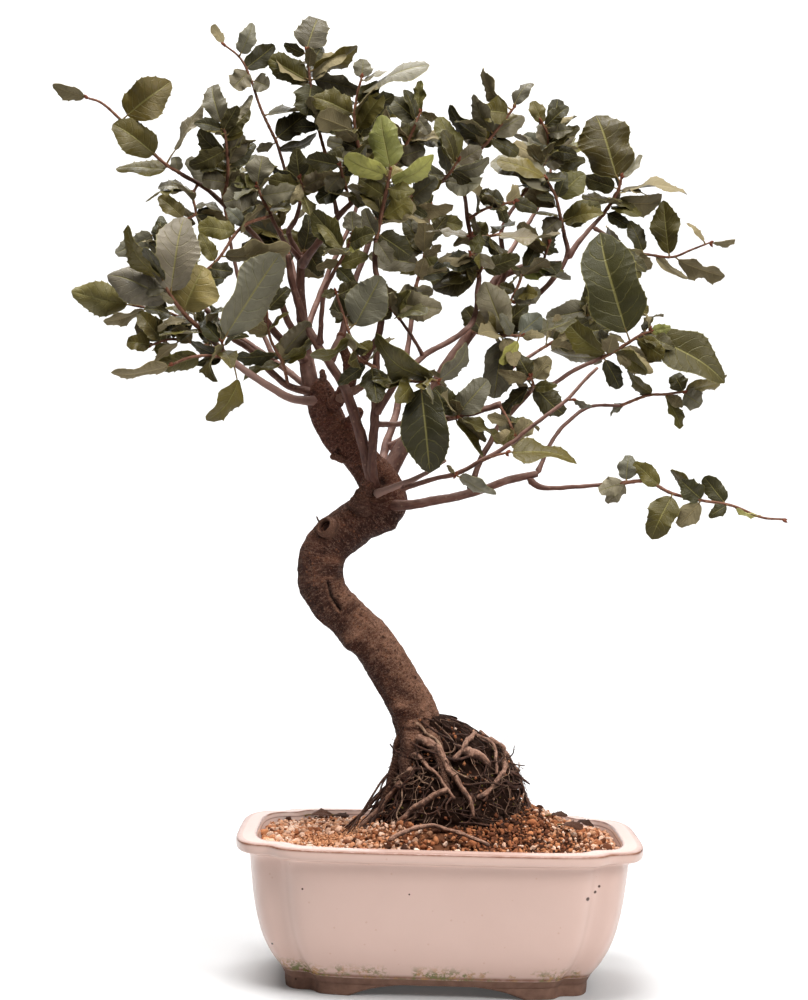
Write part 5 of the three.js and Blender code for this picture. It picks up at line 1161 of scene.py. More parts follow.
def blade_rows(count):
    """Shares of the blade's length: the foot, a few for each tooth, and the point."""
    teeth = [(i + part) / count for i in range(count) for part in TOOTH_PLACES[:-1]]
    rows = [TOOTH_START + (TOOTH_END - TOOTH_START) * place for place in teeth]
    return [*BLADE_FOOT_ROWS, *rows, TOOTH_END, 1.0]


def blade_half_width(u, width, random):
    foot, tip = random.uniform(*BLADE_FOOT_ROUNDNESS), random.uniform(*BLADE_TIP_ROUNDNESS)
    shape = u**foot * np.clip(1 - u, 0, 1) ** tip
    shape = shape / ((foot / (foot + tip)) ** foot * (tip / (foot + tip)) ** tip)
    return np.maximum(shape * width / 2, STALK_RADIUS)


def blade_teeth(u, count, random):
    """How far the edge lies out on a tooth at each point, as a share of a large tooth."""
    among = (u - TOOTH_START) / (TOOTH_END - TOOTH_START) * count
    has_teeth = (among > -0.01) & (among < count + 0.01)
    sizes = TOOTH_LEAST + random.uniform(0, 1, count + 2)
    sizes = sizes[np.clip(np.floor(among + 0.5), 0, count).astype(int)]
    edge = np.interp(np.round(among % 1, 6) % 1, TOOTH_PLACES, TOOTH_HEIGHTS)
    return np.where(has_teeth, edge * sizes, 0)


def blade_reach(u, v, half, teeth, random):
    """How far each point lies from the blade's middle line."""
    jut = np.minimum(TOOTH_JUT / half, TOOTH_MOST) * teeth * np.abs(v) ** 2
    turns = random.uniform(*BITE_COUNTS) * u + np.where(v < 0, *random.uniform(0, 1, 2))
    bites = 1 + LEAF_BITES * np.sin(2 * math.pi * turns)
    return v * half * (1 + jut) * np.where(np.abs(v) > BITES_FROM, bites, 1)


def blade_lift(u, v, leaf, teeth, random):
    """How far each point is lifted: waves of the edge, puffed halves, an arch across and a curled tip."""
    width, swell = leaf["width"], np.sin(math.pi * u)
    ripples, phase = random.uniform(*WAVE_COUNTS), random.uniform(0, 2 * math.pi)
    wave = np.sin(2 * math.pi * ripples * u + np.where(v < 0, phase, phase + WAVE_SHIFT))
    lift = LEAF_WAVE * random.uniform(*WAVE_HEIGHTS) * width * wave * np.abs(v) ** 1.5 * swell
    arch = random.uniform(*LEAF_ARCH) * width * v**2 * swell**0.5
    puff = LEAF_PUFF * width * np.sin(math.pi * np.abs(v)) * swell
    curl = random.uniform(*LEAF_CURL) * leaf["length"] * np.clip(u - CURL_FROM, 0, 1) ** 2
    return lift + puff - arch - curl + TOOTH_LIFT * teeth * np.abs(v) ** 4


def leaf_colour(tone, random):
    """A leaf's own shade of its tone."""
    base = np.array(LEAF_TONES[tone][:3])
    light = math.exp(random.normal(0, LEAF_LIGHT_CHANGE))
    warm = random.normal(0, LEAF_WARM_CHANGE)
    return [base[0] * light * (1 + warm), base[1] * light, base[2] * light * (1 - warm), 1]


def rim_order(rows, columns):
    """The points round the edge of a grid, in order."""
    last_row = (rows - 1) * columns
    return np.concatenate([np.arange(rows) * columns, last_row + np.arange(1, columns),
                           np.arange(rows - 2, -1, -1) * columns + columns - 1,
                           np.arange(columns - 2, 0, -1)])


def add_blade(mesh, tone, u, v, sheets, colour):
    """The two sheets of a blade, and the band round their rim."""
    place = np.stack([v, u, 0 * u], -1)
    faces = grid_faces(*u.shape)
    upper, lower = BLADE_SIDES.get(tone, (TOP, UNDER))
    mesh.add(sheets[0], [faces], place=place, tint=colour, slot=upper)
    mesh.add(sheets[1], [faces[:, ::-1]], place=place, tint=colour, slot=lower)
    rim = rim_order(*u.shape)
    band = np.stack([sheet.reshape(-1, 3)[rim] for sheet in sheets])
    edge = grid_faces(2, len(rim), closed=True)
    mesh.add(band, [edge], place=np.tile(RIM_PLACE, (2 * len(rim), 1)), tint=colour, slot=upper)


def add_stalk(mesh, leaf, root, foot_lift):
    end = leaf_points(leaf, np.array([STALK_SHARE + STALK_OVERLAP]), np.zeros(1), foot_lift)[0]
    stalk = np.array([root, (root + end) / 2 + leaf["normal"] * STALK_SAG, end])
    stalk, radii = smooth_path(stalk, STALK_RADIUS * STALK_TAPER, STALK_STEP)
    add_plain_tube(mesh, stalk, radii, STALK_SIDES, STALK_TINT, TWIG)


def add_leaf(mesh, leaf, root, random):
    """A leaf as a thin closed sheet with its stalk."""
    count = int(np.clip(round(leaf["length"] / TOOTH_PITCH), *TEETH))
    columns = SMALL_LEAF_COLUMNS if leaf["length"] < SMALL_LEAF else LEAF_COLUMNS
    u, v = np.meshgrid(blade_rows(count), columns, indexing="ij")
    half = blade_half_width(u, leaf["width"], random)
    teeth = blade_teeth(u, count, random)
    reach = blade_reach(u, v, half, teeth, random)
    lift = blade_lift(u, v, leaf, teeth, random)
    slant = TOOTH_SLANT / count * teeth * np.abs(v) ** 3
    share = STALK_SHARE + (1 - STALK_SHARE) * np.clip(u + slant, 0, 1)
    thickness = LEAF_THICKNESS * np.where(np.abs(v) == 1, 0.5, 1) / 2
    sheets = [leaf_points(leaf, share, reach, lift + side) for side in (thickness, -thickness)]
    add_blade(mesh, leaf["tone"], u, v, sheets, leaf_colour(leaf["tone"], random))
    add_stalk(mesh, leaf, root, lift[:1, len(columns) // 2])


def extra_leaf(twig, random):
    """A small leaf somewhere on a twig, or None if it would leave the solid model's box."""
    along_twig = random.uniform(*EXTRA_LEAVES_FROM_TO)
    place = along_twig * (len(twig) - 1)
    k = min(int(place), len(twig) - 2)
    foot = twig[k] + (twig[k + 1] - twig[k]) * (place - k)
    onward = unit(twig[k + 1] - twig[k])
    away = unit(np.cross(onward, unit(random.normal(size=3))))
    along = onward * random.uniform(*EXTRA_LEAF_ONWARD) + away
    along = unit(along + np.array([0, 0, random.uniform(*EXTRA_LEAF_RISE)]))
    length = random.uniform(*EXTRA_LEAF_LENGTHS) * (1 - EXTRA_LEAF_SHRINK * along_twig)
    facing = unit(random.normal(size=3) * EXTRA_LEAF_UNEVENNESS + EXTRA_LEAF_FACING)
    across = unit(np.cross(along, facing))
    tone = pick(EXTRA_LEAF_TONES, random)
    tip = placed(foot + along * (length + LEAF_KEPT_IN))
    if (tip < np.array(cad_low)).any() or (tip > np.array(cad_high)).any():
        return None
    normal = np.cross(across, along)
    if normal[2] - FRONT_SHARE * normal[1] < 0:
        across, normal = -across, -normal
    return {"start": foot + along * length * EXTRA_LEAF_STALK, "along": along, "across": across,
            "normal": normal, "length": length, "width": length * random.uniform(*EXTRA_LEAF_WIDTHS),
            "tone": tone, "bow": random.uniform(*EXTRA_LEAF_BOWS),
            "twist": random.uniform(*EXTRA_LEAF_TWISTS)}


def add_twig(mesh, row, twig, random):
    """A young twig with the knots where leaves stood, and buds at its end."""
    path, shares = smooth_line(twig, TWIG_STEP)
    knots = 1 + KNOT_SWELL * np.maximum(0, np.sin(np.arange(len(path)) * KNOT_TURN)) ** 4
    add_plain_tube(mesh, path, tapered(row, shares) * knots, TWIG_SIDES, [0, 0, 0, 0], TWIG)
    end, onward = path[-1], unit(path[-1] - path[-2])
    shares = np.linspace(0, 1, BUD_POINTS)
    radii = BUD_RADIUS * np.sin(math.pi * (BUD_ARCH_START + BUD_ARCH * shares)) ** BUD_ROUNDNESS
    for i in range(BUDS):
        turned = unit(onward + BUD_SPREAD * random.normal(size=3) * (i > 0))
        length = random.uniform(*BUD_LENGTHS)
        bud = (end - onward * BUD_SINK)[None] + turned * (shares * length)[:, None]
        add_plain_tube(mesh, bud, radii, TWIG_SIDES, BUD_TINT, TWIG)


def extra_count(name, twig):
    """How many small leaves a shoot gets besides those of its table."""
    if name in BARE_SHOOTS:
        return 0
    length = np.linalg.norm(np.diff(twig, axis=0), axis=1).sum()
    more = EXTRA_LEAVES + length * EXTRA_LEAVES_PER_MM
    return round(more * (FAR_LEAVES_GAIN if name in BACK_SHOOTS else 1))


def build_shoots(materials):
    numbers = seeded_random(LEAF_SEED)
    random = np.random.default_rng(LEAF_SEED)
    for name, entry in {**SHOOTS, **BACK_SHOOTS}.items():
        row = spread_row(entry)
        packed_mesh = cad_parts["shoot_" + name].data
        packed = np.array([vertex.co for vertex in packed_mesh.vertices])
        twig = seen_path(row)
        mesh = Mesh()
        add_twig(mesh, row, twig, random)
        for leaf_entry in row.get("leaves") or leaves_by_rule(row, numbers):
            draws = [next(numbers) for _ in range(5)]
            depth = twig_depth(row, leaf_entry[0], leaf_entry[1])
            leaf = packed_leaf(leaf_entry, depth, draws, packed)
            add_leaf(mesh, leaf, root_on_twig(twig, leaf["start"]), random)
        extra = [extra_leaf(twig, random) for _ in range(extra_count(name, twig))]
        for leaf in filter(None, extra):
            add_leaf(mesh, leaf, root_on_twig(twig, leaf["start"]), random)
        made = mesh.build("leafy_" + name, materials)
        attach(made, "root")
        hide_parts("shoot_" + name)


# Grains

GRAIN_FACETS = 13
GRAIN_STRETCH = (0.6, 1.3)
GRAIN_CUTS = (0.55, 0.9)
GRAIN_LIGHT_CHANGE = 0.12


def grain_shape(detail):
    """A round stone's points and faces, one unit across its half width."""
    made = bmesh.new()
    bmesh.ops.create_icosphere(made, subdivisions=detail, radius=1)
    points = np.array([vertex.co for vertex in made.verts])
    faces = np.array([[vertex.index for vertex in face.verts] for face in made.faces])
    made.free()
    return points, faces


def turn_matrix(random):
    """A random turn in space."""
    axis = Vector(random.normal(size=3))
    return np.array(Matrix.Rotation(random.uniform(0, 2 * math.pi), 3, axis))


def add_grain(mesh, shape, middle, radius, colour, random, slot=0):
    """A broken, slightly flattened stone."""
    points, faces = shape
    stretch = random.uniform(*GRAIN_STRETCH, 3)
    knocks = unit(random.normal(size=(GRAIN_FACETS, 3)))
    depth = random.uniform(*GRAIN_CUTS, GRAIN_FACETS)
    over = points @ knocks.T - depth
    cut = points - (np.clip(over, 0, None)[..., None] * knocks).sum(1)
    turned = cut * stretch @ turn_matrix(random)
    light = math.exp(random.normal(0, GRAIN_LIGHT_CHANGE))
    mesh.add(middle + turned * radius, [faces], tint=[*(np.array(colour[:3]) * light), 1], slot=slot)


# Trunk and branches

TRUNK_STEP = 1.1
TRUNK_SIDES = 96
# Wrinkles round the trunk: their size and height, and how the place of their noise is laid
WRINKLE_SIZE = 6
WRINKLE_HEIGHT = 0.7
WRINKLE_RADIUS = 14
WRINKLE_SQUEEZE = 3.2
# Lumps of the bark: their size and how far they stand out
BARK_LUMPS = [[16, 1.0], [4.4, 0.5], [1.6, 0.3]]
# Knobs and hollows in the front of the bark: x, z and radius in the plane of the trunk. The hollows are
# pushed in and darkened as painted shade.
FRONT_FACING = (-0.1, 0.4)
BARK_KNOBS = [[-83.2, 290.4, 2.6], [-61, 238, 5], [-46, 302, 6.5], [-36, 288, 4],
              [-72, 262, 5], [-58, 214, 6], [-27, 172, 4]]
KNOB_HEIGHT = 0.75
HOLLOWS = [[-41.5, 315, 4.2]]
HOLLOW_DEPTH = 2.5
HOLLOW_PAINTED_SHADE = 0.8
# The slit at the bend: its line, the lips beside it and the groove in it
WOUND = [[-74.8, 250.3], [-72.4, 241.5], [-66.3, 233.2]]
# The dark of the wound's groove, also used as painted shade in the hollows
WOUND_AND_HOLLOW_SHADE_COLOUR = rgb(26, 14, 10)
LIP_HEIGHT, LIP_AWAY, LIP_BREADTH = 0.8, 2.2, 1.2
GROOVE_DEPTH, GROOVE_BREADTH, GROOVE_DARK_BREADTH = 1.9, 0.8, 0.75
# A cut branch: x, z and radius, then reach and lift of its healed ring and sunken end in shares of its radius
BRANCH_SCARS = [[-76.4, 285.2, 5.6]]
SCAR_PROFILE = [[1.35, -0.7], [1.2, 0.05], [1.06, 0.38], [0.9, 0.46], [0.78, 0.3], [0.7, -0.1], [0.62, -0.3],
                [0.4, -0.12], [0.05, -0.04]]
SCAR_INSIDE = 0.72
SCAR_TINT = tinted(rgb(142, 104, 84), 0.5)
SCAR_INSIDE_TINT = tinted(rgb(62, 35, 25), 0.92)
SCAR_LEAN = (-0.3, 0, 0.1)
SCAR_LIFT = 1.3
SCAR_WIDEST = 0.9
SCAR_SIDES = 28
SCAR_LUMPS = [[3, 0.5]]
# How branches and roots grow: the gap between their rings, how uneven they are, how much thicker they
# start and how far they stray
LIMB_STYLE = {"gap": 2.5, "wobble": 0.1, "collar": 0.9, "wander": 0.6}
DEAD_WOOD_STYLE = {"gap": 1.0, "wobble": 0.22, "collar": 0.2, "wander": 0.3}
FLARE_STYLE = {"gap": 1.2, "wobble": 0.1, "collar": 0.0, "wander": 1.5}
THICK_ROOT_STYLE = {"gap": 1.2, "wobble": 0.24, "collar": 0.1, "wander": 1.2}
ARCH_STYLE = {**THICK_ROOT_STYLE, "wobble": 0.16}
LIMB_BEND = 9
LIMB_SIDES, LIMB_SIDES_PER_MM = (8, 20), 4
# Knots: the size of wide ones in shares of the radius and their height, then size and height of fine ones
KNOT_SIZE, KNOT_HEIGHT = 3, 1.6
FINE_KNOT = [2.2, 1]
COLLAR_REACH = 1.8
DOME_MOST = 0.97
PALE_LIMB_COLOUR = rgb(168, 136, 124)
DEAD_WOOD_COLOUR = rgb(152, 118, 100)
# Materials of trunk and roots, in order
BARK, SMOOTH, ROOT, GRIT = 0, 1, 2, 3


def way_from_line(flat, line):
    """Distance of points from a line with corners."""
    away = np.full(flat.shape[:-1], np.inf)
    for first, second in zip(np.array(line[:-1]), np.array(line[1:])):
        along = second - first
        share = np.clip((flat - first) @ along / (along @ along), 0, 1)
        away = np.minimum(away, np.linalg.norm(flat - first - share[..., None] * along, axis=-1))
    return away


def front_marks(points, facing):
    """How far knobs and the lips of the wound push the bark out and hollows and the groove push it in, and
    the tint: the wound's dark groove and painted shade in the hollows.
    """
    push = np.zeros(points.shape[:-1])
    dark = np.zeros(points.shape[:-1])
    flat = points[..., [0, 2]]
    for x, z, radius in BARK_KNOBS:
        push += facing * radius * KNOB_HEIGHT * hill(np.linalg.norm(flat - [x, z], axis=-1), 0, radius)
    for x, z, radius in HOLLOWS:
        share = facing * hill(np.linalg.norm(flat - [x, z], axis=-1), 0, radius)
        push -= HOLLOW_DEPTH * share
        # painted shade: the hollow is darkened as if in shadow
        dark = np.maximum(dark, HOLLOW_PAINTED_SHADE * share)
    away = way_from_line(flat, WOUND)
    push += facing * (LIP_HEIGHT * hill(away, LIP_AWAY, LIP_BREADTH)
                      - GROOVE_DEPTH * hill(away, 0, GROOVE_BREADTH))
    dark = np.maximum(dark, facing * hill(away, 0, GROOVE_DARK_BREADTH))
    return push, np.stack([np.full(dark.shape, part) for part in WOUND_AND_HOLLOW_SHADE_COLOUR[:3]] + [dark], axis=-1)


def trunk_line():
    path = np.array([seen_point(x, z, depth) for x, z, depth, _ in TRUNK])
    return smooth_path(path, [row[3] for row in TRUNK], TRUNK_STEP)


def add_trunk(mesh):
    path, radii = trunk_line()
    grid, out = tube_grid(path, radii, TRUNK_SIDES)
    along = (np.arange(len(path)) * TRUNK_STEP / WRINKLE_SQUEEZE)[:, None, None]
    along = np.broadcast_to(along, (*out.shape[:2], 1))
    on_tube = np.concatenate([out[..., :2] * WRINKLE_RADIUS, along], axis=-1)
    wrinkles = WRINKLE_HEIGHT * rough(on_tube, WRINKLE_SIZE, WRINKLE_NOISE)
    push = lumpy(grid, BARK_LUMPS, BARK_NOISE, wrinkles)
    marks, tint = front_marks(grid, ease(-out[..., 1], *FRONT_FACING))
    grid = grid + out * (push + marks)[..., None]
    add_tube(mesh, grid, tint=np.vstack([tint.reshape(-1, 4), np.zeros((2, 4))]))


def add_branch_scar(mesh, x, z, radius):
    """The healed ring and the sunken end of a cut branch, on the front of the trunk."""
    path, radii = trunk_line()
    nearest = np.hypot(path[:, 0] - x, path[:, 2] - z).argmin()
    off = np.array([x - path[nearest, 0], z - path[nearest, 2]])
    square = radii[nearest] ** 2
    depth = path[nearest, 1] - math.sqrt(square - min(off @ off, SCAR_WIDEST * square))
    middle = np.array([x, depth, z])
    out = unit(unit(middle - path[nearest]) + SCAR_LEAN)
    middle = middle + out * SCAR_LIFT
    across = unit(np.cross(out, [0, 0, 1]))
    up = np.cross(out, across)
    angles = circle(SCAR_SIDES)[:, None]
    around = across * np.cos(angles) + up * np.sin(angles)
    grid = np.array([middle + (out * lift + around * reach) * radius for reach, lift in SCAR_PROFILE])
    grid = grid + lumpy(grid, SCAR_LUMPS, SCAR_NOISE)[..., None] * out
    rows = [SCAR_INSIDE_TINT if reach < SCAR_INSIDE else SCAR_TINT for reach, _ in SCAR_PROFILE]
    add_tube(mesh, grid, tint=np.vstack([np.repeat(rows, SCAR_SIDES, axis=0), rows[0], rows[-1]]))


def dome(share):
    """How a tube narrows to a round end: its thickness at shares of its radius from the end."""
    return np.sqrt(1 - np.clip(1 - share, 0, DOME_MOST) ** 2)


def add_limb(mesh, row, seed, style=LIMB_STYLE, tint=(0, 0, 0, 0), slot=SMOOTH, blunt=False):
    """A branch: thicker where it leaves its parent, with knots and bends, and a round end if it is cut."""
    path, shares = smooth_line(seen_path(row), style["gap"])
    path = path + style["wander"] * strayed(path, seed + 2) * np.sin(math.pi * shares)[:, None]
    away = np.arange(len(path)) * style["gap"]
    collar = row.get("collar", style["collar"]) * np.exp(-away / (COLLAR_REACH * row["from"]))
    radii = tapered(row, shares) * (1 + collar)
    radii = radii * dome(away / radii)
    if blunt:
        radii = radii * dome((away[-1] - away) / radii)
    grid, out = tube_grid(path, radii, int(np.clip(round(row["from"] * LIMB_SIDES_PER_MM), *LIMB_SIDES)))
    knots = [[row["from"] * KNOT_SIZE, KNOT_HEIGHT], FINE_KNOT]
    push = style["wobble"] * radii[:, None] * lumpy(grid, knots, seed)
    add_tube(mesh, grid + out * push[..., None], tint=tint, slot=slot)


def add_branches(mesh):
    for seed, row in enumerate(LIMBS):
        stub = row.get("stub", False)
        tint, slot = tinted(PALE_LIMB_COLOUR, row.get("pale", 0)), BARK if stub else SMOOTH
        add_limb(mesh, spread_row(row), LIMB_NOISE + seed, tint=tint, slot=slot, blunt=stub)
    for seed, row in enumerate(DEAD_WOOD):
        tint = tinted(DEAD_WOOD_COLOUR, row["bleach"])
        add_limb(mesh, row, DEAD_WOOD_NOISE + seed, DEAD_WOOD_STYLE, tint, BARK, blunt=True)


# Roots

# The line that the mat's lumps point away from, which no point of the mat lies on
ROOT_HEART = [8, 0.01, 0]
CORE_STEP = 1.0
CORE_SIDES = 150
CORE_LUMPS = [[8, 3.4], [3.6, 2.8], [1.8, 1.5]]
CORE_SINK = 2.8
CORE_TINT = tinted(rgb(40, 24, 16))
# The widest angle, as a sine, at which a root is laid on the mat's front
FRONT_WIDEST = 0.96
FLARE_SINK = 0.75
THICK_ROOT_TINT = tinted(rgb(170, 130, 108))
ROUND_ROOTS = 6
ROUND_ROOT_RADIUS = 2.4
ROUND_ROOT_TAPER = 0.2
ROUND_ROOT_POINTS = 6
ROUND_ROOT_TOP = 156
ROUND_ROOT_STEP = 13
ROUND_ROOT_SPREAD = 0.96
ROUND_ROOT_START_CHANGE = 0.2
ROUND_ROOT_WANDER = 0.34
ROUND_ROOT_STRAY = 2.4
ROUND_ROOT_GAP, ROUND_ROOT_SIDES = 1.5, 10
ROUND_ROOT_LUMPS = [[5, 0.7], [2, 0.4]]
ROOT_DARK = rgb(52, 31, 22)
ROOT_PALE = rgb(204, 166, 136)
ROOT_DARKNESS = 6
# Fine roots that wander down over the mat: their radii, where they start, where they end and how they turn
FINE_ROOTS = 430
FINE_ROOT_RADII = (0.22, 1.5)
FINE_ROOT_TOPS = (94, 168)
FINE_ROOT_FOOT = 84
FINE_ROOT_STEPS = (5, 13)
FINE_ROOT_STEP = 4.2
FINE_ROOT_FEWEST = 3
FINE_ROOT_FINENESS = 4
FINE_ROOT_TAPER = 0.5
FINE_ROOT_GAP, FINE_ROOT_SIDES = 2.6, 5
FINE_ROOT_SWING = 0.11
FINE_ROOT_HEADING = 0.7
HEADING_KEPT, HEADING_CHANGE = 0.85, 0.5
FINE_ROOT_LIFTS = (-0.8, 2.4)
FINE_ROOT_LIFT_CHANGE = 0.6
FINE_ROOT_FIRST_LIFTS = (-0.4, 1.6)
# Cut and broken ends that stand out of the mat
ROOT_STUBS = 26
STUB_HEIGHTS = (112, 158)
STUB_SINK = -1.5
STUB_SLOPES = (-0.9, 0.9)
STUB_LENGTHS = (5, 12)
STUB_RADII = (0.35, 0.95)
STUB_TAPER = np.array([1.4, 1, 0.6])
# Where a stub bends and ends and how far it bends sideways, in shares of its length
STUB_MIDDLE, STUB_END, STUB_BEND = 0.6, 0.8, 0.6
STUB_STEP, STUB_SIDES = 1.4, 7
STUB_LUMP_SIZE, STUB_LUMP_HEIGHT = 1.8, 0.3
# Hair-thin roots
ROOT_HAIRS = 220
HAIR_HEIGHTS = (100, 156)
HAIR_SLOPES = (-1.2, 0.4)
HAIR_LENGTHS = (3, 9)
HAIR_RADIUS = 0.14
HAIR_LIFT = 0.5
HAIR_BEND, HAIR_CURVE = 0.5, 0.09
HAIR_POINTS, HAIR_SIDES = 6, 3
HAIR_TINT = tinted(ROOT_PALE, 0.9)
# Thin roots that spread from the trunk's left foot to the soil: x, depth and height of the two ends
FAN_ROOTS = 16
FAN_TOP = [[-32, -12, 104], [-20, 2, 136]]
FAN_FOOT = [[-66, -26, 86], [-44, 4, 92]]
FAN_RADII = (0.35, 0.95)
FAN_TAPER = (1.3, 0.8)
FAN_STEP, FAN_SIDES = 2.0, 6
FAN_POINTS = 6
FAN_STRAY = 1.1
# Old soil and moss in the roots
ROOT_GRAINS = 420
ROOT_GRAIN_HEIGHTS = (92, 167)
ROOT_GRAIN_RADII = (0.5, 2.0)
ROOT_GRAIN_LIFTS = (-1.5, 0.5)
PALE_ROOT_GRAINS = 0.12
MOSS_TUFTS = 90
MOSS_HEIGHTS = (104, 150)
MOSS_RADII = (0.4, 1.1)
MOSS_SPREAD = 1.2
MOSS_SINK = -0.5
MOSS_COLOUR = rgb(92, 84, 36)
GRAIN_COLOURS = [rgb(210, 168, 142), rgb(194, 142, 108), rgb(218, 182, 158), rgb(184, 126, 90),
                 rgb(204, 158, 128), rgb(174, 114, 78), rgb(186, 140, 112), rgb(226, 194, 172)]
LOAM_COLOURS = [rgb(158, 98, 64), rgb(136, 82, 54), rgb(104, 62, 42), rgb(176, 116, 78), rgb(66, 39, 27)]


def root_mass_at(z):
    """Centre and half sizes of the mat of roots at a height."""
    table = np.array(ROOT_MASS)
    return [np.interp(z, table[:, 0], table[:, k]) for k in (1, 2, 3)]


def on_root_mass(angle, z, lift=0.0):
    centre, half_length, half_width = root_mass_at(z)
    return np.stack([centre + (half_length + lift) * np.cos(angle), (half_width + lift) * np.sin(angle),
                     z + 0 * angle], axis=-1)


def root_mass_front(x, z):
    """The depth of the mat's front at a seen point."""
    centre, half_length, half_width = root_mass_at(z)
    part = min(FRONT_WIDEST, max(-FRONT_WIDEST, (x - centre) / half_length))
    return -half_width * math.sqrt(1 - part * part)


def add_root_core(mesh):
    heights = np.arange(ROOT_MASS[0][0], ROOT_MASS[-1][0] + 0.1, CORE_STEP)
    z, angle = np.meshgrid(heights, circle(CORE_SIDES), indexing="ij")
    grid = on_root_mass(angle, z)
    out = unit(grid * [1, 1, 0] - np.array(ROOT_HEART))
    push = lumpy(grid, CORE_LUMPS, CORE_NOISE) - CORE_SINK
    add_tube(mesh, grid + out * push[..., None], tint=CORE_TINT, slot=GRIT)


def root_tint(random):
    """Mostly dark red-brown, a few pale."""
    pale = random.uniform(0, 1) ** ROOT_DARKNESS
    return tinted(np.array(ROOT_DARK) * (1 - pale) + np.array(ROOT_PALE) * pale)


def wandering_root(random):
    """The points of a root that wanders down over the mat, and its radius."""
    angle, z = random.uniform(0, 2 * math.pi), random.uniform(*FINE_ROOT_TOPS)
    heading = random.normal(0, FINE_ROOT_HEADING)
    thinnest, thickest = FINE_ROOT_RADII
    radius = thinnest + (thickest - thinnest) * random.uniform(0, 1) ** FINE_ROOT_FINENESS
    lift = random.uniform(*FINE_ROOT_FIRST_LIFTS)
    path = []
    for _ in range(int(random.uniform(*FINE_ROOT_STEPS))):
        path.append(on_root_mass(angle, z, lift))
        heading = heading * HEADING_KEPT + random.normal(0, HEADING_CHANGE)
        angle += FINE_ROOT_SWING * heading
        z -= FINE_ROOT_STEP * math.cos(heading)
        lift = np.clip(lift + random.normal(0, FINE_ROOT_LIFT_CHANGE), *FINE_ROOT_LIFTS)
        if z < FINE_ROOT_FOOT:
            break
    return path, radius


def add_fine_roots(mesh, random):
    for _ in range(FINE_ROOTS):
        path, radius = wandering_root(random)
        if len(path) < FINE_ROOT_FEWEST:
            continue
        path, shares = smooth_line(path, FINE_ROOT_GAP)
        radii = radius * (1 - FINE_ROOT_TAPER * shares)
        add_plain_tube(mesh, path, radii, FINE_ROOT_SIDES, root_tint(random), ROOT)


def out_of_mat(heights, lift, slopes, random):
    """A point somewhere on the mat, and a direction away from it."""
    angle = random.uniform(0, 2 * math.pi)
    start = on_root_mass(angle, random.uniform(*heights), lift)
    return start, unit(np.array([math.cos(angle), math.sin(angle), random.uniform(*slopes)]))


def add_root_stubs(mesh, random):
    for _ in range(ROOT_STUBS):
        start, away = out_of_mat(STUB_HEIGHTS, STUB_SINK, STUB_SLOPES, random)
        length = random.uniform(*STUB_LENGTHS)
        side = unit(random.normal(size=3)) * length * STUB_BEND
        bend, end = start + away * length * STUB_MIDDLE, start + away * length * STUB_END + side
        radius = random.uniform(*STUB_RADII)
        path, radii = smooth_path(np.array([start, bend, end]), radius * STUB_TAPER, STUB_STEP)
        grid, out = tube_grid(path, radii, STUB_SIDES)
        push = STUB_LUMP_HEIGHT * radius * rough(grid, STUB_LUMP_SIZE, STUB_NOISE)
        add_tube(mesh, grid + out * push[..., None], tint=root_tint(random), slot=ROOT)


def add_root_fan(mesh, random):
    for _ in range(FAN_ROOTS):
        top, foot = random.uniform(*FAN_TOP), random.uniform(*FAN_FOOT)
        path = top + (foot - top) * np.linspace(0, 1, FAN_POINTS)[:, None]
        path[1:-1] += random.normal(0, FAN_STRAY, (FAN_POINTS - 2, 3))
        radii = random.uniform(*FAN_RADII) * np.linspace(*FAN_TAPER, FAN_POINTS)
        path, radii = smooth_path(path, radii, FAN_STEP)
        add_plain_tube(mesh, path, radii, FAN_SIDES, root_tint(random), ROOT)


def add_root_hairs(mesh, random):
    for _ in range(ROOT_HAIRS):
        start, away = out_of_mat(HAIR_HEIGHTS, HAIR_LIFT, HAIR_SLOPES, random)
        bend = random.normal(0, 1, 3) * HAIR_BEND
        ways = np.linspace(0, 1, HAIR_POINTS)[:, None] * random.uniform(*HAIR_LENGTHS)
        path = start + away * ways + bend * ways**2 * HAIR_CURVE
        add_plain_tube(mesh, path, HAIR_RADIUS, HAIR_SIDES, HAIR_TINT, ROOT)


def add_root_grit(mesh, random):
    """Grains and crumbs of old soil that still hang in the roots, and spots of moss."""
    shape = grain_shape(1)
    for _ in range(ROOT_GRAINS):
        angle, z = random.uniform(0, 2 * math.pi), random.uniform(*ROOT_GRAIN_HEIGHTS)
        colours = GRAIN_COLOURS if random.uniform(0, 1) < PALE_ROOT_GRAINS else LOAM_COLOURS
        colour = pick(colours, random)
        middle = on_root_mass(angle, z, random.uniform(*ROOT_GRAIN_LIFTS))
        add_grain(mesh, shape, middle, random.uniform(*ROOT_GRAIN_RADII), colour, random, GRIT)
    for _ in range(MOSS_TUFTS):
        angle = random.normal(-math.pi / 2, MOSS_SPREAD)
        middle = on_root_mass(angle, random.uniform(*MOSS_HEIGHTS), MOSS_SINK)
        add_grain(mesh, shape, middle, random.uniform(*MOSS_RADII), MOSS_COLOUR, random, GRIT)


def round_root(index, random):
    share = (1 - ROUND_ROOT_SPREAD) / 2 + ROUND_ROOT_SPREAD * (index + 0.5) / ROUND_ROOTS
    angle = math.pi * share + (next(random) - 0.5) * ROUND_ROOT_START_CHANGE
    path = []
    for i in range(ROUND_ROOT_POINTS):
        path.append(on_root_mass(angle, ROUND_ROOT_TOP - i * ROUND_ROOT_STEP))
        angle += (next(random) - 0.5) * ROUND_ROOT_WANDER
    return np.array(path)


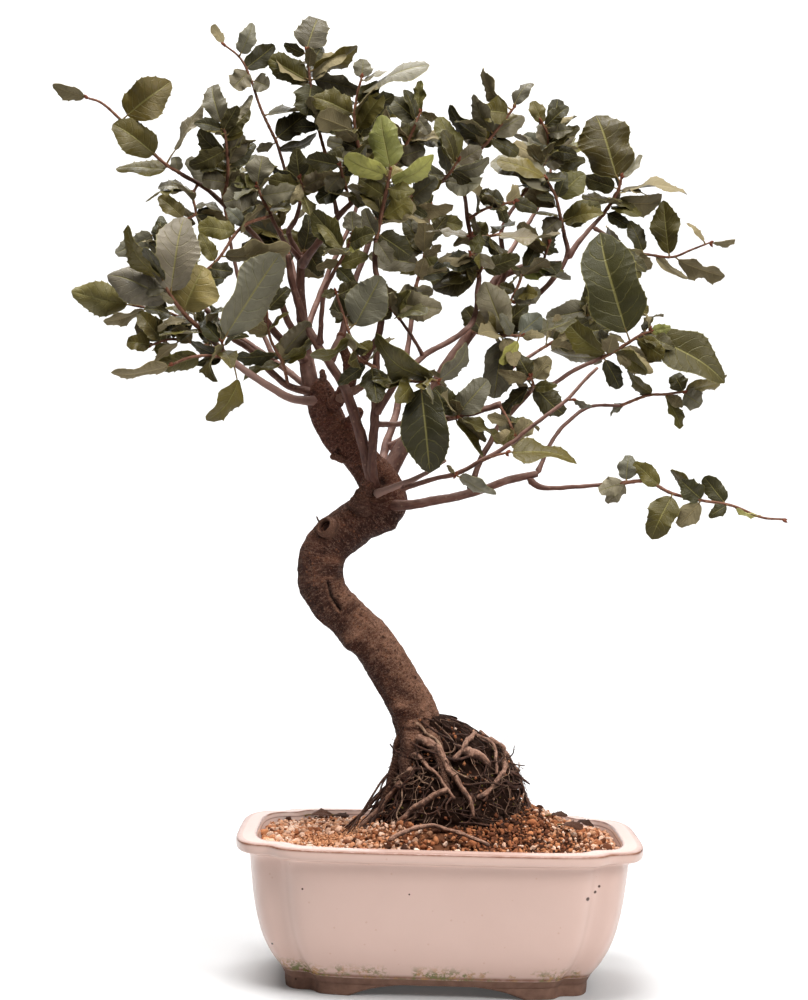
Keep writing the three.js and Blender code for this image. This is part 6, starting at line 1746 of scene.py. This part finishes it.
def add_root_flare(mesh):
    """The bark that runs down from the trunk over the mat."""
    for seed, row in enumerate(ROOT_FLARE):
        sinks = FLARE_SINK * np.linspace(row["from"], row["to"], len(row["at"]))
        at = [[x, z, root_mass_front(x, z) + sink] for (x, z), sink in zip(row["at"], sinks)]
        add_limb(mesh, {**row, "at": at}, FLARE_NOISE + seed, FLARE_STYLE, slot=BARK, blunt=True)


def add_thick_roots(mesh):
    """The thick roots in front, the one that arches over the soil, and plainer ones round the back."""
    skin = {"tint": THICK_ROOT_TINT, "slot": ROOT, "blunt": True}
    for seed, row in enumerate(FRONT_ROOTS):
        at = [[x, z, root_mass_front(x, z)] for x, z in row["at"]]
        add_limb(mesh, {**row, "at": at}, THICK_ROOT_NOISE + seed, THICK_ROOT_STYLE, **skin)
    add_limb(mesh, ARCH_ROOT, ARCH_NOISE, ARCH_STYLE, **skin)
    random = seeded_random(TREE_SEED)
    for i in range(ROUND_ROOTS):
        path, shares = smooth_path(round_root(i, random), np.arange(ROUND_ROOT_POINTS), ROUND_ROOT_GAP)
        path = path + ROUND_ROOT_STRAY * strayed(path, ROUND_ROOT_NOISE + 3 * i)
        grid, out = tube_grid(path, ROUND_ROOT_RADIUS - ROUND_ROOT_TAPER * shares, ROUND_ROOT_SIDES)
        push = sum(height * rough(grid, size, ROUND_ROOT_NOISE + 10 * k + i)
                   for k, (size, height) in enumerate(ROUND_ROOT_LUMPS))
        add_tube(mesh, grid + out * push[..., None], tint=THICK_ROOT_TINT, slot=ROOT)


def build_tree(materials):
    trunk = Mesh()
    add_trunk(trunk)
    add_branches(trunk)
    for scar in BRANCH_SCARS:
        add_branch_scar(trunk, *scar)
    add_root_flare(trunk)
    add_thick_roots(trunk)
    made = trunk.build("trunk_and_limbs", materials)
    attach(made, "root")
    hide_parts("tree")
    mat = Mesh()
    random = np.random.default_rng(TREE_SEED)
    add_root_core(mat)
    for add_part in (add_fine_roots, add_root_stubs, add_root_fan, add_root_hairs, add_root_grit):
        add_part(mat, random)
    made = mat.build("root_mat", materials)
    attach(made, "root")
    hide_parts("tree")


# Pot

POT_LENGTH = 255
POT_WIDTH = 196
POT_SQUARENESS = 4.4
POT_NOTCH_DEPTH = 4.5
POT_NOTCH_SPREAD = 9
POT_SIDES = 192
# How much of a line is cut off at each end where a profile is rounded
CORNER_CUT = 0.25
# Height and inset of the pot's wall: up the outside and over the rim, then down the inside to the floor
POT_OUTSIDE = [[7.4, 31.5], [12.4, 29], [19.7, 23.1], [34, 16.2], [53, 11.8], [74, 9.3], [83.5, 8.6],
               [85.4, 6.5], [86.2, 1.2], [87.4, 0.1], [92.0, 0.1], [92.8, 0.8], [93.3, 6], [93.4, 11]]
POT_INSIDE = [[93.3, 12.4], [92.2, 13.1], [53, 18.3], [26, 25.5], [16.5, 32], [14, 37]]
INSIDE_SEEN = (84, 93)
INSIDE_ROW_GAP = 0.4
# Where the glaze runs thin: heights and breadths of the rim's two edges, and of the line inside
OUTER_EDGE, OUTER_EDGE_INSET = (92.2, 0.8), 4
INNER_EDGE, INNER_EDGE_INSET = (93.1, 0.6), 10
INSIDE_LINE, INSIDE_LINE_SHARE = (90.3, 0.35), 0.9
GLAZE_LINE = 12.6
GLAZE_LINE_BREADTH = 1.3
GLAZE_END = 2.2
INSIDE_GLAZE_END = (80, 84)
BARE_TINT = [0, 1, 0, 1]
FOOT_HEIGHT = 7.4
# Height of a foot's rows, and how far they spread round the corner
FOOT_SPREADS = [[0, 0.5], [4.4, 0.62], [8.6, 0.8]]
FOOT_POINTS = 24
FOOT_INSET = 32.1
FOOT_INNER_INSET = 46.5
FLOOR_TOP = 14
DRAIN_RADIUS = 7
DRAIN_OFFSET = 52
DRAIN_SIDES = 48
DRILL_OVERSHOOT = 3


def pot_outline(angle, inset):
    """A point of the pot's outline seen from above, set in from its rim."""
    half_length, half_width = POT_LENGTH / 2 - inset, POT_WIDTH / 2 - inset
    cos, sin = np.cos(angle), np.sin(angle)
    power = 2 / POT_SQUARENESS
    notch = POT_NOTCH_DEPTH * hill(np.degrees(angle) % 90, 45, POT_NOTCH_SPREAD)
    return np.stack([np.sign(cos) * (half_length * np.abs(cos) ** power - notch),
                     np.sign(sin) * (half_width * np.abs(sin) ** power - notch)], axis=-1)


def pot_ring(angles, z, inset):
    return np.column_stack([pot_outline(angles, inset), np.full(len(angles), z)])


def rounded(rows, times):
    """A profile with its corners cut, over and over."""
    rows = np.array(rows, float)
    for _ in range(times):
        first, second = rows[:-1], rows[1:]
        near, far = 1 - CORNER_CUT, CORNER_CUT
        cut = np.stack([near * first + far * second, far * first + near * second], axis=1)
        rows = np.vstack([rows[0], cut.reshape(-1, rows.shape[1]), rows[-1]])
    return rows


def filled(rows, gap, low, high):
    """A profile with more rows between two heights."""
    made = [rows[0]]
    for row in rows[1:]:
        count = 1
        if low < row[0] < high or low < made[-1][0] < high:
            count = max(1, math.ceil(abs(row[0] - made[-1][0]) / gap))
        made += [made[-1] + (row - made[-1]) * (i + 1) / count for i in range(count)]
    return np.array(made)


def pot_marks(rows, outside_count):
    """For each row of the profile: red for thin glaze, green for bare clay and blue for the inside."""
    z, inset = rows[:, 0], rows[:, 1]
    outside = np.arange(len(rows)) < outside_count
    outer_edge = outside * hill(z, *OUTER_EDGE) * (inset < OUTER_EDGE_INSET)
    inner_edge = ~outside * hill(z, *INNER_EDGE) * (inset > INNER_EDGE_INSET)
    line = ~outside * INSIDE_LINE_SHARE * hill(z, *INSIDE_LINE)
    foot_line = outside * hill(z, GLAZE_LINE, GLAZE_LINE_BREADTH)
    thin = np.clip(outer_edge + inner_edge + line + foot_line, 0, 1)
    bare = 1 - np.where(outside, ease(z, GLAZE_LINE - GLAZE_END, GLAZE_LINE), ease(z, *INSIDE_GLAZE_END))
    return np.column_stack([thin, bare, ~outside, np.ones(len(rows))])


def add_foot(mesh, corner):
    """A low foot that follows the pot's corner."""
    rings = []
    for z, spread in rounded(FOOT_SPREADS, 2):
        swing = np.linspace(-spread, spread, FOOT_POINTS)
        rings.append(np.vstack([pot_ring(corner + swing, z, FOOT_INSET),
                                pot_ring(corner + swing[::-1], z, FOOT_INNER_INSET)]))
    add_tube(mesh, np.array(rings), tint=BARE_TINT)


def drill_holes(pot):
    """The two drainage holes in the pot's floor."""
    drills = Mesh()
    for side in (-1, 1):
        heights = (FOOT_HEIGHT - DRILL_OVERSHOOT, FLOOR_TOP + DRILL_OVERSHOOT)
        path = np.array([[side * DRAIN_OFFSET, 0, z] for z in heights])
        add_plain_tube(drills, path, DRAIN_RADIUS, DRAIN_SIDES, BARE_TINT)
    drill = drills.build("drill", [])
    cut = pot.modifiers.new("holes", "BOOLEAN")
    cut.object, cut.operation, cut.solver = drill, "DIFFERENCE", "EXACT"
    seen = pot.evaluated_get(bpy.context.evaluated_depsgraph_get())
    pot.data = bpy.data.meshes.new_from_object(seen)
    pot.modifiers.clear()
    bpy.data.objects.remove(drill)


def build_pot(materials):
    mesh = Mesh()
    inside = filled(rounded(POT_INSIDE, 2), INSIDE_ROW_GAP, *INSIDE_SEEN)
    outside = rounded(POT_OUTSIDE, 3)
    rows = np.vstack([outside, inside])
    grid = np.array([pot_ring(circle(POT_SIDES), z, inset) for z, inset in rows])
    marks = np.repeat(pot_marks(rows, len(outside)), POT_SIDES, axis=0)
    add_tube(mesh, grid, tint=np.vstack([marks, BARE_TINT, BARE_TINT]))
    body = mesh.build("glazed_pot", materials)
    drill_holes(body)
    feet = Mesh()
    for quarter in range(4):
        add_foot(feet, (quarter + 0.5) * math.pi / 2)
    for made in (body, feet.build("pot_feet", materials)):
        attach(made, "root")
        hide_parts("pot")


# Soil

SOIL_LEVEL = 88.5
MOUND_HEIGHT = 24
MOUND_CENTRE_X = 20
MOUND_REACH_X = 66
MOUND_REACH_Y = 50
MOUND_STEEPNESS_X = 3.5
MOUND_STEEPNESS_Y = 2.5
SOIL_INSET = 14.2
SOIL_SIDES = 220
SOIL_ROWS = 84
SOIL_MIDDLE = 0.004
SOIL_LUMPS = [[6, 0.7], [2.6, 0.7]]
SOIL_SMOOTH_EDGE = 0.02
SOIL_WALL = [[70, 16.5], [50, 19.5], [26, 26.5], [18, 33]]
# How far the bed lies under the stones
GRAVEL_BED = 2.8
GRAVEL_STONES = 3700
GRAVEL_TRIES = 60000
GRAVEL_EDGE = 2
STONE_GAP = 0.7
GRAVEL_RADII = (1.2, 3.6)
SMALL_STONES = 1.2
SAND_RADII = (0.8, 1.5)
STONE_SINK = 0.35
STONE_LIFTS = (-0.2, 0.9)
# Stones over this radius and nearer than this depth are rounder
FINE_GRIT = 1.5
ROUND_STONES_TO = 30
ROOT_MARGIN = 0.3
# Where the loam is dark and crumbly, and where orange sand lies: middle x and y, reach in x and y
LOAM_PATCH = [42, -50, 62, 46]
SAND_PATCH = [-70, -22, 16, 18]
SAND_SHARE = 1.4
DARK_STONES = 0.12
DARK_CRUMBS = 0.85
CRUMB_FINENESS = 0.35
CLODS = 0.16
CLOD_SIZE = 1.5
LOAM_COLOUR = rgb(70, 42, 29)
SAND_COLOUR = rgb(138, 88, 59)
SAND_COLOURS = [rgb(190, 132, 94), rgb(178, 118, 80), rgb(200, 146, 108)]
# Dead leaves on the soil: x, y, heading in degrees and length
FALLEN_LEAVES = [[-86, 74, 8, 17], [-70, 77, -25, 12], [70, -12, 15, 12], [76, -24, -30, 15],
                 [88, 20, -25, 13]]
FALLEN_LEAF = {"tone": "dead", "bow": 0.1, "twist": 0.7}
FALLEN_SLENDERNESS = 0.45
FALLEN_RISE = 0.04
FALLEN_LEAN = 0.25
FALLEN_LIFT = 1.6
FALLEN_STALK = 3


def soil_height(x, y):
    mound = np.exp(-np.abs((x - MOUND_CENTRE_X) / MOUND_REACH_X) ** MOUND_STEEPNESS_X)
    return SOIL_LEVEL + MOUND_HEIGHT * mound * np.exp(-np.abs(y / MOUND_REACH_Y) ** MOUND_STEEPNESS_Y)


def in_root_mass(x, y, z, margin):
    centre, half_length, half_width = root_mass_at(z)
    return np.hypot((x - centre) / (half_length + margin), y / (half_width + margin)) < 1


def in_patch(patch, x, y):
    """1 in the middle of a patch of the bed, 0 well outside it."""
    middle_x, middle_y, reach_x, reach_y = patch
    return np.exp(-(((x - middle_x) / reach_x) ** 2) - ((y - middle_y) / reach_y) ** 2)


def build_soil(materials):
    """The bed of loam, from its middle out to the pot's wall and down along it."""
    mesh = Mesh()
    angles = circle(SOIL_SIDES)
    rows = []
    for share in np.linspace(SOIL_MIDDLE, 1, SOIL_ROWS):
        flat = pot_outline(angles, SOIL_INSET) * share
        rows.append(np.column_stack([flat, soil_height(flat[:, 0], flat[:, 1]) - GRAVEL_BED]))
    top = np.array(rows)
    inwards = 1 - np.linspace(0, 1, SOIL_ROWS)
    top[..., 2] += lumpy(top, SOIL_LUMPS, SOIL_NOISE) * ease(inwards, 0, SOIL_SMOOTH_EDGE)[:, None]
    points, faces = capped(np.concatenate([top, [pot_ring(angles, z, inset) for z, inset in SOIL_WALL]]))
    loamy = in_patch(LOAM_PATCH, points[:, 0], points[:, 1])[:, None]
    mesh.add(points, faces, tint=np.array(SAND_COLOUR) * (1 - loamy) + np.array(LOAM_COLOUR) * loamy)
    made = mesh.build("loam", materials)
    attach(made, "root")
    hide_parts("soil")


def stone_try(random):
    """A stone's place and radius, and whether it is sand."""
    angle = random.uniform(0, 2 * math.pi)
    x, y = pot_outline(angle, SOIL_INSET + GRAVEL_EDGE) * math.sqrt(random.uniform(0, 1))
    sandy = random.uniform(0, 1) < SAND_SHARE * in_patch(SAND_PATCH, x, y)
    small, large = GRAVEL_RADII
    radius = small + (large - small) * random.uniform(0, 1) ** SMALL_STONES
    radius = radius * (1 - CRUMB_FINENESS * in_patch(LOAM_PATCH, x, y))
    return x, y, random.uniform(*SAND_RADII) if sandy else radius, sandy


def add_stone(mesh, shapes, x, y, radius, sandy, random):
    """A stone of the colours that lie in its place, some dark ones in larger clods."""
    dark = random.uniform(0, 1) < DARK_STONES + DARK_CRUMBS * in_patch(LOAM_PATCH, x, y)
    colour = pick(SAND_COLOURS if sandy else LOAM_COLOURS if dark else GRAIN_COLOURS, random)
    if dark and random.uniform(0, 1) < CLODS:
        radius *= CLOD_SIZE
    z = float(soil_height(x, y)) - STONE_SINK * radius + random.uniform(*STONE_LIFTS)
    shape = shapes[1] if y < ROUND_STONES_TO and radius > FINE_GRIT else shapes[0]
    add_grain(mesh, shape, np.array([x, y, z]), radius, colour, random)


def build_gravel(materials):
    """Loose stones over the loam: tan and orange at the sides, dark crumbs to the right of the middle."""
    random = np.random.default_rng(SOIL_SEED)
    mesh = Mesh()
    shapes = [grain_shape(1), grain_shape(2)]
    stones = np.zeros((GRAVEL_STONES, 3))
    count = 0
    for _ in range(GRAVEL_TRIES):
        x, y, radius, sandy = stone_try(random)
        if count == GRAVEL_STONES or in_root_mass(x, y, soil_height(x, y), radius * ROOT_MARGIN):
            continue
        away = np.hypot(x - stones[:count, 0], y - stones[:count, 1])
        if np.any(away < STONE_GAP * (radius + stones[:count, 2])):
            continue
        stones[count] = x, y, radius
        count += 1
        add_stone(mesh, shapes, x, y, radius, sandy, random)
    made = mesh.build("gravel", materials)
    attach(made, "root")
    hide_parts("soil")


def build_fallen_leaves(materials):
    """Dead, curled leaves that lie on the soil."""
    random = np.random.default_rng(SOIL_SEED)
    mesh = Mesh()
    for x, y, heading, length in FALLEN_LEAVES:
        angle = math.radians(heading)
        along = unit(np.array([math.cos(angle), math.sin(angle), FALLEN_RISE]))
        across = unit(np.array([-math.sin(angle), math.cos(angle), FALLEN_LEAN]))
        start = np.array([x, y, float(soil_height(x, y)) + FALLEN_LIFT])
        leaf = {**FALLEN_LEAF, "start": start, "along": along, "across": across,
                "normal": np.cross(along, across), "length": length, "width": length * FALLEN_SLENDERNESS}
        add_leaf(mesh, leaf, start - along * FALLEN_STALK, random)
    made = mesh.build("fallen_leaves", materials)
    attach(made, "root")


# Light and camera

# Name, place, point aimed at, size in metres and power in watts
SOFTBOXES = [
    ["key", (1.0, -1.2, 1.3), (0.0, 0.0, 0.25), (0.9, 0.9), 27],
    ["top", (-0.3, -0.5, 3.0), (0.0, 0.0, 0.3), (1.5, 1.2), 122],
    ["backdrop", (0.0, 1.5, 2.3), (0.0, 2.3, 0.3), (2.2, 0.9), 85],
]
SKY_LIGHT, SKY_FROM = 0.2, 0.8
GROUND_LIGHT, GROUND_FROM = 0.03, -0.3
# The paper sweep, in metres
SWEEP_PAPER = (0.56, 0.60)
SWEEP_GLOW = 0.06
SWEEP_GAP = 0.0002
SWEEP_FRONT = 0.5
SWEEP_BACK = 2.8
SWEEP_RADIUS = 0.7
SWEEP_HEIGHT = 1.4
SWEEP_HALF = 1.2
SWEEP_STEPS = 12


def build_stage():
    """A pale sweep: floor, curve and back wall in one sheet."""
    floor, bend = float(cad_low[2]) - SWEEP_GAP, SWEEP_BACK - SWEEP_RADIUS
    profile = [[-SWEEP_FRONT, floor], [bend, floor]]
    for i in range(1, SWEEP_STEPS):
        angle = math.pi / 2 * i / SWEEP_STEPS
        profile.append([bend + SWEEP_RADIUS * math.sin(angle), floor + SWEEP_RADIUS * (1 - math.cos(angle))])
    profile += [[SWEEP_BACK, floor + SWEEP_RADIUS], [SWEEP_BACK, floor + SWEEP_HEIGHT]]
    points = [(x, y, z) for y, z in profile for x in (-SWEEP_HALF, SWEEP_HALF)]
    faces = [(2 * i, 2 * i + 1, 2 * i + 3, 2 * i + 2) for i in range(len(profile) - 1)]
    mesh = bpy.data.meshes.new("sweep")
    mesh.from_pydata(points, [], faces)
    mesh.polygons.foreach_set("use_smooth", [True] * len(faces))
    mesh.materials.append(paper_material())
    linked(bpy.data.objects.new("sweep", mesh))


def add_softbox(name, place, aim, size, power):
    light = bpy.data.lights.new(name, "AREA")
    light.shape = "RECTANGLE"
    light.size, light.size_y = size
    light.energy = power
    made = linked(bpy.data.objects.new(name, light))
    made.location = place
    made.rotation_euler = (Vector(aim) - Vector(place)).to_track_quat("-Z", "Y").to_euler()


def build_light():
    """The softboxes, and a world that is brighter above than below."""
    for softbox in SOFTBOXES:
        add_softbox(*softbox)
    world = bpy.data.worlds.new("studio")
    world.use_nodes = True
    tree = world.node_tree
    height = result(tree, "ShaderNodeTexCoord", output="Generated").parts()[2]
    inputs = {0: height, 1: GROUND_FROM, 2: SKY_FROM, 3: GROUND_LIGHT, 4: SKY_LIGHT}
    background = tree.nodes["Background"].inputs
    tree.links.new(result(tree, "ShaderNodeMapRange", inputs).socket, background["Strength"])
    background["Color"].default_value = (1, 1, 1, 1)
    bpy.context.scene.world = world
    bpy.context.scene.view_settings.view_transform = "Standard"


def build_camera():
    camera = bpy.data.cameras.new("camera")
    camera.lens, camera.sensor_width = LENS, SENSOR
    camera.clip_start, camera.clip_end = SEEN_NEAREST, SEEN_FARTHEST
    made = linked(bpy.data.objects.new("camera", camera))
    eye = POT_MIDDLE + np.array([EYE_X, -EYE_DISTANCE, EYE_HEIGHT]) * MM
    upright = Matrix.Rotation(math.pi / 2, 4, "X")
    made.matrix_world = Matrix.Translation(eye) @ upright @ Matrix.Rotation(EYE_ROLL, 4, "Z")
    bpy.context.scene.camera = made


leaf_materials = [leaf_material("leaf_top", False), leaf_material("leaf_underside", True), twig_material()]
build_shoots(leaf_materials)
build_tree([bark_material(), limb_material(), root_material(), grit_material("root_grit", 0.95, 0.6, 1.2)])
build_soil([grit_material("dark_loam", 0.95, 0.8, 1.4)])
build_gravel([grit_material("fired_grit", 0.92, 0.3, 1.0)])
build_fallen_leaves(leaf_materials)
build_pot([glaze_material()])
for side in ("left", "right"):
    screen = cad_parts["drainage_screen_" + side]
    screen.data.materials.clear()
    screen.data.materials.append(screen_material())
build_stage()
build_light()
build_camera()
